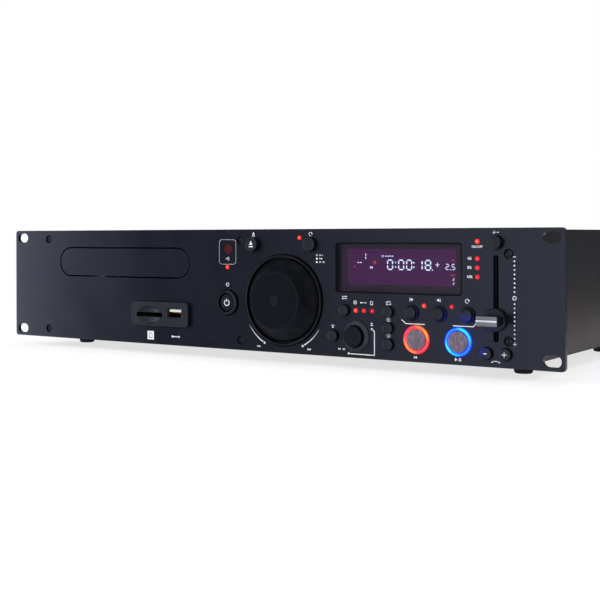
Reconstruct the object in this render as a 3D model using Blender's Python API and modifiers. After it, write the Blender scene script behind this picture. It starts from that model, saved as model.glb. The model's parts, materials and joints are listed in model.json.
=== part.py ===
"""Rack-mount disc player for a disc jockey: one disc tray, one jog wheel, one pitch fader.

Lengths are in metres. +X is to the right seen from the front, -Y points at the viewer and +Z is up.
The origin is at the centre of the object's footprint, on the plane that the feet stand on.
Inside this file a place is given as x, depth behind the panel's front face, and height above the
panel's lower edge; at() turns these three into world coordinates.
"""

import math

import bmesh
import bpy
from mathutils import Matrix, Vector

# Fits shared by all pieces
TOUCH_GAP = 0.0003
RUNNING_GAP = 0.0003
CUT_OVERRUN = 0.001
JOIN_DEPTH = 0.0004
MERGE_DISTANCE = 0.00001

# Facets of round pieces
SMALL_STEPS = 14
MEDIUM_STEPS = 24
LARGE_STEPS = 48
SCREW_STEPS = 10
CORNER_STEPS = 4
DIMPLE_STEPS = 2

# Front panel and its rack ears
PANEL_WIDTH = 0.482
PANEL_HEIGHT = 0.0885
PANEL_THICKNESS = 0.003
PANEL_CORNER_RADIUS = 0.0025
RACK_SLOT_LENGTH = 0.012
RACK_SLOT_HEIGHT = 0.0076
RACK_SLOT_FROM_END = 0.00845
RACK_SLOT_FROM_EDGE = 0.00615
LEFT_END = -PANEL_WIDTH / 2
RIGHT_END = PANEL_WIDTH / 2
PANEL_BACK = PANEL_THICKNESS + TOUCH_GAP

# Case of folded sheet steel behind the panel
RACK_EAR_WIDTH = 0.0241
CASE_DEPTH = 0.25
CASE_ABOVE_PANEL_FOOT = 0.0024
CASE_BELOW_PANEL_TOP = 0.001
SHEET = 0.001
BASE_SIDE_HEIGHT = 0.018
LEFT_TAB_WIDTH = 0.02
RIGHT_TAB_POST_GAP = 0.0022
TAB_BELOW_COVER = 0.002
CASE_WIDTH = PANEL_WIDTH - 2 * RACK_EAR_WIDTH
CASE_HALF = CASE_WIDTH / 2
CASE_TOP = PANEL_HEIGHT - CASE_BELOW_PANEL_TOP
CASE_FLOOR = CASE_ABOVE_PANEL_FOOT + SHEET
REAR_PANEL_FRONT = CASE_DEPTH - SHEET
COVER_REAR = REAR_PANEL_FRONT - TOUCH_GAP

# Feet
FOOT_HEIGHT = 0.0096
FOOT_RADIUS = 0.0066
FOOT_TAPER = 0.0012
FOOT_CHAMFER = 0.0012
FOOT_FROM_SIDE = 0.0191
FRONT_FOOT_DEPTH = 0.041
REAR_FOOT_FROM_REAR = 0.047
FOOT_X = CASE_HALF - FOOT_FROM_SIDE
REAR_FOOT_DEPTH = CASE_DEPTH - REAR_FOOT_FROM_REAR
PANEL_FOOT_Z = FOOT_HEIGHT + TOUCH_GAP - CASE_ABOVE_PANEL_FOOT

# Circuit board behind the right half of the panel, with the small lights that shine through it
BOARD_DEPTH = 0.012
BOARD_THICKNESS = 0.0016
BOARD_BOTTOM = 0.006
BOARD_BELOW_PANEL_TOP = 0.0045
BOARD_POST_MARGIN = 0.0001
BOARD_LEFT_OF_POWER = 0.01065
LED_HOLE_RADIUS = 0.0017
LED_GAP = 0.0003
LED_SETBACK = 0.0002
LED_RADIUS = LED_HOLE_RADIUS - LED_GAP
BOARD_TOP = PANEL_HEIGHT - BOARD_BELOW_PANEL_TOP
BOARD_SEAT = BOARD_DEPTH - TOUCH_GAP

# Screws that show in the panel: their heads sit in round wells on the posts behind it
SCREW_WELL_RADIUS = 0.0033
SCREW_WELL_DEPTH = 0.0018
SCREW_POST_RADIUS = SCREW_WELL_RADIUS - RUNNING_GAP

# Push buttons
BUTTON_GAP = 0.00045
BUTTON_ROUND = 0.0004
BUTTON_FLANGE = 0.0008
BUTTON_FLANGE_THICKNESS = 0.001
BUTTON_STEM_RADIUS = 0.0018
BUTTON_TRAVEL = 0.0006
BUTTON_DISH = 0.0004
BUTTON_RIM = 0.0006
SMALL_CAP_RADIUS = 0.00395
PITCH_CAP_RADIUS = 0.0044
MODE_CAP_RADIUS = 0.0049
OPEN_CAP_RADIUS = 0.0052
SMALL_REACH = 0.003
LOOP_REACH = 0.0032
MODE_REACH = 0.0036
OPEN_REACH = 0.0042
PITCH_REACH = 0.0045
SMALL_FLANGE_RADIUS = SMALL_CAP_RADIUS + BUTTON_GAP + BUTTON_FLANGE

# Pitch fader, placed from the panel's right end
FADER_FROM_END = 0.0451
FADER_BELOW_MIDDLE = 0.00065
FADER_SLOT_LENGTH = 0.0552
FADER_SLOT_WIDTH = 0.0036
FADER_TRAVEL = 0.045
FADER_REST_BELOW_CENTRE = 0.0134
FADER_END_GAP = 0.0006
FADER_BODY_WIDTH = 0.009
FADER_BODY_END_WALL = 0.0018
FADER_BODY_BACK_WALL = 0.0017
FADER_GROOVE_WIDTH = 0.002
FADER_STEM_SIDE_GAP = 0.0004
FADER_STEM_END_GAP = 0.0008
FADER_DISC_RADIUS = 0.00765
FADER_DISC_REACH = 0.0036
FADER_DISC_ROUND = 0.0008
FADER_NECK_WIDTH = 0.0122
FADER_NECK_HEIGHT = 0.0054
FADER_GRIP_WIDTH = 0.014
FADER_GRIP_HEIGHT = 0.0063
FADER_GRIP_BACK = 0.009
FADER_REACH = 0.0158
FADER_GRIP_ROUND = 0.0006
FADER_SCREW_GAP = 0.001
FADER_SCREW_ABOVE_CENTRE = 0.0284
FADER_SCREW_BELOW_CENTRE = 0.0266
FADER_X = RIGHT_END - FADER_FROM_END
FADER_SLOT_CENTRE = PANEL_HEIGHT / 2 - FADER_BELOW_MIDDLE
FADER_REST_HEIGHT = FADER_SLOT_CENTRE - FADER_REST_BELOW_CENTRE
FADER_BODY_LENGTH = FADER_SLOT_LENGTH + 2 * FADER_BODY_END_WALL
FADER_BODY_FRONT = PANEL_BACK + TOUCH_GAP
FADER_GROOVE_DEPTH = BOARD_SEAT - FADER_BODY_FRONT - FADER_BODY_BACK_WALL
FADER_STEM_WIDTH = FADER_GROOVE_WIDTH - 2 * FADER_STEM_SIDE_GAP
FADER_STEM_HEIGHT = FADER_SLOT_LENGTH - FADER_TRAVEL - 2 * FADER_END_GAP
FADER_STEM_DEPTH = FADER_BODY_FRONT + FADER_GROOVE_DEPTH - FADER_STEM_END_GAP
FADER_SCREW_X = FADER_X + FADER_BODY_WIDTH / 2 + FADER_SCREW_GAP + SCREW_POST_RADIUS
FADER_SCREW_HIGH = FADER_SLOT_CENTRE + FADER_SCREW_ABOVE_CENTRE
FADER_SCREW_LOW = FADER_SLOT_CENTRE - FADER_SCREW_BELOW_CENTRE
BOARD_RIGHT = FADER_SCREW_X + SCREW_POST_RADIUS + BOARD_POST_MARGIN

# Buttons and lights round the pitch fader
PITCH_BUTTON_OFFSET = 0.0003
PITCH_BUTTON_BELOW_TOP = 0.0093
BEND_MINUS_OFFSET = 0.0063
BEND_PLUS_OFFSET = 0.0066
BEND_HEIGHT = 0.0087
PITCH_LIGHT_OFFSET = 0.0127
PITCH_LIGHT_RISE = 0.0006
PITCH_LIGHT_FALL = 0.0227
PITCH_LIGHT_PITCH = 0.00585
PITCH_BUTTON_X = FADER_X + PITCH_BUTTON_OFFSET
PITCH_BUTTON_HEIGHT = PANEL_HEIGHT - PITCH_BUTTON_BELOW_TOP
BEND_MINUS_X = FADER_X - BEND_MINUS_OFFSET
BEND_PLUS_X = FADER_X + BEND_PLUS_OFFSET
PITCH_LIGHT_X = FADER_X - PITCH_LIGHT_OFFSET
PITCH_LIGHT_TOP = PITCH_BUTTON_HEIGHT + PITCH_LIGHT_RISE
PITCH_LIGHT_LOW = PITCH_LIGHT_TOP - PITCH_LIGHT_FALL

# Display
DISPLAY_FROM_FADER = 0.0232
DISPLAY_WIDTH = 0.0952
DISPLAY_HEIGHT = 0.0347
DISPLAY_BELOW_PANEL_TOP = 0.0094
DISPLAY_RADIUS = 0.002
DISPLAY_RECESS = 0.001
DISPLAY_GAP = 0.00025
DISPLAY_FLANGE = 0.0015
DISPLAY_FLANGE_THICKNESS = 0.001
DISPLAY_MODULE_MARGIN = 0.0008
DISPLAY_RIGHT = FADER_X - DISPLAY_FROM_FADER
DISPLAY_LEFT = DISPLAY_RIGHT - DISPLAY_WIDTH
DISPLAY_TOP = PANEL_HEIGHT - DISPLAY_BELOW_PANEL_TOP
DISPLAY_BOTTOM = DISPLAY_TOP - DISPLAY_HEIGHT

# Lit cue and play buttons
PLAY_FROM_FADER = 0.026
CUE_PLAY_PITCH = 0.0301
CUE_HEIGHT = 0.0149
RING_GAP = 0.0003
RING_OUTER = 0.0094
RING_WIDTH = 0.00215
RING_REACH = 0.0008
RING_ROUND = 0.0006
RING_FLANGE = 0.0007
CUE_CAP_GAP = 0.00033
CUE_REACH = 0.0012
CUE_ROUND = 0.0004
CUE_TRAVEL = 0.0008
PLAY_X = FADER_X - PLAY_FROM_FADER
CUE_X = PLAY_X - CUE_PLAY_PITCH
RING_INNER = RING_OUTER - RING_WIDTH
RING_FLANGE_RADIUS = RING_OUTER + RING_GAP + RING_FLANGE
CUE_CAP_RADIUS = RING_INNER - CUE_CAP_GAP
RING_SEAT = PANEL_BACK + BUTTON_FLANGE_THICKNESS + TOUCH_GAP

# Loop buttons and the collars round them
LOOP_IN_FROM_CUE = 0.0033
LOOP_PITCH = 0.02005
MIDDLE_ROW_BELOW_DISPLAY = 0.0119
LOOP_HOLE_RADIUS = 0.00565
LOOP_HOLE_GAP = 0.0006
LOOP_COLLAR_WALL = 0.00065
LOOP_CAP_GAP = 0.0005
LOOP_COLLAR_REACH = 0.0017
LOOP_FLANGE = 0.00065
LOOP_PLATE_THICKNESS = 0.001
LOOP_BAR_HEIGHT = 0.004
LOOP_BAR_OVERLAP = 0.001
LOOP_LIGHT_OFFSET = 0.0089
LOOP_LIGHT_PITCH = 0.0199
LOOP_LIGHT_RISE = 0.0049
LOOP_IN_X = CUE_X - LOOP_IN_FROM_CUE
MIDDLE_ROW_HEIGHT = DISPLAY_BOTTOM - MIDDLE_ROW_BELOW_DISPLAY
LOOP_COLLAR_OUTER = LOOP_HOLE_RADIUS - LOOP_HOLE_GAP
LOOP_COLLAR_INNER = LOOP_COLLAR_OUTER - LOOP_COLLAR_WALL
LOOP_CAP_RADIUS = LOOP_COLLAR_INNER - LOOP_CAP_GAP
LOOP_FLANGE_RADIUS = LOOP_HOLE_RADIUS + LOOP_FLANGE
LOOP_SEAT = PANEL_BACK + LOOP_PLATE_THICKNESS + TOUCH_GAP
LOOP_LIGHT_X = LOOP_IN_X + LOOP_LIGHT_OFFSET
LOOP_LIGHT_HEIGHT = MIDDLE_ROW_HEIGHT + LOOP_LIGHT_RISE

# Column of mode buttons, rotary track knob, tap and source buttons
MODE_COLUMN_FROM_LOOP = 0.0175
MODE_COLUMN_GAP = 0.0005
TRACK_FROM_MODE_COLUMN = 0.0255
TRACK_HEIGHT = 0.0149
TRACK_HOLE_RADIUS = 0.0092
TRACK_COLLAR_GAP = 0.0003
TRACK_COLLAR_LIP = 0.0015
TRACK_COLLAR_WALL = 0.00115
TRACK_COLLAR_TOP_WIDTH = 0.00055
TRACK_COLLAR_REACH = 0.002
TRACK_COLLAR_RIM = 0.0006
TRACK_COLLAR_BACK = 0.0036
TRACK_KNOB_GAP = 0.0007
TRACK_KNOB_REACH = 0.00475
TRACK_KNOB_ROUND = 0.0006
TRACK_KNOB_BACK = 0.0015
TRACK_SHAFT_RADIUS = 0.0019
TRACK_PUSH = 0.0005
TRACK_SHAFT_END_GAP = 0.0007
ROTOR_SHAFT_GAP = 0.00035
ROTOR_WALL = 0.00075
ROTOR_SIDE_GAP = 0.0004
ROTOR_BOARD_GAP = 0.0024
ENCODER_WIDTH = 0.012
ENCODER_COLLAR_GAP = 0.001
TAP_FROM_TRACK = 0.0176
TAP_HEIGHT = 0.0146
SOURCE_FROM_TAP = 0.009
SOURCE_LIGHT_OFFSET = 0.0087
SOURCE_LIGHT_PITCH = 0.00645
MODE_COLUMN_X = LOOP_IN_X - MODE_COLUMN_FROM_LOOP
MODE_COLUMN_PITCH = 2 * SMALL_FLANGE_RADIUS + MODE_COLUMN_GAP
TIME_ROW_HEIGHT = MIDDLE_ROW_HEIGHT - MODE_COLUMN_PITCH
SINGLE_ROW_HEIGHT = TIME_ROW_HEIGHT - MODE_COLUMN_PITCH
TRACK_X = MODE_COLUMN_X - TRACK_FROM_MODE_COLUMN
TRACK_COLLAR_BARREL = TRACK_HOLE_RADIUS - TRACK_COLLAR_GAP
TRACK_COLLAR_OUTER = TRACK_HOLE_RADIUS + TRACK_COLLAR_LIP
TRACK_COLLAR_INNER = TRACK_COLLAR_BARREL - TRACK_COLLAR_WALL
TRACK_COLLAR_TOP_OUTER = TRACK_COLLAR_INNER + TRACK_COLLAR_TOP_WIDTH
TRACK_KNOB_RADIUS = TRACK_COLLAR_INNER - TRACK_KNOB_GAP
TRACK_SHAFT_DEPTH = BOARD_SEAT - TRACK_PUSH - TRACK_SHAFT_END_GAP
ROTOR_BORE_RADIUS = TRACK_SHAFT_RADIUS + ROTOR_SHAFT_GAP
ROTOR_RADIUS = ROTOR_BORE_RADIUS + ROTOR_WALL
ENCODER_BORE_RADIUS = ROTOR_RADIUS + ROTOR_SIDE_GAP
ENCODER_FRONT_DEPTH = TRACK_COLLAR_BACK + ENCODER_COLLAR_GAP
ROTOR_FRONT_DEPTH = ENCODER_FRONT_DEPTH + RUNNING_GAP
ROTOR_REAR_DEPTH = BOARD_DEPTH - ROTOR_BOARD_GAP
TAP_X = TRACK_X - TAP_FROM_TRACK
SOURCE_X = TAP_X + SOURCE_FROM_TAP
SOURCE_LIGHT_X = SOURCE_X + SOURCE_LIGHT_OFFSET

# Jog wheel
JOG_DISPLAY_GAP = 0.0076
JOG_HEIGHT = 0.0378
JOG_HOLE_RADIUS = 0.03325
JOG_HOLE_GAP = 0.00085
JOG_BEZEL_LIP_SETBACK = 0.0007
JOG_BEZEL_WALL = 0.0013
JOG_BEZEL_REACH = 0.0023
JOG_BEZEL_CHAMFER = 0.0011
JOG_FLANGE = 0.00065
JOG_FLANGE_THICKNESS = 0.0012
JOG_FLOOR_DEPTH = 0.003
JOG_WHEEL_GAP = 0.0014
JOG_WHEEL_FLOOR_GAP = 0.0008
JOG_WHEEL_BASE_REACH = 0.001
JOG_FLANK_RUN = 0.0091
JOG_FACE_REACH = 0.0127
JOG_FACE_RIM = 0.0005
JOG_HUB_RADIUS = 0.0038
JOG_HUB_RISE = 0.0003
JOG_DIMPLES = 12
JOG_DIMPLE_RADIUS = 0.008
JOG_DIMPLE_DEPTH = 0.0012
JOG_SHAFT_RADIUS = 0.003
JOG_SHAFT_TAIL = 0.0005
BEARING_RADIUS = 0.009
BEARING_FLANGE = 0.003
BEARING_FLANGE_THICKNESS = 0.0015
BEARING_BEHIND_BOARD = 0.0044
BEARING_BOARD_GAP = 0.001
JOG_FLANGE_RADIUS = JOG_HOLE_RADIUS + JOG_FLANGE
JOG_BEZEL_OUTER = JOG_HOLE_RADIUS - JOG_HOLE_GAP
JOG_BEZEL_LIP_OUTER = JOG_BEZEL_OUTER - JOG_BEZEL_LIP_SETBACK
JOG_BEZEL_INNER = JOG_BEZEL_OUTER - JOG_BEZEL_WALL
JOG_WHEEL_RADIUS = JOG_BEZEL_INNER - JOG_WHEEL_GAP
JOG_WHEEL_BACK_DEPTH = JOG_FLOOR_DEPTH - JOG_WHEEL_FLOOR_GAP
JOG_FACE_RADIUS = JOG_WHEEL_RADIUS - JOG_FLANK_RUN
BEARING_FLANGE_RADIUS = BEARING_RADIUS + BEARING_FLANGE
BEARING_REAR_DEPTH = BOARD_DEPTH + BOARD_THICKNESS + BEARING_BEHIND_BOARD
JOG_SHAFT_DEPTH = BEARING_REAR_DEPTH + JOG_SHAFT_TAIL
JOG_X = DISPLAY_LEFT - DISPLAY_FLANGE - JOG_DISPLAY_GAP - JOG_FLANGE_RADIUS

# Buttons and light above the jog wheel
TOP_ROW_BELOW_PANEL_TOP = 0.0109
OPEN_LEFT_OF_JOG = 0.0263
JOG_MODE_RIGHT_OF_JOG = 0.0228
JOG_LIGHT_RIGHT_OF_JOG = 0.0133
JOG_LIGHT_RISE = 0.0047
TOP_ROW_HEIGHT = PANEL_HEIGHT - TOP_ROW_BELOW_PANEL_TOP
OPEN_X = JOG_X - OPEN_LEFT_OF_JOG
JOG_MODE_X = JOG_X + JOG_MODE_RIGHT_OF_JOG
JOG_LIGHT_X = JOG_X + JOG_LIGHT_RIGHT_OF_JOG
JOG_LIGHT_HEIGHT = TOP_ROW_HEIGHT + JOG_LIGHT_RISE

# Power button and its raised ring
POWER_JOG_GAP = 0.00465
POWER_HEIGHT = 0.0345
POWER_HOLE_RADIUS = 0.01
POWER_HOLE_GAP = 0.0011
POWER_BEZEL_LIP_SETBACK = 0.0012
POWER_BEZEL_WALL = 0.0017
POWER_BEZEL_REACH = 0.00215
POWER_BEZEL_CHAMFER = 0.0008
POWER_FLANGE = 0.0013
POWER_CAP_GAP = 0.0008
POWER_REACH = 0.0015
POWER_TRAVEL = 0.0015
POWER_FLANGE_RADIUS = POWER_HOLE_RADIUS + POWER_FLANGE
POWER_BEZEL_OUTER = POWER_HOLE_RADIUS - POWER_HOLE_GAP
POWER_BEZEL_LIP_OUTER = POWER_BEZEL_OUTER - POWER_BEZEL_LIP_SETBACK
POWER_BEZEL_INNER = POWER_BEZEL_OUTER - POWER_BEZEL_WALL
POWER_CAP_RADIUS = POWER_BEZEL_INNER - POWER_CAP_GAP
POWER_X = JOG_X - JOG_FLANGE_RADIUS - POWER_JOG_GAP - POWER_FLANGE_RADIUS
BOARD_LEFT = POWER_X - BOARD_LEFT_OF_POWER

# Remote sensor window and the standby light
SENSOR_LEFT_OF_POWER = 0.00005
SENSOR_BELOW_PANEL_TOP = 0.0145
SENSOR_HOLE_RADIUS = 0.00425
SENSOR_GAP = 0.00025
SENSOR_SETBACK = 0.0003
SENSOR_FLANGE = 0.00075
STANDBY_LIGHT_LEFT_OF_POWER = 0.00035
STANDBY_LIGHT_FALL = 0.0133
SENSOR_X = POWER_X - SENSOR_LEFT_OF_POWER
SENSOR_HEIGHT = PANEL_HEIGHT - SENSOR_BELOW_PANEL_TOP
SENSOR_RADIUS = SENSOR_HOLE_RADIUS - SENSOR_GAP
SENSOR_FLANGE_RADIUS = SENSOR_HOLE_RADIUS + SENSOR_FLANGE
STANDBY_LIGHT_X = POWER_X - STANDBY_LIGHT_LEFT_OF_POWER
STANDBY_LIGHT_HEIGHT = SENSOR_HEIGHT - STANDBY_LIGHT_FALL

# Places of the other four panel screws
LEFT_SCREW_FROM_END = 0.0391
MIDDLE_SCREW_RIGHT_OF_POWER = 0.01175
PANEL_SCREW_LOW = 0.0072
LEFT_SCREW_BELOW_TOP = 0.0072
MIDDLE_SCREW_BELOW_TOP = 0.0083
LEFT_SCREW_X = LEFT_END + LEFT_SCREW_FROM_END
LEFT_SCREW_HIGH = PANEL_HEIGHT - LEFT_SCREW_BELOW_TOP
MIDDLE_SCREW_X = POWER_X + MIDDLE_SCREW_RIGHT_OF_POWER
MIDDLE_SCREW_HIGH = PANEL_HEIGHT - MIDDLE_SCREW_BELOW_TOP

# Tray door and the panel opening round it, placed from the panel's left end and top edge
TRAY_FROM_END = 0.12095
DOOR_BELOW_PANEL_TOP = 0.02555
DOOR_WIDTH = 0.1351
DOOR_HEIGHT = 0.0221
DOOR_THICKNESS = 0.0025
DOOR_GAP = 0.001
DOOR_LUG_END_INSET = 0.01755
DOOR_LUG_HEIGHT = 0.0054
DOOR_ARC_STEPS = 8
TRAY_X = LEFT_END + TRAY_FROM_END
DOOR_HEIGHT_CENTRE = PANEL_HEIGHT - DOOR_BELOW_PANEL_TOP
DOOR_LUG_WIDTH = DOOR_WIDTH - 2 * DOOR_LUG_END_INSET

# Disc tray
TRAY_SIDE_INSET = 0.00205
TRAY_DOOR_GAP = 0.0015
TRAY_LENGTH = 0.176
TRAY_THICKNESS = 0.007
TRAY_ABOVE_DOOR_CENTRE = 0.00405
TRAY_RIM = 0.0055
TRAY_SKIN = 0.0046
TRAY_TRAVEL = 0.138
DISC_FROM_TRAY_FRONT = 0.07
DISC_RECESS_SIDE = 0.005
DISC_RECESS_DEPTH = 0.0025
SMALL_DISC_RADIUS = 0.0405
SMALL_DISC_DEPTH = 0.0008
TRAY_SLOT_WIDTH = 0.034
TRAY_WIDTH = DOOR_WIDTH - 2 * TRAY_SIDE_INSET
TRAY_FRONT_DEPTH = DOOR_THICKNESS + TRAY_DOOR_GAP
TRAY_TOP = DOOR_HEIGHT_CENTRE + TRAY_ABOVE_DOOR_CENTRE
TRAY_BOTTOM = TRAY_TOP - TRAY_THICKNESS
TRAY_POCKET_TOP = TRAY_TOP - TRAY_SKIN
DISC_DEPTH = TRAY_FRONT_DEPTH + DISC_FROM_TRAY_FRONT
DISC_RECESS_RADIUS = TRAY_WIDTH / 2 - DISC_RECESS_SIDE
DISC_RECESS_FLOOR = TRAY_TOP - DISC_RECESS_DEPTH
SMALL_DISC_FLOOR = DISC_RECESS_FLOOR - SMALL_DISC_DEPTH

# Rack under the tray and the pinion that drives it
GEAR_TEETH = 16
GEAR_MODULE = 0.00125
TOOTH_ADDENDUM = 0.00105
TOOTH_DEDENDUM = 0.0014
TOOTH_THICKNESS = 0.00155
TOOTH_TAPER_SHARE = 0.36
RACK_RIB_THICKNESS = 0.003
RACK_FROM_TRAY_SIDE = 0.0125
RACK_FALL = 0.0042
RACK_END_TEETH = 2
GEAR_THICKNESS = 0.0038
GEAR_BEHIND_TRAY_FRONT = 0.022
GEAR_SHAFT_RADIUS = 0.0025
GEAR_SHAFT_LENGTH = 0.0118
LOADING_MOTOR_RADIUS = 0.011
LOADING_MOTOR_GEAR_GAP = 0.0013
RACK_ROOT_X = TRAY_X - TRAY_WIDTH / 2 + RACK_FROM_TRAY_SIDE
RACK_BOTTOM = TRAY_BOTTOM - RACK_FALL
GEAR_RADIUS = GEAR_TEETH * GEAR_MODULE / 2
GEAR_PITCH = math.pi * GEAR_MODULE
GEAR_X = RACK_ROOT_X + TOOTH_DEDENDUM + GEAR_RADIUS
GEAR_BOTTOM = RACK_BOTTOM
GEAR_DEPTH = TRAY_FRONT_DEPTH + GEAR_BEHIND_TRAY_FRONT
GEAR_SHAFT_BOTTOM = GEAR_BOTTOM - GEAR_SHAFT_LENGTH
LOADING_MOTOR_TOP = GEAR_BOTTOM - LOADING_MOTOR_GEAR_GAP

# Turntable, its motor and the clamping puck above it
DISC_LIFT = 0.0008
TURNTABLE_RADIUS = 0.0145
TURNTABLE_THICKNESS = 0.003
TURNTABLE_CONE_RADIUS = 0.0073
TURNTABLE_CONE_RISE = 0.0022
TURNTABLE_CONE_TIP_RADIUS = 0.0055
SPINDLE_MOTOR_RADIUS = 0.0105
SPINDLE_MOTOR_GAP = 0.0004
SPINDLE_RADIUS = 0.001
SPINDLE_BORE_GAP = 0.0003
SPINDLE_ABOVE_DECK = 0.0015
PUCK_FLANGE = 0.0031
PUCK_FLANGE_THICKNESS = 0.0015
PUCK_CONE_GAP = 0.0004
PUCK_RECESS_SIDE_GAP = 0.0009
PUCK_RECESS_DEPTH = 0.0026
BRIDGE_LENGTH = 0.036
BRIDGE_THICKNESS = 0.0015
BRIDGE_HOLE_RADIUS = 0.013
PUCK_NECK_GAP = 0.0006
TURNTABLE_TOP = DISC_RECESS_FLOOR + DISC_LIFT
TURNTABLE_CONE_TOP = TURNTABLE_TOP + TURNTABLE_CONE_RISE
SPINDLE_MOTOR_TOP = TURNTABLE_TOP - TURNTABLE_THICKNESS - SPINDLE_MOTOR_GAP
SPINDLE_BORE_RADIUS = SPINDLE_RADIUS + SPINDLE_BORE_GAP
PUCK_NECK_RADIUS = BRIDGE_HOLE_RADIUS - PUCK_NECK_GAP
PUCK_FLANGE_RADIUS = PUCK_NECK_RADIUS + PUCK_FLANGE
PUCK_BOTTOM = TURNTABLE_CONE_TOP + PUCK_CONE_GAP
PUCK_RECESS_RADIUS = TURNTABLE_CONE_RADIUS + PUCK_RECESS_SIDE_GAP

# Tilting drive deck
DECK_WIDTH = 0.056
DECK_BELOW_TRAY = 0.005
DECK_THICKNESS = 0.002
DECK_AHEAD_OF_DISC = 0.02
DECK_PIVOT_DEPTH = 0.17
DECK_PIVOT_RADIUS = 0.0025
DECK_PIVOT_LENGTH = 0.071
SLED_WINDOW_WIDTH = 0.036
SLED_WINDOW_PIVOT_GAP = 0.0225
ROD_RADIUS = 0.0015
ROD_BORE_GAP = 0.0004
ROD_WINDOW_GAP = 0.0035
ROD_BELOW_DECK = 0.0025
LUG_WIDTH = 0.006
LUG_LENGTH = 0.003
LUG_FALL = 0.0052
DECK_FRONT_DEPTH = DISC_DEPTH - DECK_AHEAD_OF_DISC
DECK_TOP = TRAY_BOTTOM - DECK_BELOW_TRAY
DECK_BOTTOM = DECK_TOP - DECK_THICKNESS
DECK_PIVOT_HEIGHT = DECK_TOP - DECK_THICKNESS / 2
SPINDLE_BOTTOM = DECK_TOP + SPINDLE_ABOVE_DECK
ROD_HEIGHT = DECK_BOTTOM - ROD_BELOW_DECK
ROD_BORE_RADIUS = ROD_RADIUS + ROD_BORE_GAP
ROD_FROM_TRAY_X = -SLED_WINDOW_WIDTH / 2 - ROD_WINDOW_GAP

# Pickup sled: its window runs from just ahead of the sled at rest to a named gap before the pivot
SLED_LENGTH = 0.025
SLED_BEHIND_DISC = 0.0235
SLED_FRONT_GAP = 0.001
SLED_REAR_GAP = 0.0025
SLED_SIDE_GAP = 0.001
SLED_ABOVE_DECK = 0.005
SLED_BELOW_DECK = 0.005
SLED_BAR_LENGTH = 0.016
SLED_BAR_PAST_ROD = 0.0035
SLED_BAR_PAST_WINDOW = 0.004
LENS_RADIUS = 0.0035
LENS_RISE = 0.003
SLED_WIDTH = SLED_WINDOW_WIDTH - 2 * SLED_SIDE_GAP
SLED_REST_DEPTH = DISC_DEPTH + SLED_BEHIND_DISC
SLED_WINDOW_FRONT = SLED_REST_DEPTH - SLED_LENGTH / 2 - SLED_FRONT_GAP
SLED_WINDOW_REAR = DECK_PIVOT_DEPTH - SLED_WINDOW_PIVOT_GAP
SLED_TOP = DECK_TOP + SLED_ABOVE_DECK
SLED_BOTTOM = DECK_BOTTOM - SLED_BELOW_DECK
SLED_BAR_LEFT_REACH = SLED_BAR_PAST_ROD - ROD_FROM_TRAY_X
SLED_BAR_RIGHT_REACH = SLED_WINDOW_WIDTH / 2 + SLED_BAR_PAST_WINDOW
LENS_TOP = SLED_TOP + LENS_RISE

# Frame that the tray runs in
LOADER_DOOR_GAP = 0.004
LOADER_BEHIND_EARS = 0.01
LOADER_SIDE_GAP = 0.0005
LOADER_WALL = 0.0022
LOADER_ABOVE_TRAY = 0.009
LOADER_FLOOR_BELOW_TRAY = 0.0215
LOADER_FLOOR_THICKNESS = 0.002
LEDGE_WIDTH = 0.007
LEDGE_THICKNESS = 0.0025
EAR_THICKNESS = 0.004
EAR_LENGTH = 0.01
EAR_RISE_OVER_PIVOT = 0.005
LOADER_FRONT_DEPTH = TRAY_FRONT_DEPTH + LOADER_DOOR_GAP
LOADER_LENGTH = DECK_PIVOT_DEPTH + EAR_LENGTH / 2 + LOADER_BEHIND_EARS - LOADER_FRONT_DEPTH
LOADER_TOP = TRAY_TOP + LOADER_ABOVE_TRAY
LOADER_FLOOR_TOP = TRAY_BOTTOM - LOADER_FLOOR_BELOW_TRAY
LOADER_INNER = TRAY_WIDTH / 2 + LOADER_SIDE_GAP
LOADER_OUTER = LOADER_INNER + LOADER_WALL
LOADER_BOTTOM = CASE_FLOOR + TOUCH_GAP
LEDGE_TOP = TRAY_BOTTOM - RUNNING_GAP
BRIDGE_BOTTOM = LOADER_TOP + TOUCH_GAP
BRIDGE_TOP = BRIDGE_BOTTOM + BRIDGE_THICKNESS

# Media bay: raised moulding with the card slot and the memory-stick port
BAY_FROM_TRAY_X = 0.01155
BAY_BOTTOM = 0.0144
BAY_CARD_MARGIN = 0.006
BAY_MIDDLE = 0.0055
BAY_USB_MARGIN = 0.0065
BAY_BELOW_USB = 0.0066
BAY_ABOVE_USB = 0.0047
BAY_RADIUS = 0.003
BAY_REACH = 0.0028
BAY_GAP = 0.0002
BAY_EDGE_ROUND = 0.0008
BAY_FLANGE = 0.0015
BAY_FLANGE_THICKNESS = 0.0015
CARD_SLOT_WIDTH = 0.026
CARD_SLOT_HEIGHT = 0.0034
CARD_ABOVE_USB_BOTTOM = 0.0002
THUMB_SCOOP_SIDE_INSET = 0.0005
THUMB_SCOOP_HALF_HEIGHT = 0.0072
THUMB_SCOOP_DEPTH = 0.0019
USB_WIDTH = 0.0135
USB_HEIGHT = 0.0075
USB_SHELL = 0.00035
USB_MOUTH_BEHIND_BAY_FACE = 0.0004
USB_REAR_DEPTH = 0.014
USB_BACK_WALL = 0.001
USB_TONGUE_THICKNESS = 0.0019
USB_TONGUE_SIDE_GAP = 0.0009
USB_TONGUE_TOP_GAP = 0.0005
USB_TONGUE_SETBACK = 0.0009
READER_BOARD_THICKNESS = 0.0016
READER_BOARD_REAR = 0.04
READER_BOARD_SIDE = 0.0035
READER_CAGE_BOARD_MARGIN = 0.007
READER_CAGE_WALL = 0.001
READER_CAGE_ROOF = 0.0014
READER_CAVITY_CLEARANCE = 0.0001
BAY_LEFT = TRAY_X + BAY_FROM_TRAY_X
CARD_SLOT_LEFT = BAY_LEFT + BAY_CARD_MARGIN
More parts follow.
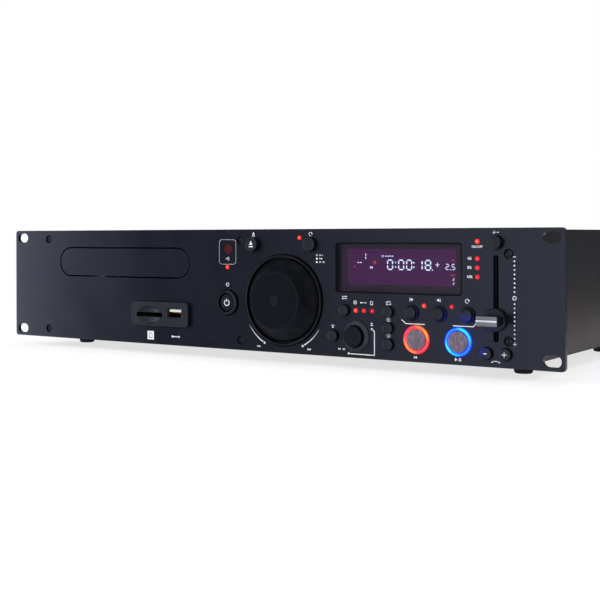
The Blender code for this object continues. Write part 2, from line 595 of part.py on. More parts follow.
CARD_SLOT_RIGHT = CARD_SLOT_LEFT + CARD_SLOT_WIDTH
USB_LEFT = CARD_SLOT_RIGHT + BAY_MIDDLE
USB_RIGHT = USB_LEFT + USB_WIDTH
BAY_RIGHT = USB_RIGHT + BAY_USB_MARGIN
USB_BOTTOM = BAY_BOTTOM + BAY_BELOW_USB
USB_TOP = USB_BOTTOM + USB_HEIGHT
BAY_TOP = USB_TOP + BAY_ABOVE_USB
CARD_SLOT_BOTTOM = USB_BOTTOM + CARD_ABOVE_USB_BOTTOM
CARD_SLOT_TOP = CARD_SLOT_BOTTOM + CARD_SLOT_HEIGHT
THUMB_SCOOP_HALF_WIDTH = CARD_SLOT_WIDTH / 2 - THUMB_SCOOP_SIDE_INSET
READER_CAGE_REAR = READER_BOARD_REAR - READER_CAGE_BOARD_MARGIN

# Rear connectors
INLET_FROM_SIDE = 0.0519
INLET_HEIGHT = 0.032
INLET_BODY_LENGTH = 0.022
INLET_FLANGE_SIDE = 0.0104
INLET_FLANGE_RISE = 0.00195
INLET_FLANGE_THICKNESS = 0.0025
INLET_CAVITY_WIDTH = 0.024
INLET_CAVITY_HEIGHT = 0.017
INLET_CAVITY_DEPTH = 0.0155
INLET_SIDE_WALL = 0.0016
INLET_ROOF = 0.0013
INLET_PIN_WIDTH = 0.002
INLET_PIN_HEIGHT = 0.004
INLET_PIN_SETBACK = 0.0025
INLET_PIN_SPACING = 0.007
INLET_PIN_OFFSET = 0.002
INLET_HOLE_GAP = 0.0004
JACK_FROM_TRAY_X = 0.05405
JACK_PITCH = 0.02
JACK_COUNT = 3
JACK_HEIGHT = 0.036
JACK_RADIUS = 0.00415
JACK_HOLE_GAP = 0.00055
JACK_BORE_RADIUS = 0.0016
JACK_BORE_DEPTH = 0.008
JACK_REACH = 0.009
JACK_BLOCK_MARGIN = 0.008
JACK_BLOCK_HEIGHT = 0.02
JACK_BLOCK_LENGTH = 0.01
INLET_X = CASE_HALF - INLET_FROM_SIDE
INLET_BODY_WIDTH = INLET_CAVITY_WIDTH + 2 * INLET_SIDE_WALL
INLET_BODY_HEIGHT = INLET_CAVITY_HEIGHT + 2 * INLET_ROOF
INLET_FLANGE_WIDTH = INLET_BODY_WIDTH + 2 * INLET_FLANGE_SIDE
INLET_FLANGE_HEIGHT = INLET_BODY_HEIGHT + 2 * INLET_FLANGE_RISE
INLET_PIN_LENGTH = INLET_CAVITY_DEPTH - INLET_PIN_SETBACK
JACK_FIRST_X = TRAY_X + JACK_FROM_TRAY_X
JACK_HOLE_RADIUS = JACK_RADIUS + JACK_HOLE_GAP
PANEL_FRONT_Y = -(CASE_DEPTH + JACK_REACH - FADER_REACH) / 2

# Boards on the case's floor
LEG_HEIGHT = 0.0055
LEG_RADIUS = 0.0025
LEG_INSET = 0.005
FLOOR_BOARD_THICKNESS = 0.0016
SUPPLY_FROM_SIDE = 0.0169
SUPPLY_WIDTH = 0.1
SUPPLY_LENGTH = 0.079
SUPPLY_INLET_GAP = 0.004
TRANSFORMER_LENGTH = 0.05
TRANSFORMER_WIDTH = 0.042
TRANSFORMER_HEIGHT = 0.038
CAPACITOR_RADIUS = 0.008
CAPACITOR_HEIGHT = 0.025
MAIN_BOARD_LOADER_GAP = 0.01185
MAIN_BOARD_SUPPLY_GAP = 0.015
MAIN_BOARD_LENGTH = 0.172
MAIN_BOARD_REAR_GAP = 0.017
PROCESSOR_SIZE = 0.024
PROCESSOR_HEIGHT = 0.003
MEMORY_LENGTH = 0.018
MEMORY_WIDTH = 0.01
HEATSINK_LENGTH = 0.04
HEATSINK_WIDTH = 0.012
HEATSINK_HEIGHT = 0.025
SUPPLY_RIGHT = CASE_HALF - SUPPLY_FROM_SIDE
SUPPLY_LEFT = SUPPLY_RIGHT - SUPPLY_WIDTH
SUPPLY_REAR = CASE_DEPTH - INLET_BODY_LENGTH - SUPPLY_INLET_GAP
SUPPLY_FRONT = SUPPLY_REAR - SUPPLY_LENGTH
MAIN_BOARD_LEFT = TRAY_X + LOADER_OUTER + MAIN_BOARD_LOADER_GAP
MAIN_BOARD_RIGHT = SUPPLY_LEFT - MAIN_BOARD_SUPPLY_GAP
MAIN_BOARD_REAR = REAR_PANEL_FRONT - MAIN_BOARD_REAR_GAP
MAIN_BOARD_FRONT = MAIN_BOARD_REAR - MAIN_BOARD_LENGTH

# Tables of places
RACK_SLOT_HEIGHTS = (RACK_SLOT_FROM_EDGE, PANEL_HEIGHT - RACK_SLOT_FROM_EDGE)
RACK_SLOT_XS = (LEFT_END + RACK_SLOT_FROM_END, RIGHT_END - RACK_SLOT_FROM_END)
SCREW_WELLS = (
    (LEFT_SCREW_X, LEFT_SCREW_HIGH),
    (LEFT_SCREW_X, PANEL_SCREW_LOW),
    (MIDDLE_SCREW_X, MIDDLE_SCREW_HIGH),
    (MIDDLE_SCREW_X, PANEL_SCREW_LOW),
    (FADER_SCREW_X, FADER_SCREW_HIGH),
    (FADER_SCREW_X, FADER_SCREW_LOW),
)
CASE_SCREWS = SCREW_WELLS[:2]
BOARD_SCREWS = SCREW_WELLS[2:]
LIGHTS = (
    (STANDBY_LIGHT_X, STANDBY_LIGHT_HEIGHT),
    (JOG_LIGHT_X, JOG_LIGHT_HEIGHT),
    (SOURCE_LIGHT_X, MIDDLE_ROW_HEIGHT),
    (SOURCE_LIGHT_X + SOURCE_LIGHT_PITCH, MIDDLE_ROW_HEIGHT),
    (SOURCE_LIGHT_X + 2 * SOURCE_LIGHT_PITCH, MIDDLE_ROW_HEIGHT),
    (LOOP_LIGHT_X, LOOP_LIGHT_HEIGHT),
    (LOOP_LIGHT_X + LOOP_LIGHT_PITCH, LOOP_LIGHT_HEIGHT),
    (PITCH_LIGHT_X, PITCH_LIGHT_TOP),
    (PITCH_LIGHT_X, PITCH_LIGHT_LOW),
    (PITCH_LIGHT_X, PITCH_LIGHT_LOW + PITCH_LIGHT_PITCH),
    (PITCH_LIGHT_X, PITCH_LIGHT_LOW + 2 * PITCH_LIGHT_PITCH),
)

# Plain push buttons: name, x, height, cap radius, reach, dished face or not
PUSH_BUTTONS = (
    ("open_close_button", OPEN_X, TOP_ROW_HEIGHT, OPEN_CAP_RADIUS, OPEN_REACH, True),
    ("jog_mode_button", JOG_MODE_X, TOP_ROW_HEIGHT, MODE_CAP_RADIUS, MODE_REACH, True),
    ("source_button", SOURCE_X, MIDDLE_ROW_HEIGHT, SMALL_CAP_RADIUS, SMALL_REACH, False),
    ("tap_button", TAP_X, TAP_HEIGHT, SMALL_CAP_RADIUS, SMALL_REACH, False),
    ("repeat_button", MODE_COLUMN_X, MIDDLE_ROW_HEIGHT, SMALL_CAP_RADIUS, SMALL_REACH, False),
    ("time_button", MODE_COLUMN_X, TIME_ROW_HEIGHT, SMALL_CAP_RADIUS, SMALL_REACH, False),
    ("single_button", MODE_COLUMN_X, SINGLE_ROW_HEIGHT, SMALL_CAP_RADIUS, SMALL_REACH, False),
    ("pitch_button", PITCH_BUTTON_X, PITCH_BUTTON_HEIGHT, PITCH_CAP_RADIUS, PITCH_REACH, True),
    ("bend_minus_button", BEND_MINUS_X, BEND_HEIGHT, SMALL_CAP_RADIUS, SMALL_REACH, False),
    ("bend_plus_button", BEND_PLUS_X, BEND_HEIGHT, SMALL_CAP_RADIUS, SMALL_REACH, False),
)
LOOP_BUTTONS = (
    ("loop_in_button", LOOP_IN_X),
    ("loop_out_button", LOOP_IN_X + LOOP_PITCH),
    ("reloop_button", LOOP_IN_X + 2 * LOOP_PITCH),
)
LIT_BUTTONS = (
    ("cue_button", "cue_ring", CUE_X),
    ("play_button", "play_ring", PLAY_X),
)

# Finishes: colour as linear red, green and blue, then roughness and metallic
FINISHES = {
    "anodised_panel": ((0.028, 0.029, 0.036), 0.45, 0.4),
    "painted_steel": ((0.045, 0.041, 0.038), 0.5, 0.2),
    "black_plastic": ((0.012, 0.013, 0.016), 0.4, 0.0),
    "soft_black": ((0.01, 0.011, 0.014), 0.55, 0.0),
    "foot_rubber": ((0.01, 0.01, 0.01), 0.8, 0.0),
    "grey_plastic": ((0.16, 0.16, 0.17), 0.5, 0.0),
    "white_plastic": ((0.7, 0.7, 0.68), 0.45, 0.0),
    "smoked_lens": ((0.02, 0.012, 0.03), 0.08, 0.0),
    "display_glass": ((0.03, 0.02, 0.05), 0.2, 0.0),
    "red_window": ((0.12, 0.004, 0.008), 0.1, 0.0),
    "cue_light": ((1.0, 0.12, 0.03), 0.3, 0.0),
    "play_light": ((0.05, 0.35, 1.0), 0.3, 0.0),
    "brushed_metal": ((0.45, 0.4, 0.4), 0.35, 1.0),
    "bright_steel": ((0.6, 0.6, 0.6), 0.3, 1.0),
    "circuit_board": ((0.01, 0.07, 0.03), 0.5, 0.0),
    "transformer_iron": ((0.08, 0.07, 0.06), 0.5, 0.3),
}

# Directions that an object's own +Z can point
FRONTWARDS = (math.pi / 2, 0, 0)
UPWARDS = (0, 0, 0)
RIGHTWARDS = (0, math.pi / 2, 0)


def at(x, depth, height):
    """World point at x, depth behind the panel's front face and height above its lower edge."""
    return Vector((x, PANEL_FRONT_Y + depth, PANEL_FOOT_Z + height))


def empty_scene():
    for ob in list(bpy.data.objects):
        bpy.data.objects.remove(ob)


def new_collection(name):
    collection = bpy.data.collections.new(name)
    bpy.context.scene.collection.children.link(collection)
    return collection


empty_scene()
PARTS = new_collection("dj_disc_player")
TOOLS = new_collection("cutting_and_joining_shapes")


def make_finish(name):
    """Principled material of a named finish, made once and shared."""
    if name in bpy.data.materials:
        return bpy.data.materials[name]
    colour, roughness, metallic = FINISHES[name]
    finish = bpy.data.materials.new(name)
    finish.use_nodes = True
    shader = finish.node_tree.nodes["Principled BSDF"]
    shader.inputs["Base Color"].default_value = (*colour, 1.0)
    shader.inputs["Roughness"].default_value = roughness
    shader.inputs["Metallic"].default_value = metallic
    finish.diffuse_color = (*colour, 1.0)
    return finish


def add_object(name, data, location=(0, 0, 0), rotation=UPWARDS):
    ob = bpy.data.objects.new(name, data)
    PARTS.objects.link(ob)
    ob.location = location
    ob.rotation_euler = rotation
    return ob


def dress(ob, finish):
    ob.data.materials.append(make_finish(finish))
    return ob


def as_tool(ob):
    """Turn a shape into a hidden guide that only cuts or joins."""
    PARTS.objects.unlink(ob)
    TOOLS.objects.link(ob)
    ob.hide_render = True
    ob.display_type = "WIRE"
    return ob


def combine(target, tools, operation):
    for tool in tools:
        modifier = target.modifiers.new(tool.name, "BOOLEAN")
        modifier.operation = operation
        modifier.solver = "EXACT"
        modifier.object = as_tool(tool)
    return target


def cut(target, *tools):
    return combine(target, tools, "DIFFERENCE")


def join(target, *tools):
    return combine(target, tools, "UNION")


def box(name, low, high, origin=None):
    """Cube primitive stretched between two world corners; origin defaults to its centre."""
    low = Vector(low)
    high = Vector(high)
    centre = (low + high) / 2
    origin = centre if origin is None else Vector(origin)
    size = high - low
    bm = bmesh.new()
    stretch = Matrix.Diagonal((*size, 1))
    bmesh.ops.create_cube(bm, size=1, matrix=Matrix.Translation(centre - origin) @ stretch)
    mesh = bpy.data.meshes.new(name)
    bm.to_mesh(mesh)
    bm.free()
    return add_object(name, mesh, origin)


def round_edges(ob, width, segments=2):
    """Bevel every edge that folds by more than half a right angle."""
    bevel = ob.modifiers.new("rounded_edges", "BEVEL")
    bevel.width = width
    bevel.segments = segments
    bevel.limit_method = "ANGLE"
    bevel.angle_limit = math.pi / 4
    return ob


def turned(name, profile, steps, location, direction=FRONTWARDS, ring=False):
    """Revolve a profile of (radius, height) pairs, outer side from top to bottom."""
    vertices = [(radius, 0, height) for radius, height in profile]
    edges = [(i, i + 1) for i in range(len(vertices) - 1)]
    if ring:
        edges.append((len(vertices) - 1, 0))
    mesh = bpy.data.meshes.new(name)
    mesh.from_pydata(vertices, edges, [])
    ob = add_object(name, mesh, location, direction)
    screw = ob.modifiers.new("turned", "SCREW")
    screw.axis = "Z"
    screw.angle = 2 * math.pi
    screw.steps = steps
    screw.render_steps = steps
    screw.use_merge_vertices = True
    screw.merge_threshold = MERGE_DISTANCE
    screw.use_smooth_shade = False
    return ob


def rod(name, radius, low, high, steps, location, direction=FRONTWARDS):
    """Plain cylinder along its own Z from low to high."""
    bm = bmesh.new()
    middle = Matrix.Translation((0, 0, (low + high) / 2))
    bmesh.ops.create_cone(
        bm, cap_ends=True, segments=steps, radius1=radius, radius2=radius, depth=high - low, matrix=middle
    )
    mesh = bpy.data.meshes.new(name)
    bm.to_mesh(mesh)
    bm.free()
    return add_object(name, mesh, location, direction)


def ball(name, radii, location, direction=UPWARDS):
    """Ellipsoid from an icosphere, used as a cutter."""
    bm = bmesh.new()
    bmesh.ops.create_icosphere(
        bm, subdivisions=DIMPLE_STEPS, radius=1, matrix=Matrix.Diagonal((*radii, 1))
    )
    mesh = bpy.data.meshes.new(name)
    bm.to_mesh(mesh)
    bm.free()
    return add_object(name, mesh, location, direction)


def arc(x, y, radius, start, end, steps):
    """Points of an arc, both ends included; angles in radians."""
    turn = (end - start) / steps
    return [
        (x + radius * math.cos(start + i * turn), y + radius * math.sin(start + i * turn))
        for i in range(steps + 1)
    ]


def circle_outline(x, y, radius, steps):
    return arc(x, y, radius, 0, 2 * math.pi, steps)[:-1]


def rounded_outline(left, right, bottom, top, radius, steps=CORNER_STEPS):
    """Rectangle with round corners, anticlockwise from its lower right corner."""
    quarter = math.pi / 2
    points = arc(right - radius, bottom + radius, radius, -quarter, 0, steps)
    points += arc(right - radius, top - radius, radius, 0, quarter, steps)
    points += arc(left + radius, top - radius, radius, quarter, 2 * quarter, steps)
    points += arc(left + radius, bottom + radius, radius, 2 * quarter, 3 * quarter, steps)
    distinct = [points[0]]
    for point in points[1:]:
        if math.dist(point, distinct[-1]) > MERGE_DISTANCE:
            distinct.append(point)
    return distinct


def plate(name, outlines, front_depth, thickness, direction=FRONTWARDS, origin=None):
    """Flat piece from 2D outlines, the first its edge and the others holes through it.

    The outlines are in x and height for a plate that faces the front, and its front face lies at
    front_depth. With UPWARDS they are in x and depth, and front_depth is the height of its top.
    """
    curve = bpy.data.curves.new(name, "CURVE")
    curve.dimensions = "2D"
    curve.fill_mode = "BOTH"
    curve.extrude = thickness / 2
    for outline in outlines:
        spline = curve.splines.new("POLY")
        spline.points.add(len(outline) - 1)
        for point, (u, v) in zip(spline.points, outline):
            point.co = (u, v, 0, 1)
        spline.use_cyclic_u = True
    if direction == FRONTWARDS:
        location = at(0, front_depth + thickness / 2, 0)
    else:
        location = at(0, 0, front_depth - thickness / 2)
    flat = add_object(name, curve, location, direction)
    return curve_to_mesh(flat, origin)


def curve_to_mesh(flat, origin=None):
    """Replace a curve object by a welded mesh object at the same place."""
    bpy.context.view_layer.update()
    graph = bpy.context.evaluated_depsgraph_get()
    mesh = bpy.data.meshes.new_from_object(flat.evaluated_get(graph))
    bm = bmesh.new()
    bm.from_mesh(mesh)
    bmesh.ops.remove_doubles(bm, verts=bm.verts, dist=MERGE_DISTANCE)
    bmesh.ops.recalc_face_normals(bm, faces=bm.faces)
    bm.to_mesh(mesh)
    bm.free()
    name = flat.name
    world = flat.matrix_world.copy()
    bpy.data.objects.remove(flat)
    mesh.name = name
    mesh.materials.clear()
    ob = add_object(name, mesh)
    if origin is None:
        ob.matrix_world = world
    else:
        mesh.transform(Matrix.Translation(-Vector(origin)) @ world)
        ob.location = origin
    return ob


def rounded_plate(name, left, right, bottom, top, radius, front_depth, thickness):
    return plate(name, [rounded_outline(left, right, bottom, top, radius)], front_depth, thickness)


def cap_edge(radius, reach, fillet):
    """Front rim of a round cap: two points of a rounded edge."""
    return [(radius - fillet, reach), (radius, reach - fillet)]


def tray_opening_outline(margin):
    """Round-ended outline of the tray door, grown by a margin."""
    half_width = DOOR_WIDTH / 2 + margin
    half_height = DOOR_HEIGHT / 2 + margin
    return rounded_outline(
        TRAY_X - half_width,
        TRAY_X + half_width,
        DOOR_HEIGHT_CENTRE - half_height,
        DOOR_HEIGHT_CENTRE + half_height,
        half_height,
        DOOR_ARC_STEPS,
    )


def panel_cutouts():
    """Outlines of every opening that goes right through the front panel."""
    holes = []
    for x in RACK_SLOT_XS:
        for height in RACK_SLOT_HEIGHTS:
            holes.append(
                rounded_outline(
                    x - RACK_SLOT_LENGTH / 2,
                    x + RACK_SLOT_LENGTH / 2,
                    height - RACK_SLOT_HEIGHT / 2,
                    height + RACK_SLOT_HEIGHT / 2,
                    RACK_SLOT_HEIGHT / 2,
                )
            )
    holes.append(tray_opening_outline(DOOR_GAP))
    holes.append(
        rounded_outline(
            BAY_LEFT - BAY_GAP, BAY_RIGHT + BAY_GAP, BAY_BOTTOM - BAY_GAP, BAY_TOP + BAY_GAP, BAY_RADIUS
        )
    )
    holes.append(
        rounded_outline(DISPLAY_LEFT, DISPLAY_RIGHT, DISPLAY_BOTTOM, DISPLAY_TOP, DISPLAY_RADIUS)
    )
    holes.append(
        rounded_outline(
            FADER_X - FADER_SLOT_WIDTH / 2,
            FADER_X + FADER_SLOT_WIDTH / 2,
            FADER_SLOT_CENTRE - FADER_SLOT_LENGTH / 2,
            FADER_SLOT_CENTRE + FADER_SLOT_LENGTH / 2,
            FADER_SLOT_WIDTH / 2,
        )
    )
    holes.append(circle_outline(JOG_X, JOG_HEIGHT, JOG_HOLE_RADIUS, LARGE_STEPS))
    holes.append(circle_outline(POWER_X, POWER_HEIGHT, POWER_HOLE_RADIUS, MEDIUM_STEPS))
    holes.append(circle_outline(TRACK_X, TRACK_HEIGHT, TRACK_HOLE_RADIUS, MEDIUM_STEPS))
    holes.append(circle_outline(SENSOR_X, SENSOR_HEIGHT, SENSOR_HOLE_RADIUS, SMALL_STEPS))
    for _, _, x in LIT_BUTTONS:
        holes.append(circle_outline(x, CUE_HEIGHT, RING_OUTER + RING_GAP, MEDIUM_STEPS))
    for _, x in LOOP_BUTTONS:
        holes.append(circle_outline(x, MIDDLE_ROW_HEIGHT, LOOP_HOLE_RADIUS, SMALL_STEPS))
    for _, x, height, radius, _, _ in PUSH_BUTTONS:
        holes.append(circle_outline(x, height, radius + BUTTON_GAP, SMALL_STEPS))
    for x, height in LIGHTS:
        holes.append(circle_outline(x, height, LED_HOLE_RADIUS, SCREW_STEPS))
    for x, height in SCREW_WELLS:
        holes.append(circle_outline(x, height, SCREW_WELL_RADIUS, SMALL_STEPS))
    return holes


def make_front_panel():
    half = PANEL_WIDTH / 2
    edge = rounded_outline(-half, half, 0, PANEL_HEIGHT, PANEL_CORNER_RADIUS)
    panel = plate("front_panel", [edge] + panel_cutouts(), 0, PANEL_THICKNESS)
    dress(panel, "anodised_panel")


def folded_outline(half_width, closed_at, open_at, thickness):
    """Channel section with its web at one height and its two flanges reaching to another."""
    inward = thickness if open_at > closed_at else -thickness
    inner = half_width - thickness
    return [
        (-half_width, open_at),
        (-half_width, closed_at),
        (half_width, closed_at),
        (half_width, open_at),
        (inner, open_at),
        (inner, closed_at + inward),
        (-inner, closed_at + inward),
        (-inner, open_at),
    ]


def screw_posts(places, root_depth):
    """Posts that carry the panel's screws, from a root behind the panel up into the screw wells."""
    return [
        rod("screw_post", SCREW_POST_RADIUS, -root_depth, -SCREW_WELL_DEPTH, SCREW_STEPS, at(x, 0, height))
        for x, height in places
    ]


def make_chassis_base():
    half = CASE_HALF - SHEET - TOUCH_GAP
    section = folded_outline(half, CASE_ABOVE_PANEL_FOOT, CASE_ABOVE_PANEL_FOOT + BASE_SIDE_HEIGHT, SHEET)
    base = plate("chassis_base", [section], PANEL_BACK, COVER_REAR - PANEL_BACK)
    tab_top = CASE_TOP - SHEET - TAB_BELOW_COVER
    right_tab_left = FADER_SCREW_X + SCREW_POST_RADIUS + RIGHT_TAB_POST_GAP
    tabs = []
    for name, left, right in (
        ("left_panel_tab", -half, -half + LEFT_TAB_WIDTH),
        ("right_panel_tab", right_tab_left, half),
    ):
        low = at(left, PANEL_BACK, CASE_ABOVE_PANEL_FOOT)
        high = at(right, PANEL_BACK + SHEET, tab_top)
        tabs.append(box(name, low, high))
    join(base, *tabs, *screw_posts(CASE_SCREWS, PANEL_BACK + JOIN_DEPTH))
    dress(base, "painted_steel")


def make_top_cover():
    section = folded_outline(CASE_HALF, CASE_TOP, CASE_ABOVE_PANEL_FOOT, SHEET)
    cover = plate("top_cover", [section], PANEL_BACK, COVER_REAR - PANEL_BACK)
    dress(cover, "painted_steel")


def make_rear_panel():
    edge = rounded_outline(-CASE_HALF, CASE_HALF, CASE_ABOVE_PANEL_FOOT, CASE_TOP, SHEET / 2)
    holes = [
        circle_outline(JACK_FIRST_X + i * JACK_PITCH, JACK_HEIGHT, JACK_HOLE_RADIUS, SMALL_STEPS)
        for i in range(JACK_COUNT)
    ]
    half_width = INLET_BODY_WIDTH / 2 + INLET_HOLE_GAP
    half_height = INLET_BODY_HEIGHT / 2 + INLET_HOLE_GAP
    holes.append(
        [
            (INLET_X - half_width, INLET_HEIGHT - half_height),
            (INLET_X + half_width, INLET_HEIGHT - half_height),
            (INLET_X + half_width, INLET_HEIGHT + half_height),
            (INLET_X - half_width, INLET_HEIGHT + half_height),
        ]
    )
    rear = plate("rear_panel", [edge] + holes, REAR_PANEL_FRONT, SHEET)
    dress(rear, "painted_steel")


def make_feet():
    profile = [
        (0, FOOT_HEIGHT),
        (FOOT_RADIUS - FOOT_TAPER, FOOT_HEIGHT),
        (FOOT_RADIUS, FOOT_CHAMFER),
        (FOOT_RADIUS - FOOT_CHAMFER, 0),
        (0, 0),
    ]
    for row, depth in (("front", FRONT_FOOT_DEPTH), ("rear", REAR_FOOT_DEPTH)):
        for side, x in (("left", -FOOT_X), ("right", FOOT_X)):
            place = at(x, depth, -PANEL_FOOT_Z)
            foot = turned(f"foot_{row}_{side}", profile, SMALL_STEPS, place, UPWARDS)
            dress(foot, "foot_rubber")


def make_tray_door():
    door = plate("tray_door", [tray_opening_outline(0)], 0, DOOR_THICKNESS)
    lug_left = TRAY_X - DOOR_LUG_WIDTH / 2
    lug_bottom = DOOR_HEIGHT_CENTRE - DOOR_LUG_HEIGHT / 2
    lug = box(
        "door_lug",
        at(lug_left, DOOR_THICKNESS - JOIN_DEPTH, lug_bottom),
        at(lug_left + DOOR_LUG_WIDTH, TRAY_FRONT_DEPTH - TOUCH_GAP, lug_bottom + DOOR_LUG_HEIGHT),
    )
    join(door, lug)
    dress(door, "anodised_panel")


def tooth_half_widths(height_from_pitch):
    """Half a tooth's width at a height over the pitch line; it narrows towards the tip."""
    return TOOTH_THICKNESS / 2 - TOOTH_TAPER_SHARE * height_from_pitch


def rack_outline():
    """Rack seen from above in x and depth: a straight rib with teeth on its right side."""
    tip_x = RACK_ROOT_X + TOOTH_DEDENDUM + TOOTH_ADDENDUM
    root_half = tooth_half_widths(-TOOTH_DEDENDUM)
    tip_half = tooth_half_widths(TOOTH_ADDENDUM)
    teeth = int(TRAY_TRAVEL / GEAR_PITCH) + 2 * RACK_END_TEETH
    first = GEAR_DEPTH - (RACK_END_TEETH - 1 / 2) * GEAR_PITCH
    points = []
    for i in range(teeth):
        middle = first + i * GEAR_PITCH
        points += [
            (RACK_ROOT_X, middle - root_half),
            (tip_x, middle - tip_half),
            (tip_x, middle + tip_half),
            (RACK_ROOT_X, middle + root_half),
        ]
    last = first + (teeth - 1) * GEAR_PITCH
    rib_x = RACK_ROOT_X - RACK_RIB_THICKNESS
    return points + [
        (RACK_ROOT_X, last + GEAR_PITCH / 2),
        (rib_x, last + GEAR_PITCH / 2),
        (rib_x, first - GEAR_PITCH / 2),
        (RACK_ROOT_X, first - GEAR_PITCH / 2),
    ]


def make_disc_tray():
    half = TRAY_WIDTH / 2
    rear = TRAY_FRONT_DEPTH + TRAY_LENGTH
    tray = box(
        "disc_tray", at(TRAY_X - half, TRAY_FRONT_DEPTH, TRAY_BOTTOM), at(TRAY_X + half, rear, TRAY_TOP)
    )
    centre = at(TRAY_X, DISC_DEPTH, 0)
    above = TRAY_TOP + CUT_OVERRUN
    recess = rod("disc_recess", DISC_RECESS_RADIUS, DISC_RECESS_FLOOR, above, LARGE_STEPS, centre, UPWARDS)
    small = rod("small_recess", SMALL_DISC_RADIUS, SMALL_DISC_FLOOR, TRAY_TOP, LARGE_STEPS, centre, UPWARDS)
    pocket = box(
        "pocket",
        at(TRAY_X - half + TRAY_RIM, TRAY_FRONT_DEPTH + TRAY_RIM, TRAY_BOTTOM - CUT_OVERRUN),
        at(TRAY_X + half - TRAY_RIM, rear + CUT_OVERRUN, TRAY_POCKET_TOP),
    )
    slot_half = TRAY_SLOT_WIDTH / 2
    slot_front = DISC_DEPTH - slot_half
    slot = plate(
        "turntable_slot",
        [
            arc(TRAY_X, DISC_DEPTH, slot_half, math.pi, 2 * math.pi, DOOR_ARC_STEPS)
            + [(TRAY_X + slot_half, rear + CUT_OVERRUN), (TRAY_X - slot_half, rear + CUT_OVERRUN)]
        ],
        above,
        above - TRAY_BOTTOM + CUT_OVERRUN,
        UPWARDS,
    )
    rack_top = TRAY_POCKET_TOP + JOIN_DEPTH
    rack = plate("drive_rack", [rack_outline()], rack_top, rack_top - RACK_BOTTOM, UPWARDS)
    cut(tray, pocket, recess, small, slot)
    join(tray, rack)
    dress(tray, "soft_black")


def gear_outline():
    """Pinion outline about its own axis, with a tooth towards -X."""
    root = -TOOTH_DEDENDUM
    tip = TOOTH_ADDENDUM
    points = []
    for i in range(GEAR_TEETH):
        middle = math.pi + i * 2 * math.pi / GEAR_TEETH
        for height, side in ((root, -1), (tip, -1), (tip, 1), (root, 1)):
            radius = GEAR_RADIUS + height
            angle = middle + side * tooth_half_widths(height) / radius
            points.append((GEAR_X + radius * math.cos(angle), GEAR_DEPTH + radius * math.sin(angle)))
    return points


def make_loading_gear():
    axis = at(GEAR_X, GEAR_DEPTH, 0)
    gear_top = GEAR_BOTTOM + GEAR_THICKNESS
    gear = plate("loading_gear", [gear_outline()], gear_top, GEAR_THICKNESS, UPWARDS, axis)
    shaft_top = GEAR_BOTTOM + JOIN_DEPTH
    shaft = rod("gear_shaft", GEAR_SHAFT_RADIUS, GEAR_SHAFT_BOTTOM, shaft_top, SCREW_STEPS, axis, UPWARDS)
    join(gear, shaft)
    dress(gear, "white_plastic")


def make_loading_motor():
    bottom = LOADER_FLOOR_TOP + TOUCH_GAP
    bore = GEAR_SHAFT_RADIUS + RUNNING_GAP
    profile = [
        (bore, LOADING_MOTOR_TOP),
        (LOADING_MOTOR_RADIUS, LOADING_MOTOR_TOP),
        (LOADING_MOTOR_RADIUS, bottom),
        (bore, bottom),
    ]
    motor = turned("loading_motor", profile, SMALL_STEPS, at(GEAR_X, GEAR_DEPTH, 0), UPWARDS, ring=True)
    dress(motor, "bright_steel")


def loader_outline():
    """Section of the loader frame: two walls, a floor between them and a ledge on each wall."""
    floor_bottom = LOADER_FLOOR_TOP - LOADER_FLOOR_THICKNESS
    ledge_end = LOADER_INNER - LEDGE_WIDTH
    right = [
        (LOADER_INNER, floor_bottom),
        (LOADER_INNER, LOADER_BOTTOM),
        (LOADER_OUTER, LOADER_BOTTOM),
        (LOADER_OUTER, LOADER_TOP),
        (LOADER_INNER, LOADER_TOP),
        (LOADER_INNER, LEDGE_TOP),
        (ledge_end, LEDGE_TOP),
        (ledge_end, LEDGE_TOP - LEDGE_THICKNESS),
        (LOADER_INNER, LEDGE_TOP - LEDGE_THICKNESS),
        (LOADER_INNER, LOADER_FLOOR_TOP),
    ]
    left = [(-x, height) for x, height in reversed(right)]
    return [(TRAY_X + x, height) for x, height in right + left]


def make_loader_frame():
    frame = plate("loader_frame", [loader_outline()], LOADER_FRONT_DEPTH, LOADER_LENGTH)
    half_pivot = DECK_PIVOT_LENGTH / 2
    ears = []
    for side in (-1, 1):
        middle = TRAY_X + side * half_pivot
        left = middle - EAR_THICKNESS / 2
        front = DECK_PIVOT_DEPTH - EAR_LENGTH / 2
        low = at(left, front, LOADER_FLOOR_TOP - JOIN_DEPTH)
        high = at(left + EAR_THICKNESS, front + EAR_LENGTH, DECK_PIVOT_HEIGHT + EAR_RISE_OVER_PIVOT)
        ears.append(box("deck_ear", low, high))
    join(frame, *ears)
    reach = half_pivot + EAR_THICKNESS
    bore = rod(
        "pivot_bore",
        DECK_PIVOT_RADIUS + RUNNING_GAP,
        -reach,
        reach,
        SMALL_STEPS,
        at(TRAY_X, DECK_PIVOT_DEPTH, DECK_PIVOT_HEIGHT),
        RIGHTWARDS,
    )
    cut(frame, bore)
    dress(frame, "soft_black")


def make_clamp_bridge():
    outline = rounded_outline(
        TRAY_X - LOADER_OUTER,
        TRAY_X + LOADER_OUTER,
        DISC_DEPTH - BRIDGE_LENGTH / 2,
        DISC_DEPTH + BRIDGE_LENGTH / 2,
        LOADER_WALL,
    )
    hole = circle_outline(TRAY_X, DISC_DEPTH, BRIDGE_HOLE_RADIUS, MEDIUM_STEPS)
    bridge = plate("clamp_bridge", [outline, hole], BRIDGE_TOP, BRIDGE_THICKNESS, UPWARDS)
    dress(bridge, "painted_steel")


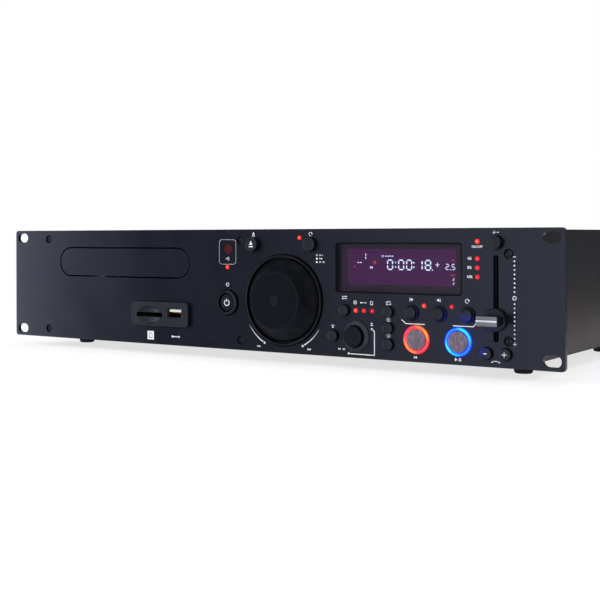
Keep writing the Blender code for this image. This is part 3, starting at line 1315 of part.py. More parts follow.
def make_clamp_puck():
    flange_bottom = BRIDGE_TOP + TOUCH_GAP
    flange_top = flange_bottom + PUCK_FLANGE_THICKNESS
    profile = [
        (0, flange_top),
        (PUCK_FLANGE_RADIUS, flange_top),
        (PUCK_FLANGE_RADIUS, flange_bottom),
        (PUCK_NECK_RADIUS, flange_bottom),
        (PUCK_NECK_RADIUS, PUCK_BOTTOM),
        (PUCK_RECESS_RADIUS, PUCK_BOTTOM),
        (PUCK_RECESS_RADIUS, PUCK_BOTTOM + PUCK_RECESS_DEPTH),
        (0, PUCK_BOTTOM + PUCK_RECESS_DEPTH),
    ]
    puck = turned("clamp_puck", profile, MEDIUM_STEPS, at(TRAY_X, DISC_DEPTH, 0), UPWARDS)
    dress(puck, "soft_black")


def make_drive_deck():
    pivot = at(TRAY_X, DECK_PIVOT_DEPTH, DECK_PIVOT_HEIGHT)
    half = DECK_WIDTH / 2
    deck = box(
        "drive_deck",
        at(TRAY_X - half, DECK_FRONT_DEPTH, DECK_BOTTOM),
        at(TRAY_X + half, DECK_PIVOT_DEPTH, DECK_TOP),
        pivot,
    )
    window = box(
        "sled_window",
        at(TRAY_X - SLED_WINDOW_WIDTH / 2, SLED_WINDOW_FRONT, DECK_BOTTOM - CUT_OVERRUN),
        at(TRAY_X + SLED_WINDOW_WIDTH / 2, SLED_WINDOW_REAR, DECK_TOP + CUT_OVERRUN),
    )
    half_pivot = DECK_PIVOT_LENGTH / 2
    barrel = rod("deck_pivot", DECK_PIVOT_RADIUS, -half_pivot, half_pivot, SMALL_STEPS, pivot, RIGHTWARDS)
    rod_x = TRAY_X + ROD_FROM_TRAY_X
    lugs = []
    for front in (SLED_WINDOW_FRONT - 2 * LUG_LENGTH, SLED_WINDOW_REAR + LUG_LENGTH):
        low = at(rod_x - LUG_WIDTH / 2, front, DECK_BOTTOM - LUG_FALL)
        high = at(rod_x + LUG_WIDTH / 2, front + LUG_LENGTH, DECK_BOTTOM + JOIN_DEPTH)
        lugs.append(box("rod_lug", low, high))
    bore = rod(
        "rod_bore",
        ROD_BORE_RADIUS,
        -(SLED_WINDOW_REAR + 3 * LUG_LENGTH),
        -(SLED_WINDOW_FRONT - 3 * LUG_LENGTH),
        SCREW_STEPS,
        at(rod_x, 0, ROD_HEIGHT),
    )
    cut(deck, window)
    join(deck, barrel, *lugs)
    cut(deck, bore)
    dress(deck, "painted_steel")


def make_guide_rod():
    front = SLED_WINDOW_FRONT - 2 * LUG_LENGTH
    rear = SLED_WINDOW_REAR + 2 * LUG_LENGTH
    place = at(TRAY_X + ROD_FROM_TRAY_X, 0, ROD_HEIGHT)
    guide = rod("guide_rod", ROD_RADIUS, -rear, -front, SCREW_STEPS, place)
    dress(guide, "bright_steel")


def make_spindle_motor():
    bottom = DECK_TOP + TOUCH_GAP
    profile = [
        (SPINDLE_BORE_RADIUS, SPINDLE_MOTOR_TOP),
        (SPINDLE_MOTOR_RADIUS, SPINDLE_MOTOR_TOP),
        (SPINDLE_MOTOR_RADIUS, bottom),
        (SPINDLE_BORE_RADIUS, bottom),
    ]
    motor = turned("spindle_motor", profile, SMALL_STEPS, at(TRAY_X, DISC_DEPTH, 0), UPWARDS, ring=True)
    dress(motor, "bright_steel")


def make_turntable():
    profile = [
        (0, TURNTABLE_CONE_TOP),
        (TURNTABLE_CONE_TIP_RADIUS, TURNTABLE_CONE_TOP),
        (TURNTABLE_CONE_RADIUS, TURNTABLE_TOP),
        (TURNTABLE_RADIUS, TURNTABLE_TOP),
        (TURNTABLE_RADIUS, TURNTABLE_TOP - TURNTABLE_THICKNESS),
        (SPINDLE_RADIUS, TURNTABLE_TOP - TURNTABLE_THICKNESS),
        (SPINDLE_RADIUS, SPINDLE_BOTTOM),
        (0, SPINDLE_BOTTOM),
    ]
    table = turned("turntable", profile, MEDIUM_STEPS, at(TRAY_X, DISC_DEPTH, 0), UPWARDS)
    dress(table, "soft_black")


def make_pickup_sled():
    half = SLED_WIDTH / 2
    front = SLED_REST_DEPTH - SLED_LENGTH / 2
    rear = SLED_REST_DEPTH + SLED_LENGTH / 2
    sled = box("pickup_sled", at(TRAY_X - half, front, SLED_BOTTOM), at(TRAY_X + half, rear, SLED_TOP))
    bar = box(
        "sled_bar",
        at(TRAY_X - SLED_BAR_LEFT_REACH, SLED_REST_DEPTH - SLED_BAR_LENGTH / 2, SLED_BOTTOM),
        at(TRAY_X + SLED_BAR_RIGHT_REACH, SLED_REST_DEPTH + SLED_BAR_LENGTH / 2, DECK_BOTTOM - RUNNING_GAP),
    )
    place = at(TRAY_X, SLED_REST_DEPTH, 0)
    lens = rod("lens", LENS_RADIUS, SLED_TOP - JOIN_DEPTH, LENS_TOP, SCREW_STEPS, place, UPWARDS)
    bore = rod(
        "sled_bore",
        ROD_BORE_RADIUS,
        -(rear + CUT_OVERRUN),
        -(front - CUT_OVERRUN),
        SCREW_STEPS,
        at(TRAY_X + ROD_FROM_TRAY_X, 0, ROD_HEIGHT),
    )
    join(sled, bar, lens)
    cut(sled, bore)
    dress(sled, "grey_plastic")


def make_media_bay():
    face_length = BAY_REACH + PANEL_BACK + JOIN_DEPTH
    face = rounded_plate(
        "media_bay", BAY_LEFT, BAY_RIGHT, BAY_BOTTOM, BAY_TOP, BAY_RADIUS, -BAY_REACH, face_length
    )
    round_edges(face, BAY_EDGE_ROUND)
    flange = rounded_plate(
        "bay_flange",
        BAY_LEFT - BAY_FLANGE,
        BAY_RIGHT + BAY_FLANGE,
        BAY_BOTTOM - BAY_FLANGE,
        BAY_TOP + BAY_FLANGE,
        BAY_RADIUS,
        PANEL_BACK,
        BAY_FLANGE_THICKNESS,
    )
    back = PANEL_BACK + BAY_FLANGE_THICKNESS + CUT_OVERRUN
    slot = box(
        "card_slot",
        at(CARD_SLOT_LEFT, -BAY_REACH - CUT_OVERRUN, CARD_SLOT_BOTTOM),
        at(CARD_SLOT_RIGHT, back, CARD_SLOT_TOP),
    )
    port = box(
        "usb_port",
        at(USB_LEFT - BAY_GAP, -BAY_REACH - CUT_OVERRUN, USB_BOTTOM - BAY_GAP),
        at(USB_RIGHT + BAY_GAP, back, USB_TOP + BAY_GAP),
    )
    scoop = ball(
        "thumb_scoop",
        (THUMB_SCOOP_HALF_WIDTH, THUMB_SCOOP_HALF_HEIGHT, THUMB_SCOOP_DEPTH),
        at((CARD_SLOT_LEFT + CARD_SLOT_RIGHT) / 2, -BAY_REACH, (CARD_SLOT_BOTTOM + CARD_SLOT_TOP) / 2),
        FRONTWARDS,
    )
    join(face, flange)
    cut(face, scoop, slot, port)
    dress(face, "black_plastic")


def make_usb_socket():
    mouth = -BAY_REACH + USB_MOUTH_BEHIND_BAY_FACE
    shell = box("usb_socket", at(USB_LEFT, mouth, USB_BOTTOM), at(USB_RIGHT, USB_REAR_DEPTH, USB_TOP))
    back_wall = USB_REAR_DEPTH - USB_BACK_WALL
    cavity = box(
        "usb_cavity",
        at(USB_LEFT + USB_SHELL, mouth - CUT_OVERRUN, USB_BOTTOM + USB_SHELL),
        at(USB_RIGHT - USB_SHELL, back_wall, USB_TOP - USB_SHELL),
    )
    inset = USB_SHELL + USB_TONGUE_SIDE_GAP
    tongue_top = USB_TOP - USB_SHELL - USB_TONGUE_TOP_GAP
    tongue = box(
        "usb_tongue",
        at(USB_LEFT + inset, mouth + USB_TONGUE_SETBACK, tongue_top - USB_TONGUE_THICKNESS),
        at(USB_RIGHT - inset, back_wall + JOIN_DEPTH, tongue_top),
    )
    cut(shell, cavity)
    join(shell, tongue)
    dress(shell, "bright_steel")


def make_card_reader():
    front = PANEL_BACK + BAY_FLANGE_THICKNESS + TOUCH_GAP
    board_top = USB_BOTTOM - TOUCH_GAP
    board = box(
        "card_reader",
        at(BAY_LEFT + READER_BOARD_SIDE, front, board_top - READER_BOARD_THICKNESS),
        at(BAY_RIGHT - READER_BOARD_SIDE - TOUCH_GAP, READER_BOARD_REAR, board_top),
    )
    cage = box(
        "card_cage",
        at(CARD_SLOT_LEFT - READER_CAGE_WALL, front, board_top - JOIN_DEPTH),
        at(CARD_SLOT_RIGHT + READER_CAGE_WALL, READER_CAGE_REAR, CARD_SLOT_TOP + READER_CAGE_ROOF),
    )
    inset = READER_CAVITY_CLEARANCE
    cavity = box(
        "card_cavity",
        at(CARD_SLOT_LEFT + inset, front - CUT_OVERRUN, CARD_SLOT_BOTTOM + inset),
        at(CARD_SLOT_RIGHT - inset, READER_CAGE_REAR - READER_CAGE_WALL, CARD_SLOT_TOP - inset),
    )
    join(board, cage)
    cut(board, cavity)
    dress(board, "circuit_board")


def make_jog_bezel():
    flange_back = PANEL_BACK + JOG_FLANGE_THICKNESS
    bore = BEARING_RADIUS
    profile = [
        (JOG_BEZEL_INNER, JOG_BEZEL_REACH),
        (JOG_BEZEL_LIP_OUTER, JOG_BEZEL_REACH),
        (JOG_BEZEL_OUTER, JOG_BEZEL_REACH - JOG_BEZEL_CHAMFER),
        (JOG_BEZEL_OUTER, -PANEL_BACK),
        (JOG_FLANGE_RADIUS, -PANEL_BACK),
        (JOG_FLANGE_RADIUS, -flange_back),
        (bore, -flange_back),
        (bore, -JOG_FLOOR_DEPTH),
        (JOG_BEZEL_INNER, -JOG_FLOOR_DEPTH),
    ]
    bezel = turned("jog_bezel", profile, LARGE_STEPS, at(JOG_X, 0, JOG_HEIGHT), ring=True)
    dress(bezel, "black_plastic")


def jog_dimple_cutters(place):
    """Balls that leave a shallow finger dimple every thirty degrees of the wheel's flank."""
    flank = Vector((JOG_WHEEL_RADIUS - JOG_FACE_RADIUS, JOG_WHEEL_BASE_REACH - JOG_FACE_REACH))
    outward = Vector((-flank.y, flank.x)).normalized()
    middle = Vector((JOG_FACE_RADIUS, JOG_FACE_REACH)) + flank / 2
    centre = middle + outward * (JOG_DIMPLE_RADIUS - JOG_DIMPLE_DEPTH)
    cutters = []
    for i in range(JOG_DIMPLES):
        angle = 2 * math.pi * i / JOG_DIMPLES
        offset = Vector((centre.x * math.cos(angle), -centre.y, centre.x * math.sin(angle)))
        cutters.append(ball("finger_dimple", (JOG_DIMPLE_RADIUS,) * 3, place + offset))
    return cutters


def make_jog_wheel():
    place = at(JOG_X, 0, JOG_HEIGHT)
    profile = [
        (0, JOG_FACE_REACH + JOG_HUB_RISE),
        (JOG_HUB_RADIUS - JOG_HUB_RISE, JOG_FACE_REACH + JOG_HUB_RISE),
        (JOG_HUB_RADIUS, JOG_FACE_REACH),
        (JOG_FACE_RADIUS - JOG_FACE_RIM, JOG_FACE_REACH),
        (JOG_FACE_RADIUS, JOG_FACE_REACH - JOG_FACE_RIM),
        (JOG_WHEEL_RADIUS, JOG_WHEEL_BASE_REACH),
        (JOG_WHEEL_RADIUS, -JOG_WHEEL_BACK_DEPTH),
        (JOG_SHAFT_RADIUS, -JOG_WHEEL_BACK_DEPTH),
        (JOG_SHAFT_RADIUS, -JOG_SHAFT_DEPTH),
        (0, -JOG_SHAFT_DEPTH),
    ]
    wheel = turned("jog_wheel", profile, LARGE_STEPS, place)
    cut(wheel, *jog_dimple_cutters(place))
    dress(wheel, "soft_black")


def make_jog_bearing():
    front = PANEL_BACK + JOG_FLANGE_THICKNESS + TOUCH_GAP
    bore = JOG_SHAFT_RADIUS + RUNNING_GAP
    flange_back = front + BEARING_FLANGE_THICKNESS
    profile = [
        (bore, -front),
        (BEARING_FLANGE_RADIUS, -front),
        (BEARING_FLANGE_RADIUS, -flange_back),
        (BEARING_RADIUS, -flange_back),
        (BEARING_RADIUS, -BEARING_REAR_DEPTH),
        (bore, -BEARING_REAR_DEPTH),
    ]
    bearing = turned("jog_bearing", profile, MEDIUM_STEPS, at(JOG_X, 0, JOG_HEIGHT), ring=True)
    dress(bearing, "bright_steel")


def make_display_lens():
    gap = DISPLAY_GAP
    back = PANEL_BACK + DISPLAY_FLANGE_THICKNESS
    lens = rounded_plate(
        "display_lens",
        DISPLAY_LEFT + gap,
        DISPLAY_RIGHT - gap,
        DISPLAY_BOTTOM + gap,
        DISPLAY_TOP - gap,
        DISPLAY_RADIUS - gap,
        DISPLAY_RECESS,
        back - DISPLAY_RECESS,
    )
    flange = rounded_plate(
        "lens_flange",
        DISPLAY_LEFT - DISPLAY_FLANGE,
        DISPLAY_RIGHT + DISPLAY_FLANGE,
        DISPLAY_BOTTOM - DISPLAY_FLANGE,
        DISPLAY_TOP + DISPLAY_FLANGE,
        DISPLAY_RADIUS,
        PANEL_BACK,
        DISPLAY_FLANGE_THICKNESS,
    )
    join(lens, flange)
    dress(lens, "smoked_lens")


def make_display_module():
    margin = DISPLAY_MODULE_MARGIN
    front = PANEL_BACK + DISPLAY_FLANGE_THICKNESS + TOUCH_GAP
    module = box(
        "display_module",
        at(DISPLAY_LEFT + margin, front, DISPLAY_BOTTOM + margin),
        at(DISPLAY_RIGHT - margin, BOARD_DEPTH - TOUCH_GAP, DISPLAY_TOP - margin),
    )
    dress(module, "display_glass")


def make_track_knob_collar():
    profile = [
        (TRACK_COLLAR_INNER, TRACK_COLLAR_REACH),
        (TRACK_COLLAR_TOP_OUTER, TRACK_COLLAR_REACH),
        (TRACK_COLLAR_OUTER, TRACK_COLLAR_RIM),
        (TRACK_COLLAR_OUTER, TOUCH_GAP),
        (TRACK_COLLAR_BARREL, TOUCH_GAP),
        (TRACK_COLLAR_BARREL, -TRACK_COLLAR_BACK),
        (TRACK_COLLAR_INNER, -TRACK_COLLAR_BACK),
    ]
    collar = turned("track_knob_collar", profile, MEDIUM_STEPS, at(TRACK_X, 0, TRACK_HEIGHT), ring=True)
    dress(collar, "black_plastic")


def make_track_knob():
    profile = (
        [(0, TRACK_KNOB_REACH)]
        + cap_edge(TRACK_KNOB_RADIUS, TRACK_KNOB_REACH, TRACK_KNOB_ROUND)
        + [
            (TRACK_KNOB_RADIUS, -TRACK_KNOB_BACK),
            (TRACK_SHAFT_RADIUS, -TRACK_KNOB_BACK),
            (TRACK_SHAFT_RADIUS, -TRACK_SHAFT_DEPTH),
            (0, -TRACK_SHAFT_DEPTH),
        ]
    )
    knob = turned("track_knob", profile, MEDIUM_STEPS, at(TRACK_X, 0, TRACK_HEIGHT))
    dress(knob, "soft_black")


def make_track_rotor():
    profile = [
        (ROTOR_BORE_RADIUS, -ROTOR_FRONT_DEPTH),
        (ROTOR_RADIUS, -ROTOR_FRONT_DEPTH),
        (ROTOR_RADIUS, -ROTOR_REAR_DEPTH),
        (ROTOR_BORE_RADIUS, -ROTOR_REAR_DEPTH),
    ]
    rotor = turned("track_rotor", profile, SMALL_STEPS, at(TRACK_X, 0, TRACK_HEIGHT), ring=True)
    dress(rotor, "bright_steel")


def make_track_encoder():
    half = ENCODER_WIDTH / 2
    rear = BOARD_DEPTH - TOUCH_GAP
    place = at(TRACK_X, 0, TRACK_HEIGHT)
    can = box(
        "track_encoder",
        at(TRACK_X - half, ENCODER_FRONT_DEPTH, TRACK_HEIGHT - half),
        at(TRACK_X + half, rear, TRACK_HEIGHT + half),
        place,
    )
    seat = ROTOR_REAR_DEPTH + RUNNING_GAP
    mouth = CUT_OVERRUN - ENCODER_FRONT_DEPTH
    socket = rod("rotor_socket", ENCODER_BORE_RADIUS, -seat, mouth, SMALL_STEPS, place)
    passage = rod(
        "shaft_passage", ROTOR_BORE_RADIUS, -rear - CUT_OVERRUN, JOIN_DEPTH - seat, SMALL_STEPS, place
    )
    cut(can, socket, passage)
    dress(can, "bright_steel")


def make_pitch_fader():
    half_width = FADER_BODY_WIDTH / 2
    half_length = FADER_BODY_LENGTH / 2
    body = box(
        "pitch_fader",
        at(FADER_X - half_width, FADER_BODY_FRONT, FADER_SLOT_CENTRE - half_length),
        at(FADER_X + half_width, BOARD_DEPTH - TOUCH_GAP, FADER_SLOT_CENTRE + half_length),
    )
    groove_half = FADER_GROOVE_WIDTH / 2
    reach = FADER_SLOT_LENGTH / 2
    groove = box(
        "fader_groove",
        at(FADER_X - groove_half, FADER_BODY_FRONT - CUT_OVERRUN, FADER_SLOT_CENTRE - reach),
        at(FADER_X + groove_half, FADER_BODY_FRONT + FADER_GROOVE_DEPTH, FADER_SLOT_CENTRE + reach),
    )
    cut(body, groove)
    dress(body, "bright_steel")


def fader_block(name, width, height, front, back):
    """Block of the fader cap, centred on the cap's own axis."""
    return box(
        name,
        at(FADER_X - width / 2, front, FADER_REST_HEIGHT - height / 2),
        at(FADER_X + width / 2, back, FADER_REST_HEIGHT + height / 2),
    )


def make_pitch_fader_cap():
    place = at(FADER_X, 0, FADER_REST_HEIGHT)
    profile = (
        [(0, FADER_DISC_REACH)]
        + cap_edge(FADER_DISC_RADIUS, FADER_DISC_REACH, FADER_DISC_ROUND)
        + [(FADER_DISC_RADIUS, TOUCH_GAP), (0, TOUCH_GAP)]
    )
    cap = turned("pitch_fader_cap", profile, MEDIUM_STEPS, place)
    neck_front = -FADER_GRIP_BACK - JOIN_DEPTH
    neck_back = JOIN_DEPTH - FADER_DISC_REACH
    neck = fader_block("fader_neck", FADER_NECK_WIDTH, FADER_NECK_HEIGHT, neck_front, neck_back)
    grip = fader_block("fader_grip", FADER_GRIP_WIDTH, FADER_GRIP_HEIGHT, -FADER_REACH, -FADER_GRIP_BACK)
    round_edges(grip, FADER_GRIP_ROUND)
    stem_front = -JOIN_DEPTH - TOUCH_GAP
    stem = fader_block("fader_stem", FADER_STEM_WIDTH, FADER_STEM_HEIGHT, stem_front, FADER_STEM_DEPTH)
    join(cap, neck, grip, stem)
    dress(cap, "brushed_metal")


def button_profile(radius, reach, fillet, seat, travel, dished):
    """Profile of a push button: cap, retaining flange and the stem that meets its switch."""
    flange = radius + BUTTON_GAP + BUTTON_FLANGE
    stem_end = BOARD_DEPTH - travel - TOUCH_GAP
    front = [(0, reach)]
    if dished:
        front = [(0, reach - BUTTON_DISH), (radius - fillet - BUTTON_RIM, reach - BUTTON_DISH)]
    return (
        front
        + cap_edge(radius, reach, fillet)
        + [
            (radius, -seat),
            (flange, -seat),
            (flange, -seat - BUTTON_FLANGE_THICKNESS),
            (BUTTON_STEM_RADIUS, -seat - BUTTON_FLANGE_THICKNESS),
            (BUTTON_STEM_RADIUS, -stem_end),
            (0, -stem_end),
        ]
    )


def make_push_buttons():
    for name, x, height, radius, reach, dished in PUSH_BUTTONS:
        profile = button_profile(radius, reach, BUTTON_ROUND, PANEL_BACK, BUTTON_TRAVEL, dished)
        dress(turned(name, profile, SMALL_STEPS, at(x, 0, height)), "black_plastic")


def make_loop_buttons():
    for name, x in LOOP_BUTTONS:
        profile = button_profile(LOOP_CAP_RADIUS, LOOP_REACH, BUTTON_ROUND, LOOP_SEAT, BUTTON_TRAVEL, False)
        dress(turned(name, profile, SMALL_STEPS, at(x, 0, MIDDLE_ROW_HEIGHT)), "black_plastic")


def make_loop_bezel():
    """Three flanged collars in a row behind the panel, one round each loop button, tied by bars."""
    back = PANEL_BACK + LOOP_PLATE_THICKNESS
    profile = [
        (LOOP_COLLAR_INNER, LOOP_COLLAR_REACH),
        (LOOP_COLLAR_OUTER, LOOP_COLLAR_REACH),
        (LOOP_COLLAR_OUTER, -PANEL_BACK),
        (LOOP_FLANGE_RADIUS, -PANEL_BACK),
        (LOOP_FLANGE_RADIUS, -back),
        (LOOP_COLLAR_INNER, -back),
    ]
    places = [at(x, 0, MIDDLE_ROW_HEIGHT) for _, x in LOOP_BUTTONS]
    bezel = turned("loop_bezel", profile, SMALL_STEPS, places[0], ring=True)
    collars = [turned("loop_collar", profile, SMALL_STEPS, place, ring=True) for place in places[1:]]
    skin = LOOP_PLATE_THICKNESS / 4
    overlap = LOOP_FLANGE_RADIUS - LOOP_BAR_OVERLAP
    bars = [
        box(
            "loop_bar",
            at(x + overlap, PANEL_BACK + skin, MIDDLE_ROW_HEIGHT - LOOP_BAR_HEIGHT / 2),
            at(x + LOOP_PITCH - overlap, back - skin, MIDDLE_ROW_HEIGHT + LOOP_BAR_HEIGHT / 2),
        )
        for _, x in LOOP_BUTTONS[:-1]
    ]
    join(bezel, *bars, *collars)
    dress(bezel, "black_plastic")


def make_lit_buttons():
    back = PANEL_BACK + BUTTON_FLANGE_THICKNESS
    ring_profile = [
        (RING_INNER, RING_REACH - RING_ROUND),
        (RING_INNER + RING_ROUND, RING_REACH),
        (RING_OUTER - RING_ROUND, RING_REACH),
        (RING_OUTER, RING_REACH - RING_ROUND),
        (RING_OUTER, -PANEL_BACK),
        (RING_FLANGE_RADIUS, -PANEL_BACK),
        (RING_FLANGE_RADIUS, -back),
        (RING_INNER, -back),
    ]
    cap_profile = button_profile(CUE_CAP_RADIUS, CUE_REACH, CUE_ROUND, RING_SEAT, CUE_TRAVEL, False)
    for cap_name, ring_name, x in LIT_BUTTONS:
        place = at(x, 0, CUE_HEIGHT)
        ring = turned(ring_name, ring_profile, MEDIUM_STEPS, place, ring=True)
        dress(ring, "cue_light" if ring_name == "cue_ring" else "play_light")
        dress(turned(cap_name, cap_profile, MEDIUM_STEPS, place), "brushed_metal")


def make_power_button():
    place = at(POWER_X, 0, POWER_HEIGHT)
    back = PANEL_BACK + BUTTON_FLANGE_THICKNESS
    bezel_profile = [
        (POWER_BEZEL_INNER, POWER_BEZEL_REACH),
        (POWER_BEZEL_LIP_OUTER, POWER_BEZEL_REACH),
        (POWER_BEZEL_OUTER, POWER_BEZEL_REACH - POWER_BEZEL_CHAMFER),
        (POWER_BEZEL_OUTER, -PANEL_BACK),
        (POWER_FLANGE_RADIUS, -PANEL_BACK),
        (POWER_FLANGE_RADIUS, -back),
        (POWER_BEZEL_INNER, -back),
    ]
    dress(turned("power_bezel", bezel_profile, MEDIUM_STEPS, place, ring=True), "black_plastic")
    cap_profile = button_profile(POWER_CAP_RADIUS, POWER_REACH, BUTTON_ROUND, RING_SEAT, POWER_TRAVEL, False)
    dress(turned("power_button", cap_profile, MEDIUM_STEPS, place), "soft_black")


def make_sensor_window():
    back = PANEL_BACK + BUTTON_FLANGE_THICKNESS
    profile = [
        (0, -SENSOR_SETBACK),
        (SENSOR_RADIUS, -SENSOR_SETBACK),
        (SENSOR_RADIUS, -PANEL_BACK),
        (SENSOR_FLANGE_RADIUS, -PANEL_BACK),
        (SENSOR_FLANGE_RADIUS, -back),
        (0, -back),
    ]
    dress(turned("sensor_window", profile, SMALL_STEPS, at(SENSOR_X, 0, SENSOR_HEIGHT)), "red_window")


def make_control_board():
    outline = [
        (BOARD_LEFT, BOARD_BOTTOM),
        (BOARD_RIGHT, BOARD_BOTTOM),
        (BOARD_RIGHT, BOARD_TOP),
        (BOARD_LEFT, BOARD_TOP),
    ]
    bearing_hole = circle_outline(JOG_X, JOG_HEIGHT, BEARING_RADIUS + BEARING_BOARD_GAP, MEDIUM_STEPS)
    board = plate("control_board", [outline, bearing_hole], BOARD_DEPTH, BOARD_THICKNESS)
    sunk = -BOARD_DEPTH - JOIN_DEPTH
    lights = [
        rod("light", LED_RADIUS, sunk, -LED_SETBACK, SCREW_STEPS, at(x, 0, height)) for x, height in LIGHTS
    ]
    join(board, *lights, *screw_posts(BOARD_SCREWS, -sunk))
    dress(board, "circuit_board")


def floor_board(name, left, right, front, rear):
    """Circuit board on four legs that stand on the case's floor."""
    bottom = CASE_FLOOR + TOUCH_GAP + LEG_HEIGHT
    board = box(name, at(left, front, bottom), at(right, rear, bottom + FLOOR_BOARD_THICKNESS))
    foot = CASE_FLOOR + TOUCH_GAP
    head = bottom + JOIN_DEPTH
    legs = [
        rod("leg", LEG_RADIUS, foot, head, SCREW_STEPS, at(x, depth, 0), UPWARDS)
        for x in (left + LEG_INSET, right - LEG_INSET)
        for depth in (front + LEG_INSET, rear - LEG_INSET)
    ]
    return join(board, *legs)


def board_block(name, x, depth, width, length, height):
    """Component that stands on a floor board, centred on x and depth."""
    foot = CASE_FLOOR + TOUCH_GAP + LEG_HEIGHT + FLOOR_BOARD_THICKNESS - JOIN_DEPTH
    low = at(x - width / 2, depth - length / 2, foot)
    return box(name, low, low + Vector((width, length, height)))


def make_main_board():
    board = floor_board("main_board", MAIN_BOARD_LEFT, MAIN_BOARD_RIGHT, MAIN_BOARD_FRONT, MAIN_BOARD_REAR)
    middle_x = (MAIN_BOARD_LEFT + MAIN_BOARD_RIGHT) / 2
    middle_depth = (MAIN_BOARD_FRONT + MAIN_BOARD_REAR) / 2
    side = PROCESSOR_SIZE
    processor = board_block("processor", middle_x, middle_depth, side, side, PROCESSOR_HEIGHT)
    memory = board_block(
        "memory", middle_x + 2 * side, middle_depth, MEMORY_WIDTH, MEMORY_LENGTH, PROCESSOR_HEIGHT
    )
    heatsink = board_block(
        "heatsink", middle_x, middle_depth + 2 * side, HEATSINK_LENGTH, HEATSINK_WIDTH, HEATSINK_HEIGHT
    )
    join(board, processor, memory, heatsink)
    dress(board, "circuit_board")


def make_power_supply():
    board = floor_board("power_supply", SUPPLY_LEFT, SUPPLY_RIGHT, SUPPLY_FRONT, SUPPLY_REAR)
    middle_depth = (SUPPLY_FRONT + SUPPLY_REAR) / 2
    transformer_x = SUPPLY_RIGHT - LEG_INSET - TRANSFORMER_WIDTH / 2
    transformer = board_block(
        "transformer", transformer_x, middle_depth, TRANSFORMER_WIDTH, TRANSFORMER_LENGTH, TRANSFORMER_HEIGHT
    )
    low = CASE_FLOOR + TOUCH_GAP + LEG_HEIGHT + FLOOR_BOARD_THICKNESS - JOIN_DEPTH
    high = low + JOIN_DEPTH + CAPACITOR_HEIGHT
    capacitors = []
    for side in (-1, 1):
        depth = middle_depth + side * (CAPACITOR_RADIUS + LEG_INSET)
        place = at(SUPPLY_LEFT + LEG_INSET + CAPACITOR_RADIUS, depth, 0)
        capacitors.append(rod("capacitor", CAPACITOR_RADIUS, low, high, SMALL_STEPS, place, UPWARDS))
    join(board, transformer, *capacitors)
    dress(board, "transformer_iron")


def inlet_block(name, width, height, front, back):
    """Block centred on the mains inlet's own axis."""
    return box(
        name,
        at(INLET_X - width / 2, front, INLET_HEIGHT - height / 2),
        at(INLET_X + width / 2, back, INLET_HEIGHT + height / 2),
    )


def make_mains_inlet():
    flange_front = CASE_DEPTH + TOUCH_GAP
    flange_back = flange_front + INLET_FLANGE_THICKNESS
    flange = inlet_block("mains_inlet", INLET_FLANGE_WIDTH, INLET_FLANGE_HEIGHT, flange_front, flange_back)
    body_front = CASE_DEPTH - INLET_BODY_LENGTH
    body_back = flange_front + JOIN_DEPTH
    body = inlet_block("inlet_body", INLET_BODY_WIDTH, INLET_BODY_HEIGHT, body_front, body_back)
    cavity_floor = flange_back - INLET_CAVITY_DEPTH
    mouth = flange_back + CUT_OVERRUN
    cavity = inlet_block("inlet_cavity", INLET_CAVITY_WIDTH, INLET_CAVITY_HEIGHT, cavity_floor, mouth)
    pins = []
    for side in (-1, 0, 1):
        x = INLET_X + side * INLET_PIN_SPACING
        height = INLET_HEIGHT + (INLET_PIN_OFFSET if side == 0 else -INLET_PIN_OFFSET / 2)
        low = at(x - INLET_PIN_WIDTH / 2, cavity_floor - JOIN_DEPTH, height - INLET_PIN_HEIGHT / 2)
        high = at(x + INLET_PIN_WIDTH / 2, cavity_floor + INLET_PIN_LENGTH, height + INLET_PIN_HEIGHT / 2)
        pins.append(box("inlet_pin", low, high))
    join(flange, body)
    cut(flange, cavity)
    join(flange, *pins)
    dress(flange, "black_plastic")


def make_output_jacks():
    """Three phono jacks on one moulded block behind the rear panel."""
    last_x = JACK_FIRST_X + (JACK_COUNT - 1) * JACK_PITCH
    rear = REAR_PANEL_FRONT - TOUCH_GAP
    block = box(
        "output_jacks",
        at(JACK_FIRST_X - JACK_BLOCK_MARGIN, rear - JACK_BLOCK_LENGTH, JACK_HEIGHT - JACK_BLOCK_HEIGHT / 2),
        at(last_x + JACK_BLOCK_MARGIN, rear, JACK_HEIGHT + JACK_BLOCK_HEIGHT / 2),
    )
    tip = CASE_DEPTH + JACK_REACH
    barrels = []
    bores = []
    for i in range(JACK_COUNT):
        place = at(JACK_FIRST_X + i * JACK_PITCH, 0, JACK_HEIGHT)
        barrels.append(rod("jack_barrel", JACK_RADIUS, -tip, -rear + JOIN_DEPTH, SMALL_STEPS, place))
        bores.append(
            rod("jack_bore", JACK_BORE_RADIUS, -tip - CUT_OVERRUN, -tip + JACK_BORE_DEPTH, SCREW_STEPS, place)
        )
    join(block, *barrels)
    cut(block, *bores)
    dress(block, "black_plastic")


def make_case():
    make_front_panel()
    make_chassis_base()
    make_top_cover()
    make_rear_panel()
    make_feet()


def make_disc_loader():
    make_tray_door()
    make_disc_tray()
    make_loading_gear()
    make_loading_motor()
    make_loader_frame()
    make_clamp_bridge()
    make_clamp_puck()
    make_drive_deck()
    make_guide_rod()
    make_spindle_motor()
    make_turntable()
    make_pickup_sled()


def make_controls():
    make_media_bay()
    make_usb_socket()
    make_card_reader()
    make_jog_bezel()
    make_jog_wheel()
    make_jog_bearing()
    make_display_lens()
    make_display_module()
    make_track_knob_collar()
    make_track_knob()
    make_track_rotor()
    make_track_encoder()
    make_pitch_fader()
    make_pitch_fader_cap()
    make_push_buttons()
    make_loop_bezel()
    make_loop_buttons()
    make_lit_buttons()
    make_power_button()
    make_sensor_window()


def make_electronics():
    make_control_board()
    make_main_board()
    make_power_supply()
    make_mains_inlet()
    make_output_jacks()


make_case()
make_disc_loader()
make_controls()
make_electronics()
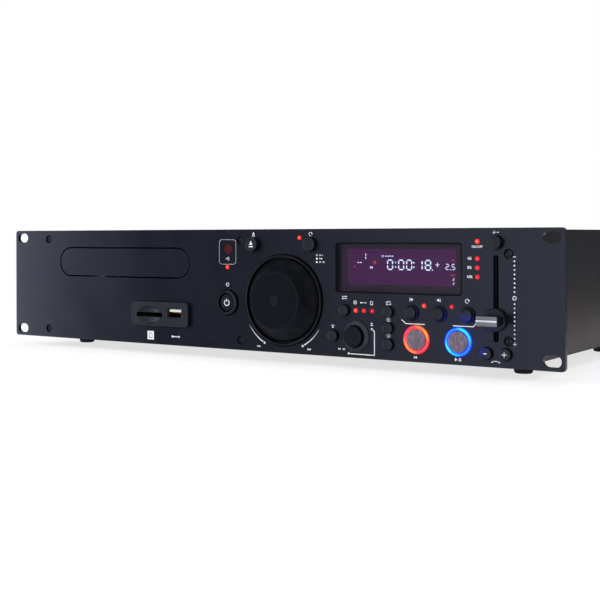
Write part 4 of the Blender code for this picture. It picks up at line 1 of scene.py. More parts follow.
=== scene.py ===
"""Looks of a two-unit rack disc player: finishes, printed signs, lights and the studio round it."""

import json
import logging
import math
from collections.abc import Sequence
from dataclasses import dataclass, field
from enum import Enum

import bpy
from mathutils import Matrix, Vector

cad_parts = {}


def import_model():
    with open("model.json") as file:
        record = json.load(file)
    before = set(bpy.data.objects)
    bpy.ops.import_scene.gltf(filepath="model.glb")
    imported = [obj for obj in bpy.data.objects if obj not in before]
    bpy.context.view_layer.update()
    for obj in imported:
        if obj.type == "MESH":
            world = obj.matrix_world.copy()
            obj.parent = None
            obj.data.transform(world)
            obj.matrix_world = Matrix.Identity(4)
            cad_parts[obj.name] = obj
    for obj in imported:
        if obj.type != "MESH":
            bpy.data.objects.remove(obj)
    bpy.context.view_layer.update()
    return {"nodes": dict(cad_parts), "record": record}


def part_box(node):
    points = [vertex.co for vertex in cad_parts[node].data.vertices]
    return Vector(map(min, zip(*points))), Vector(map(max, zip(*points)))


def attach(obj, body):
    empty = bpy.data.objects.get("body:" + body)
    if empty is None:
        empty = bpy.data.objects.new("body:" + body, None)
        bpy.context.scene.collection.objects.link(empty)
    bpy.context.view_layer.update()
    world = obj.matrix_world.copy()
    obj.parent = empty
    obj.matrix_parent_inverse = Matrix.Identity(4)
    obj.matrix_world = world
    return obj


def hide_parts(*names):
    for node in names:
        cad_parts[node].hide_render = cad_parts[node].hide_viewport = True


LOG = logging.getLogger("disc_player")
MM = 0.001

FRONT = Vector((0, -1, 0))
BACK = Vector((0, 1, 0))
UP = Vector((0, 0, 1))
DOWN = Vector((0, 0, -1))
SIDEWAYS = Vector((1, 0, 0))

SMOOTH_ANGLE = math.radians(32)
BEVEL_ANGLE = math.radians(34)
FLAT_ANGLE = math.radians(0.5)
WELD = 0.001 * MM
ROUND_STEPS = 72
SMALL_ROUND_STEPS = 40
RING_STEPS = 96
SEED_SIZE = 0.1 * MM

# How each finish varies: width of its patches of tone, width of its paler edges (partly wear, partly painted
# highlight), and drift of roughness
TONE_PATCH = 28 * MM
EDGE_WEAR_AND_HIGHLIGHT_WIDTH = 0.3 * MM
ROUGHNESS_DRIFT = 0.07

# Segments that each digit from nought to nine lights
SEGMENTS_OF_DIGIT = "abcdef bc abged abgcd fgbc afgcd afgedc abc abcdefg abcdfg".split()

# Print: its thickness, how much of a font's size its capitals take, and how far its strokes swell
INK_THICKNESS = 0.04 * MM
CAPITALS_SHARE = 0.7
STROKE_SWELL_SHARE = 0.02

# Least cosine of half a corner's turn that a mitre is drawn for, so that a sharp corner grows no spike
MITRE_LIMIT = 0.3

# Stand-offs shared by the pieces behind the panel, as the solids have them
PANEL_THICKNESS = 3 * MM
TOUCH_GAP = 0.3 * MM
FLANGE_THICKNESS = 1 * MM
PANEL_BACK = PANEL_THICKNESS + TOUCH_GAP
FLANGE_BACK = PANEL_BACK + FLANGE_THICKNESS
SECOND_SEAT = FLANGE_BACK + TOUCH_GAP

# Cool light of the dim room that gloss mirrors
COOL_TINT = (0.76, 0.83, 1.06, 1)

Point = tuple[float, float]
Outline = list[Point]
Profile = list[Point]
Piece = bpy.types.Object
Node = bpy.types.Node
Tree = bpy.types.NodeTree
Source = Node | bpy.types.NodeSocket


# Colour


def linear(hex_colour: str) -> tuple[float, float, float, float]:
    """Turns an sRGB hex value into linear red, green, blue and an alpha of one.

    Args:
        hex_colour: Six hex digits after a hash sign.

    Returns:
        The colour as a shader socket takes it.
    """
    values = [int(hex_colour[i : i + 2], 16) / 255 for i in (1, 3, 5)]
    channels = [v / 12.92 if v <= 0.04045 else ((v + 0.055) / 1.055) ** 2.4 for v in values]
    return (channels[0], channels[1], channels[2], 1.0)


# Node trees


def live_output(source: Source) -> bpy.types.NodeSocket:
    """Returns a socket as it is, or a node's first output in use."""
    if isinstance(source, bpy.types.NodeSocket):
        return source
    return next(socket for socket in source.outputs if socket.enabled)


def add_node(
    tree: Tree,
    kind: str,
    settings: dict[str | int, object] | None = None,
    links: dict[str | int, Source] | None = None,
) -> Node:
    """Adds one shader node with its settings and incoming links.

    Args:
        tree: Node tree that takes the node.
        kind: Node type without its ShaderNode prefix.
        settings: Values of inputs, by name or number, and of the node's own options.
        links: Sockets that feed its inputs, by name or number, or nodes for their first output in use.

    Returns:
        The new node.
    """
    node = tree.nodes.new("ShaderNode" + kind)
    for key, value in (settings or {}).items():
        if isinstance(key, int) or key in node.inputs:
            node.inputs[key].default_value = value
        else:
            setattr(node, key, value)
    for key, source in (links or {}).items():
        tree.links.new(live_output(source), node.inputs[key])
    return node


def empty_tree(owner: bpy.types.Material | bpy.types.World) -> Tree:
    """Gives a material or a world a node tree with nothing in it.

    Args:
        owner: The material or world.

    Returns:
        Its tree.
    """
    owner.use_nodes = True
    owner.node_tree.nodes.clear()
    return owner.node_tree


def seen_directly(tree: Tree) -> Node:
    """Makes a mask of the rays that see the surround straight or through glass.

    Args:
        tree: Node tree that takes the nodes.

    Returns:
        The mask's node.
    """
    path = add_node(tree, "LightPath")
    rays = {0: path.outputs["Is Camera Ray"], 1: path.outputs["Is Transmission Ray"]}
    return add_node(tree, "Math", {"operation": "MAXIMUM"}, rays)


def edges_worn_and_highlit(tree: Tree, radius: float, breakup: Source) -> Node:
    """Makes a mask that is high along every edge, hollow ones too: partly wear, partly a painted edge
    highlight.

    Args:
        tree: Node tree that takes the nodes.
        radius: How far from an edge the paler band reaches, in metres.
        breakup: Noise that breaks the line of the edge up.

    Returns:
        The mask's node.
    """
    rounded = add_node(tree, "Bevel", {"Radius": radius, "samples": 4})
    flat = add_node(tree, "NewGeometry").outputs["Normal"]
    dot = add_node(tree, "VectorMath", {"operation": "DOT_PRODUCT"}, {0: rounded, 1: flat})
    turn = {"From Min": 0.995, "From Max": 0.86, "To Min": 0.0, "To Max": 0.9}
    edge = add_node(tree, "MapRange", turn, {"Value": dot})
    patchy = add_node(tree, "MapRange", {"From Min": 0.35, "From Max": 0.65}, {"Value": breakup})
    return add_node(tree, "Math", {"operation": "MULTIPLY"}, {0: edge, 1: patchy})


@dataclass(frozen=True)
class Finish:
    """Opaque surface with a grain, a slow drift of tone, and paler edges, partly wear and partly painted
    highlight, where it has an edge colour.
    """

    name: str
    slot: str
    colour: str
    drift: str
    roughness: float
    metallic: float = 0.0
    specular: float = 0.5
    grain: float = 0.4 * MM
    depth: float = 0.01 * MM
    stretch: tuple[float, float, float] = (1.0, 1.0, 1.0)
    mottle: float = 0.1
    edge_wear_and_highlight: str | None = None
    coat: float = 0.0

    def material(self) -> bpy.types.Material:
        """Returns this finish's material, made the first time it is asked for."""
        found = bpy.data.materials.get(self.name)
        if found:
            return found
        made = bpy.data.materials.new(self.name)
        tree = empty_tree(made)
        add_node(tree, "OutputMaterial", links={"Surface": self.surface(tree)})
        return made

    def tones(self) -> dict[str, object]:
        """Returns the two colours that the finish drifts between."""
        return {"Color1": linear(self.colour), "Color2": linear(self.drift)}

    def surface(self, tree: Tree) -> Node:
        """Builds the shader.

        Args:
            tree: The material's empty node tree.

        Returns:
            The shader's node.
        """
        place = add_node(tree, "TexCoord").outputs["Object"]
        along = add_node(tree, "Mapping", {"Scale": self.stretch}, {"Vector": place})
        grain = {"Scale": 1 / self.grain, "Detail": 3.0, "Roughness": 0.6}
        fine = add_node(tree, "TexNoise", grain, {"Vector": along})
        slow = add_node(tree, "TexNoise", {"Scale": 1 / TONE_PATCH, "Detail": 4.0}, {"Vector": place})
        tone = add_node(tree, "MixRGB", self.tones(), {"Fac": slow})
        swing = {"From Min": 0.3, "From Max": 0.7, "To Min": 1 - self.mottle, "To Max": 1 + self.mottle}
        speck = add_node(tree, "MapRange", swing, {"Value": fine})
        colour = add_node(tree, "VectorMath", {"operation": "SCALE"}, {0: tone, "Scale": speck})
        # Paler edges on every edge, hollow ones too: partly wear, partly painted highlight
        if self.edge_wear_and_highlight:
            wear_and_highlight_mask = edges_worn_and_highlit(tree, EDGE_WEAR_AND_HIGHLIGHT_WIDTH, slow)
            paler_edge = {"Color2": linear(self.edge_wear_and_highlight)}
            colour = add_node(tree, "MixRGB", paler_edge, {"Fac": wear_and_highlight_mask, "Color1": colour})
        limits = {"To Min": self.roughness - ROUGHNESS_DRIFT, "To Max": self.roughness + ROUGHNESS_DRIFT}
        rough = add_node(tree, "MapRange", limits, {"Value": slow})
        bump = add_node(tree, "Bump", {"Strength": 1.0, "Distance": self.depth}, {"Height": fine})
        settings = {
            "Metallic": self.metallic, "Specular IOR Level": self.specular, "Coat Weight": self.coat,
            "Coat Roughness": 0.12,
        }
        links = {"Base Color": colour, "Roughness": rough, "Normal": bump}
        return add_node(tree, "BsdfPrincipled", settings, links)


@dataclass(frozen=True)
class Glow(Finish):
    """Lit diffuser: its light runs from one colour to a hotter one across the piece."""

    hot: str = "#ffffff"
    strength: float = 1.0
    centre: tuple[float, float, float] = (0.0, 0.0, 0.0)
    radius: float = 10 * MM
    slant: tuple[float, float, float] = (0.7, 0.0, 0.7)
    hot_core: bool = False
    core_shares: tuple[float, float] = (0.9, 0.15)
    slant_shares: tuple[float, float] = (0.45, 1.0)
    band: tuple[float, float] | None = None
    shaded_edge_share: float = 0.12

    def surface(self, tree: Tree) -> Node:
        """Builds the shader.

        Args:
            tree: The material's empty node tree.

        Returns:
            The shader's node.
        """
        place = add_node(tree, "TexCoord").outputs["Object"]
        offset = add_node(tree, "VectorMath", {"operation": "SUBTRACT", 1: self.centre}, {0: place})
        if self.hot_core:
            size = self.from_axis(tree, offset)
            cool, hot = self.core_shares
        else:
            across = add_node(tree, "VectorMath", {"operation": "DOT_PRODUCT", 1: self.slant}, {0: offset})
            size = add_node(tree, "Math", {"operation": "ABSOLUTE"}, {0: across})
            cool, hot = self.slant_shares
        haze = add_node(tree, "TexNoise", {"Scale": 2 / self.radius, "Detail": 2.0}, {"Vector": place})
        span = {"From Min": self.radius * cool, "From Max": self.radius * hot}
        hotness = add_node(tree, "MapRange", {**span, "interpolation_type": "SMOOTHSTEP"}, {"Value": size})
        patches = {"From Min": 0.35, "From Max": 0.6, "To Min": 0.5, "To Max": 1.0}
        level = add_node(tree, "MapRange", patches, {"Value": haze})
        uneven = add_node(tree, "Math", {"operation": "MULTIPLY"}, {0: hotness, 1: level})
        colours = {"Color1": linear(self.colour), "Color2": linear(self.hot)}
        links = {"Emission Color": add_node(tree, "MixRGB", colours, {"Fac": uneven})}
        # Painted shade: the ring's light dims towards both its edges
        if self.band:
            links["Emission Strength"] = self.painted_ring_shade(tree, offset)
        settings = {
            "Base Color": linear(self.drift), "Roughness": self.roughness,
            "Specular IOR Level": self.specular, "Emission Strength": self.strength,
        }
        return add_node(tree, "BsdfPrincipled", settings, links)

    def from_axis(self, tree: Tree, offset: Source) -> Node:
        """Measures how far a place lies from the light's axis.

        Args:
            tree: The material's node tree.
            offset: Place measured from the light's middle.

        Returns:
            The distance's node.
        """
        flat = add_node(tree, "VectorMath", {"operation": "MULTIPLY", 1: (1.0, 0.0, 1.0)}, {0: offset})
        return add_node(tree, "VectorMath", {"operation": "LENGTH"}, {0: flat})

    def painted_ring_shade(self, tree: Tree, offset: Source) -> Node:
        """Paints shade into a ring's light: strongest halfway between its edges and dimmer towards both, as a
        rounded ring is shaded.

        Args:
            tree: The material's node tree.
            offset: Place measured from the ring's middle.

        Returns:
            The strength's node.
        """
        inner, outer = self.band
        width = {"From Min": inner, "From Max": outer, "To Min": -1.0, "To Max": 1.0}
        across = add_node(tree, "MapRange", width, {"Value": self.from_axis(tree, offset)})
        squared = add_node(tree, "Math", {"operation": "POWER", 1: 2.0}, {0: across})
        fall = {"To Min": self.strength, "To Max": self.strength * self.shaded_edge_share}
        return add_node(tree, "MapRange", fall, {"Value": squared})


@dataclass(frozen=True)
class ClearPlastic(Finish):
    """Tinted see-through plastic with faint handling marks in its gloss."""

    def surface(self, tree: Tree) -> Node:
        """Builds the shader.

        Args:
            tree: The material's empty node tree.

        Returns:
            The shader's node.
        """
        place = add_node(tree, "TexCoord").outputs["Object"]
        smears = add_node(tree, "TexNoise", {"Scale": 1 / self.grain, "Detail": 3.0}, {"Vector": place})
        tint = add_node(tree, "MixRGB", self.tones(), {"Fac": smears})
        limits = {"To Min": self.roughness, "To Max": self.roughness + 0.02}
        rough = add_node(tree, "MapRange", limits, {"Value": smears})
        settings = {"Transmission Weight": 1.0, "IOR": 1.28}
        return add_node(tree, "BsdfPrincipled", settings, {"Base Color": tint, "Roughness": rough})


@dataclass(frozen=True)
class TracedBoard(Finish):
    """Circuit board: green resist over a net of copper tracks."""

    track: str = "#1d5a34"
    track_pitch: float = 6 * MM

    def surface(self, tree: Tree) -> Node:
        """Builds the shader.

        Args:
            tree: The material's empty node tree.

        Returns:
            The shader's node.
        """
        place = add_node(tree, "TexCoord").outputs["Object"]
        net = {"Scale": 1 / self.track_pitch, "Mortar Size": 0.06, "Mortar": linear(self.track)}
        tracks = add_node(tree, "TexBrick", {**net, **self.tones()}, {"Vector": place})
        grain = add_node(tree, "TexNoise", {"Scale": 1 / self.grain, "Detail": 2.0}, {"Vector": place})
        limits = {"To Min": self.roughness - 0.1, "To Max": self.roughness + 0.1}
        rough = add_node(tree, "MapRange", limits, {"Value": grain})
        bump = add_node(tree, "Bump", {"Distance": self.depth}, {"Height": tracks.outputs["Fac"]})
        links = {"Base Color": tracks, "Roughness": rough, "Normal": bump}
        return add_node(tree, "BsdfPrincipled", {"Specular IOR Level": self.specular}, links)


# Finishes

# Bead-blasted aluminium under a dyed oxide layer: a dry satin, its edges paler, partly bare metal and partly
# painted highlight
ANODISED = Finish(
    "satin_black_anodised_aluminium", "anodised_panel", "#10121d", "#0e101a", 0.22,
    specular=0.4, grain=0.5 * MM, depth=0.004 * MM, edge_wear_and_highlight="#34363f",
)
# Powder coat on folded steel: a faint orange peel that breaks reflections up
POWDER_COAT = Finish(
    "powder_coated_steel", "painted_steel", "#1f1a16", "#1b1713", 0.4,
    specular=0.5, grain=1.1 * MM, depth=0.02 * MM, edge_wear_and_highlight="#2c2a28",
)
# ABS from a spark-eroded mould: even and matt, its edges slightly grey, partly wear and partly painted
# highlight
MOULDED_ABS = Finish(
    "moulded_black_abs", "black_plastic", "#08090d", "#07080c", 0.36,
    specular=0.45, grain=0.3 * MM, depth=0.006 * MM, edge_wear_and_highlight="#1b1e25",
)
# Soft-touch lacquer over ABS: darker and drier than the bare moulding
SOFT_TOUCH = Finish(
    "soft_touch_lacquer", "soft_black", "#090b10", "#07090d", 0.45,
    specular=0.2, grain=0.25 * MM, depth=0.004 * MM, edge_wear_and_highlight="#252931",
)
# Spark-eroded ABS of the dial's collar, painted a little paler than the other black ABS as painted light, so
# that its slope looks lit
COLLAR_ABS_PAINTED_PALER = Finish(
    "black_abs_painted_paler", "black_plastic", "#171a22", "#13161d", 0.36,
    specular=0.6, grain=0.3 * MM, depth=0.006 * MM, edge_wear_and_highlight="#2a2e37",
)
# Matt foil on the jog wheel's face: it drinks the light
FACE_FOIL = Finish(
    "matt_polycarbonate_foil", "soft_black", "#080b11", "#070a0f", 0.5,
    specular=0.09, grain=0.2 * MM, depth=0.003 * MM,
)
# Moulded rubber: dull, with a coarse skin that hides its edge
FOOT_RUBBER = Finish(
    "black_rubber", "foot_rubber", "#121212", "#181716", 0.78, grain=0.8 * MM, depth=0.03 * MM,
)
# Moulded acetal of the pickup sled: waxy, and a shade lighter along its edges, partly rubbing and partly
# painted highlight
GREY_PLASTIC = Finish(
    "grey_acetal", "grey_plastic", "#6f7072", "#66676a", 0.45, grain=0.5 * MM, edge_wear_and_highlight="#8a8b8d",
)
# Undyed acetal: a milky white that goes paler at its edges, partly wear and partly painted highlight
WHITE_PLASTIC = Finish(
    "natural_acetal", "white_plastic", "#dcdad4", "#cfccc4", 0.42, grain=0.5 * MM, edge_wear_and_highlight="#efede8",
)
# Brushed aluminium caps: short upright strokes, drawn coarse enough to show as light and dark patches
BRUSHED = Finish(
    "brushed_aluminium", "brushed_metal", "#82727a", "#6e6067", 0.4, metallic=0.45,
    grain=1.1 * MM, depth=0.006 * MM, stretch=(1.0, 0.3, 0.4), mottle=0.5, edge_wear_and_highlight="#cfc8c8",
)
# Polished aluminium grip: flat bars of a warm grey with narrow bright edges
POLISHED = Finish(
    "polished_aluminium", "brushed_metal", "#8c877f", "#827e77", 0.09, metallic=0.95,
    grain=9 * MM, depth=0.0005 * MM,
)
# Ridge between the grip's bars: a near-white copy of the polished aluminium, a painted highlight where it
# turns up to the light
RIDGE_PAINTED_HIGHLIGHT = Finish(
    "aluminium_painted_highlight", "brushed_metal", "#f4efe6", "#ebe6dd", 0.12, metallic=0.95,
    grain=9 * MM, depth=0.0005 * MM,
)
# Nickel over steel: a soft warm mirror with fine polishing marks
NICKEL = Finish(
    "nickel_plated_steel", "bright_steel", "#b9b7b2", "#a5a39e", 0.28, metallic=1.0,
    grain=0.5 * MM, depth=0.004 * MM, edge_wear_and_highlight="#d8d6d0",
)
# Tin-plated port shell: dull, and darkened as painted shade inside its moulding
PORT_SHELL_PAINTED_SHADE = Finish(
    "port_shell_painted_shade", "bright_steel", "#4a4540", "#3c3835", 0.4, metallic=0.8,
    grain=0.5 * MM, depth=0.004 * MM, edge_wear_and_highlight="#8a857e",
)
# Steel of the fader's frame, painted near black: painted shade that keeps its slot dark
SLOT_SHADE_STEEL = Finish(
    "steel_painted_slot_shade", "bright_steel", "#0d0d0f", "#09090b", 0.5, metallic=0.3,
    grain=0.4 * MM, depth=0.004 * MM, edge_wear_and_highlight="#2a2a2d",
)
# Hard gold over nickel on the port's contacts: a warm spark in the dark opening
GILT = Finish(
    "gilt_contact", "bright_steel", "#d08a3c", "#c07a30", 0.3, metallic=0.6,
    grain=0.3 * MM, depth=0.002 * MM,
)
# Black zinc over steel: a grey sheen, its edges and cross painted bright, partly as a screwdriver's rubbing
# and partly as painted highlight
BLACK_ZINC = Finish(
    "black_zinc_screw", "black_plastic", "#303033", "#222225", 0.32, metallic=0.6,
    grain=0.3 * MM, depth=0.006 * MM, edge_wear_and_highlight="#77777c",
)
# Stacked iron plates under varnish: fine lines along the stack
IRON = Finish(
    "varnished_laminated_iron", "transformer_iron", "#4a4038", "#362f2a", 0.5, metallic=0.5,
    grain=0.6 * MM, depth=0.05 * MM, stretch=(0.05, 1.0, 0.05),
)
# Screen-printed ink: a dry white a little under paper white
WHITE_INK = Finish(
    "white_screen_ink", "white_plastic", "#f2f3f6", "#e8e9ee", 0.6, grain=0.3 * MM, depth=0.004 * MM,
)
# Green solder resist: the tracks stand a little proud under it
BOARD = TracedBoard(
    "solder_resist_board", "circuit_board", "#0f3d22", "#0c351d", 0.42, grain=1 * MM, depth=0.03 * MM,
)
# Smoked acrylic with an anti-glare coat: nearly clear and a touch violet, with a weak mirror
SMOKED_ACRYLIC = ClearPlastic("smoked_acrylic", "smoked_lens", "#c4b9c6", "#bdb2bf", 0.0, grain=30 * MM)
# Deep red window: it passes infrared only, so the eye sees its polished face over near black
RED_ACRYLIC = Finish(
    "deep_red_acrylic", "red_window", "#4a0a12", "#38070d", 0.14, specular=0.7, grain=8 * MM,
    depth=0.001 * MM, coat=0.6,
)
# Front glass of the tube behind the lens: dark, with the cell's grey coat
TUBE_GLASS = Finish(
    "vacuum_tube_glass", "display_glass", "#4a4153", "#443c4d", 0.3, specular=0.12, grain=4 * MM,
    depth=0.001 * MM,
)
# Glow of the tube's filaments: an even violet over its unlit cells
TUBE_HAZE = Glow(
    "display_filament_haze", "display_glass", "#481c54", "#120b16", 0.4,
    specular=0.1, hot="#541f5b", strength=1.0, radius=60 * MM,
)
# Phosphor of the lit digits: near white with a blue cast
DIGIT_LIGHT = Glow(
    "display_segment_light", "display_glass", "#b4e2ff", "#c0d8f0", 0.4,
    hot="#dcf4ff", strength=1.95, radius=20 * MM,
)
# Red phosphor of the small marks: dimmer than the digits
RED_SEGMENT = Glow(
    "display_red_segment", "display_glass", "#c02a4a", "#701020", 0.4,
    hot="#ff4a60", strength=0.9, radius=20 * MM,
)


# Modelling by operators


def deselect() -> None:
    """Leaves nothing selected and the scene in object mode."""
    if bpy.context.object and bpy.context.object.mode != "OBJECT":
        bpy.ops.object.mode_set(mode="OBJECT")
    bpy.ops.object.select_all(action="DESELECT")


def activate(piece: Piece) -> None:
    """Makes one object the only selected and the active one.

    Args:
        piece: The object to work on.
    """
    deselect()
    piece.select_set(True)
    bpy.context.view_layer.objects.active = piece


def named(name: str) -> Piece:
    """Names the primitive that was just added.

    Args:
        name: Name of the object and its mesh.

    Returns:
        The object.
    """
    piece = bpy.context.object
    piece.name = name
    piece.data.name = name
    return piece


def settle(piece: Piece) -> Piece:
    """Moves an object's place and turn into its mesh.

    Args:
        piece: The object.

    Returns:
        The same object, at the origin.
    """
    activate(piece)
    bpy.ops.object.transform_apply(location=True, rotation=True, scale=True)
    return piece


def modify(piece: Piece, kind: str, **settings: object) -> None:
    """Adds a modifier and applies it.

    Args:
        piece: Object to change.
        kind: Modifier type.
        settings: The modifier's options.
    """
    activate(piece)
    modifier = piece.modifiers.new(kind.lower(), kind)
    for key, value in settings.items():
        setattr(modifier, key, value)
    bpy.ops.object.modifier_apply(modifier=modifier.name)


def soften(piece: Piece, width: float, segments: int = 2) -> None:
    """Rounds an object's sharp edges and smooths its round faces.

    Args:
        piece: Object to change.
        width: Width of the rounding, in metres.
        segments: Steps across the rounding.
    """
    if width > 0:
        modify(
            piece, "BEVEL", width=width, segments=segments, limit_method="ANGLE", angle_limit=BEVEL_ANGLE,
            use_clamp_overlap=True, miter_outer="MITER_ARC",
        )
    activate(piece)
    bpy.ops.object.shade_smooth_by_angle(angle=SMOOTH_ANGLE)
    modify(piece, "WEIGHTED_NORMAL", mode="FACE_AREA", weight=50, keep_sharp=True)


def turned(
    name: str,
    profile: Profile,
    centre: Vector,
    axis: Vector = FRONT,
    steps: int = ROUND_STEPS,
    rounding: float = 0.15 * MM,
) -> Piece:
    """Draws a profile point by point and spins it about an axis that runs front to back or up and down.

    Args:
        name: Name of the piece.
        profile: Radius and reach along the axis of each corner, in metres.
        centre: Point on the axis where the reach is zero.
        axis: Direction of the reach.
        steps: Steps of the spin.
        rounding: Width of the rounding on its edges.

    Returns:
        The closed turned piece.
    """
    radius, reach = profile[0]
    deselect()
    start = centre + SIDEWAYS * radius + axis * reach
    bpy.ops.mesh.primitive_plane_add(size=SEED_SIZE, location=start)
    piece = named(name)
    bpy.ops.object.mode_set(mode="EDIT")
    bpy.ops.mesh.select_mode(type="VERT")
    bpy.ops.mesh.select_all(action="SELECT")
    bpy.ops.mesh.merge(type="CENTER")
    for (r0, h0), (r1, h1) in zip(profile, profile[1:]):
        step = SIDEWAYS * (r1 - r0) + axis * (h1 - h0)
        bpy.ops.mesh.extrude_region_move(TRANSFORM_OT_translate={"value": step})
    bpy.ops.mesh.select_all(action="SELECT")
    bpy.ops.mesh.spin(steps=steps, angle=2 * math.pi, center=centre, axis=axis)
    bpy.ops.mesh.select_all(action="SELECT")
    bpy.ops.mesh.remove_doubles(threshold=WELD)
    bpy.ops.mesh.normals_make_consistent(inside=False)
    bpy.ops.object.mode_set(mode="OBJECT")
    settle(piece)
    soften(piece, rounding)
    return piece


def block(name: str, low: Vector, high: Vector, rounding: float = 0.15 * MM) -> Piece:
    """Adds a cube at its size and place and rounds its edges.

    Args:
        name: Name of the piece.
        low: Lowest corner.
        high: Highest corner.
        rounding: Width of the rounding on its edges.

    Returns:
        The block.
    """
    deselect()
    bpy.ops.mesh.primitive_cube_add(size=1, location=(low + high) / 2, scale=high - low)
    piece = settle(named(name))
    if rounding:
        soften(piece, rounding)
    return piece


def refined_copy(node: str, name: str, rounding: float, segments: int = 2) -> Piece:
    """Copies a CAD node's mesh, merges its loose triangles and rounds its edges.

    Args:
        node: CAD node to copy.
        name: Name of the copy.
        rounding: Width of the rounding on its edges.
        segments: Steps across the rounding.

    Returns:
        The copy.
    """
    piece = moved_copy(bpy.data.objects[node], name, Matrix())
    activate(piece)
    bpy.ops.object.mode_set(mode="EDIT")
    bpy.ops.mesh.select_all(action="SELECT")
    bpy.ops.mesh.remove_doubles(threshold=WELD)
    bpy.ops.mesh.dissolve_limited(angle_limit=FLAT_ANGLE)
    bpy.ops.object.mode_set(mode="OBJECT")
    soften(piece, rounding, segments)
    return piece


def moved_copy(piece: Piece, name: str, move: Matrix) -> Piece:
    """Copies a piece with its own mesh and moves that mesh.

    Args:
        piece: Piece to copy.
        name: Name of the copy.
        move: Where the mesh goes.

    Returns:
        The copy.
    """
    twin = bpy.data.objects.new(name, piece.data.copy())
    twin.data.transform(move)
    bpy.context.scene.collection.objects.link(twin)
    return twin


def joined(pieces: Sequence[Piece], name: str) -> Piece:
    """Joins several meshes into the first one.

    Args:
        pieces: Meshes to join.
        name: Name of the result.

    Returns:
        The joined object.
    """
    activate(pieces[0])
    for piece in pieces[1:]:
        piece.select_set(True)
    bpy.ops.object.join()
    return named(name)


def finish_piece(piece: Piece, finish: Finish, body: str = "chassis", replaces: Sequence[str] = ()) -> None:
    """Gives a piece its material and the body that it moves with.

    Args:
        piece: Finished mesh.
        finish: What it is made of.
        body: CAD body that carries it.
        replaces: CAD nodes that it stands for.
    """
    piece.data.materials.clear()
    piece.data.materials.append(finish.material())
    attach(piece, body)
    if replaces:
        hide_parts(*replaces)
    LOG.info("%s: %s, on %s", piece.name, finish.name, body)


def dressed_copy(
    node: str, name: str, rounding: float, finish: Finish, body: str = "chassis", segments: int = 2
) -> None:
    """Replaces a CAD node with a rounded copy of it in a finish.

    Args:
        node: CAD node to copy and to replace.
        name: Name of the copy.
        rounding: Width of the rounding on its edges.
        finish: What it is made of.
        body: CAD body that carries it.
        segments: Steps across the rounding.
    """
    finish_piece(refined_copy(node, name, rounding, segments), finish, body, [node])


def flanged_ring(lip: Profile, flange: float, back: float) -> Profile:
    """Profile of a ring through the panel, with a flange behind it.

    Args:
        lip: Its front, from the inner wall to the outer one.
        flange: Radius of the flange.
        back: How deep the flange's back lies behind the panel's face.

    Returns:
        The closed profile.
    """
    inner, outer = lip[0][0], lip[-1][0]
    rear = [(outer, -PANEL_BACK), (flange, -PANEL_BACK), (flange, -back), (inner, -back)]
    return [*lip, *rear, lip[0]]


# Where things are


def box_middle(node: str) -> Vector:
    """Returns the middle of a node's box."""
    low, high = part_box(node)
    return (low + high) / 2


@dataclass(frozen=True)
class PanelFace:
    """Outer face of the front panel: places on it run from its middle and its foot."""

    front: float
    foot: float

    @classmethod
    def from_frame(cls) -> "PanelFace":
        """Reads the face from the panel's solid."""
        low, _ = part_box("front_panel")
        return cls(low.y, low.z)

    def at(self, x: float, height: float, proud: float = 0.0) -> Vector:
        """Returns a place on the panel, proud of its face by a distance."""
        return Vector((x, self.front - proud, self.foot + height))

    def centre(self, node: str) -> Vector:
        """Returns the point of the panel's face in front of a node's middle."""
        middle = box_middle(node)
        return Vector((middle.x, self.front, middle.z))

    def reach(self, node: str) -> float:
        """Returns how far a node stands proud of the panel's face."""
        return self.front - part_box(node)[0].y

    def tail(self, node: str) -> float:
        """Returns how deep a node goes behind the panel's face."""
        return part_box(node)[1].y - self.front


def half_width(node: str) -> float:
    """Returns half the width of a node's box."""
    low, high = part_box(node)
    return (high.x - low.x) / 2


# Flat signs, in millimetres


def arc(u: float, v: float, radius: float, start: float, end: float, steps: int = 16) -> Outline:
    """Points of an arc.

    Args:
        u: Middle, across.
        v: Middle, up.
        radius: Radius of the arc.
        start: First angle, in degrees.
        end: Last angle, in degrees.
        steps: Steps along the arc.

    Returns:
        The points, both ends included.
    """
    angles = [math.radians(start + (end - start) * i / steps) for i in range(steps + 1)]
    return [(u + radius * math.cos(a), v + radius * math.sin(a)) for a in angles]


def stroke(points: Outline, width: float, end_width: float | None = None) -> Outline:
    """Outline of a line with width, mitred at its corners.

    Args:
        points: Points along the line.
        width: Width at its start.
        end_width: Width at its end, if it tapers.

    Returns:
        The closed outline.
    """
    last = len(points) - 1
    left, right = [], []
    for i, (u, v) in enumerate(points):
        before = Vector(points[i]) - Vector(points[i - 1]) if i else None
        after = Vector(points[i + 1]) - Vector(points[i]) if i < last else None
        sides = [Vector((-d.y, d.x)).normalized() for d in (before, after) if d]
        side = sum(sides, Vector((0, 0))).normalized()
        share = i / last
        half = ((1 - share) * width + share * (width if end_width is None else end_width)) / 2
        half /= max(side.dot(sides[0]), MITRE_LIMIT)
        left.append((u + side.x * half, v + side.y * half))
        right.append((u - side.x * half, v - side.y * half))
    return left + right[::-1]


def spot(u: float, v: float, radius: float) -> list[Outline]:
    """Filled circle."""
    return [arc(u, v, radius, 0, 337.5, 15)]


def loop(u: float, v: float, radius: float, width: float) -> list[Outline]:
    """Ring of a line width."""
    return [arc(u, v, radius + width / 2, 0, 348, 29), arc(u, v, radius - width / 2, 0, 348, 29)]


def bar(u0: float, v0: float, u1: float, v1: float, width: float) -> list[Outline]:
    """Straight line of a width."""
    return [stroke([(u0, v0), (u1, v1)], width)]


def wedge(u: float, v: float, size: float, heading: float) -> list[Outline]:
    """Filled triangle that points along a heading in degrees."""
    return [arc(u, v, size, heading, heading + 240, 2)]


def scaled(outlines: Sequence[Outline], factor: float) -> list[Outline]:
    """Scales outlines about their zero."""
    return [[(a * factor, b * factor) for a, b in outline] for outline in outlines]


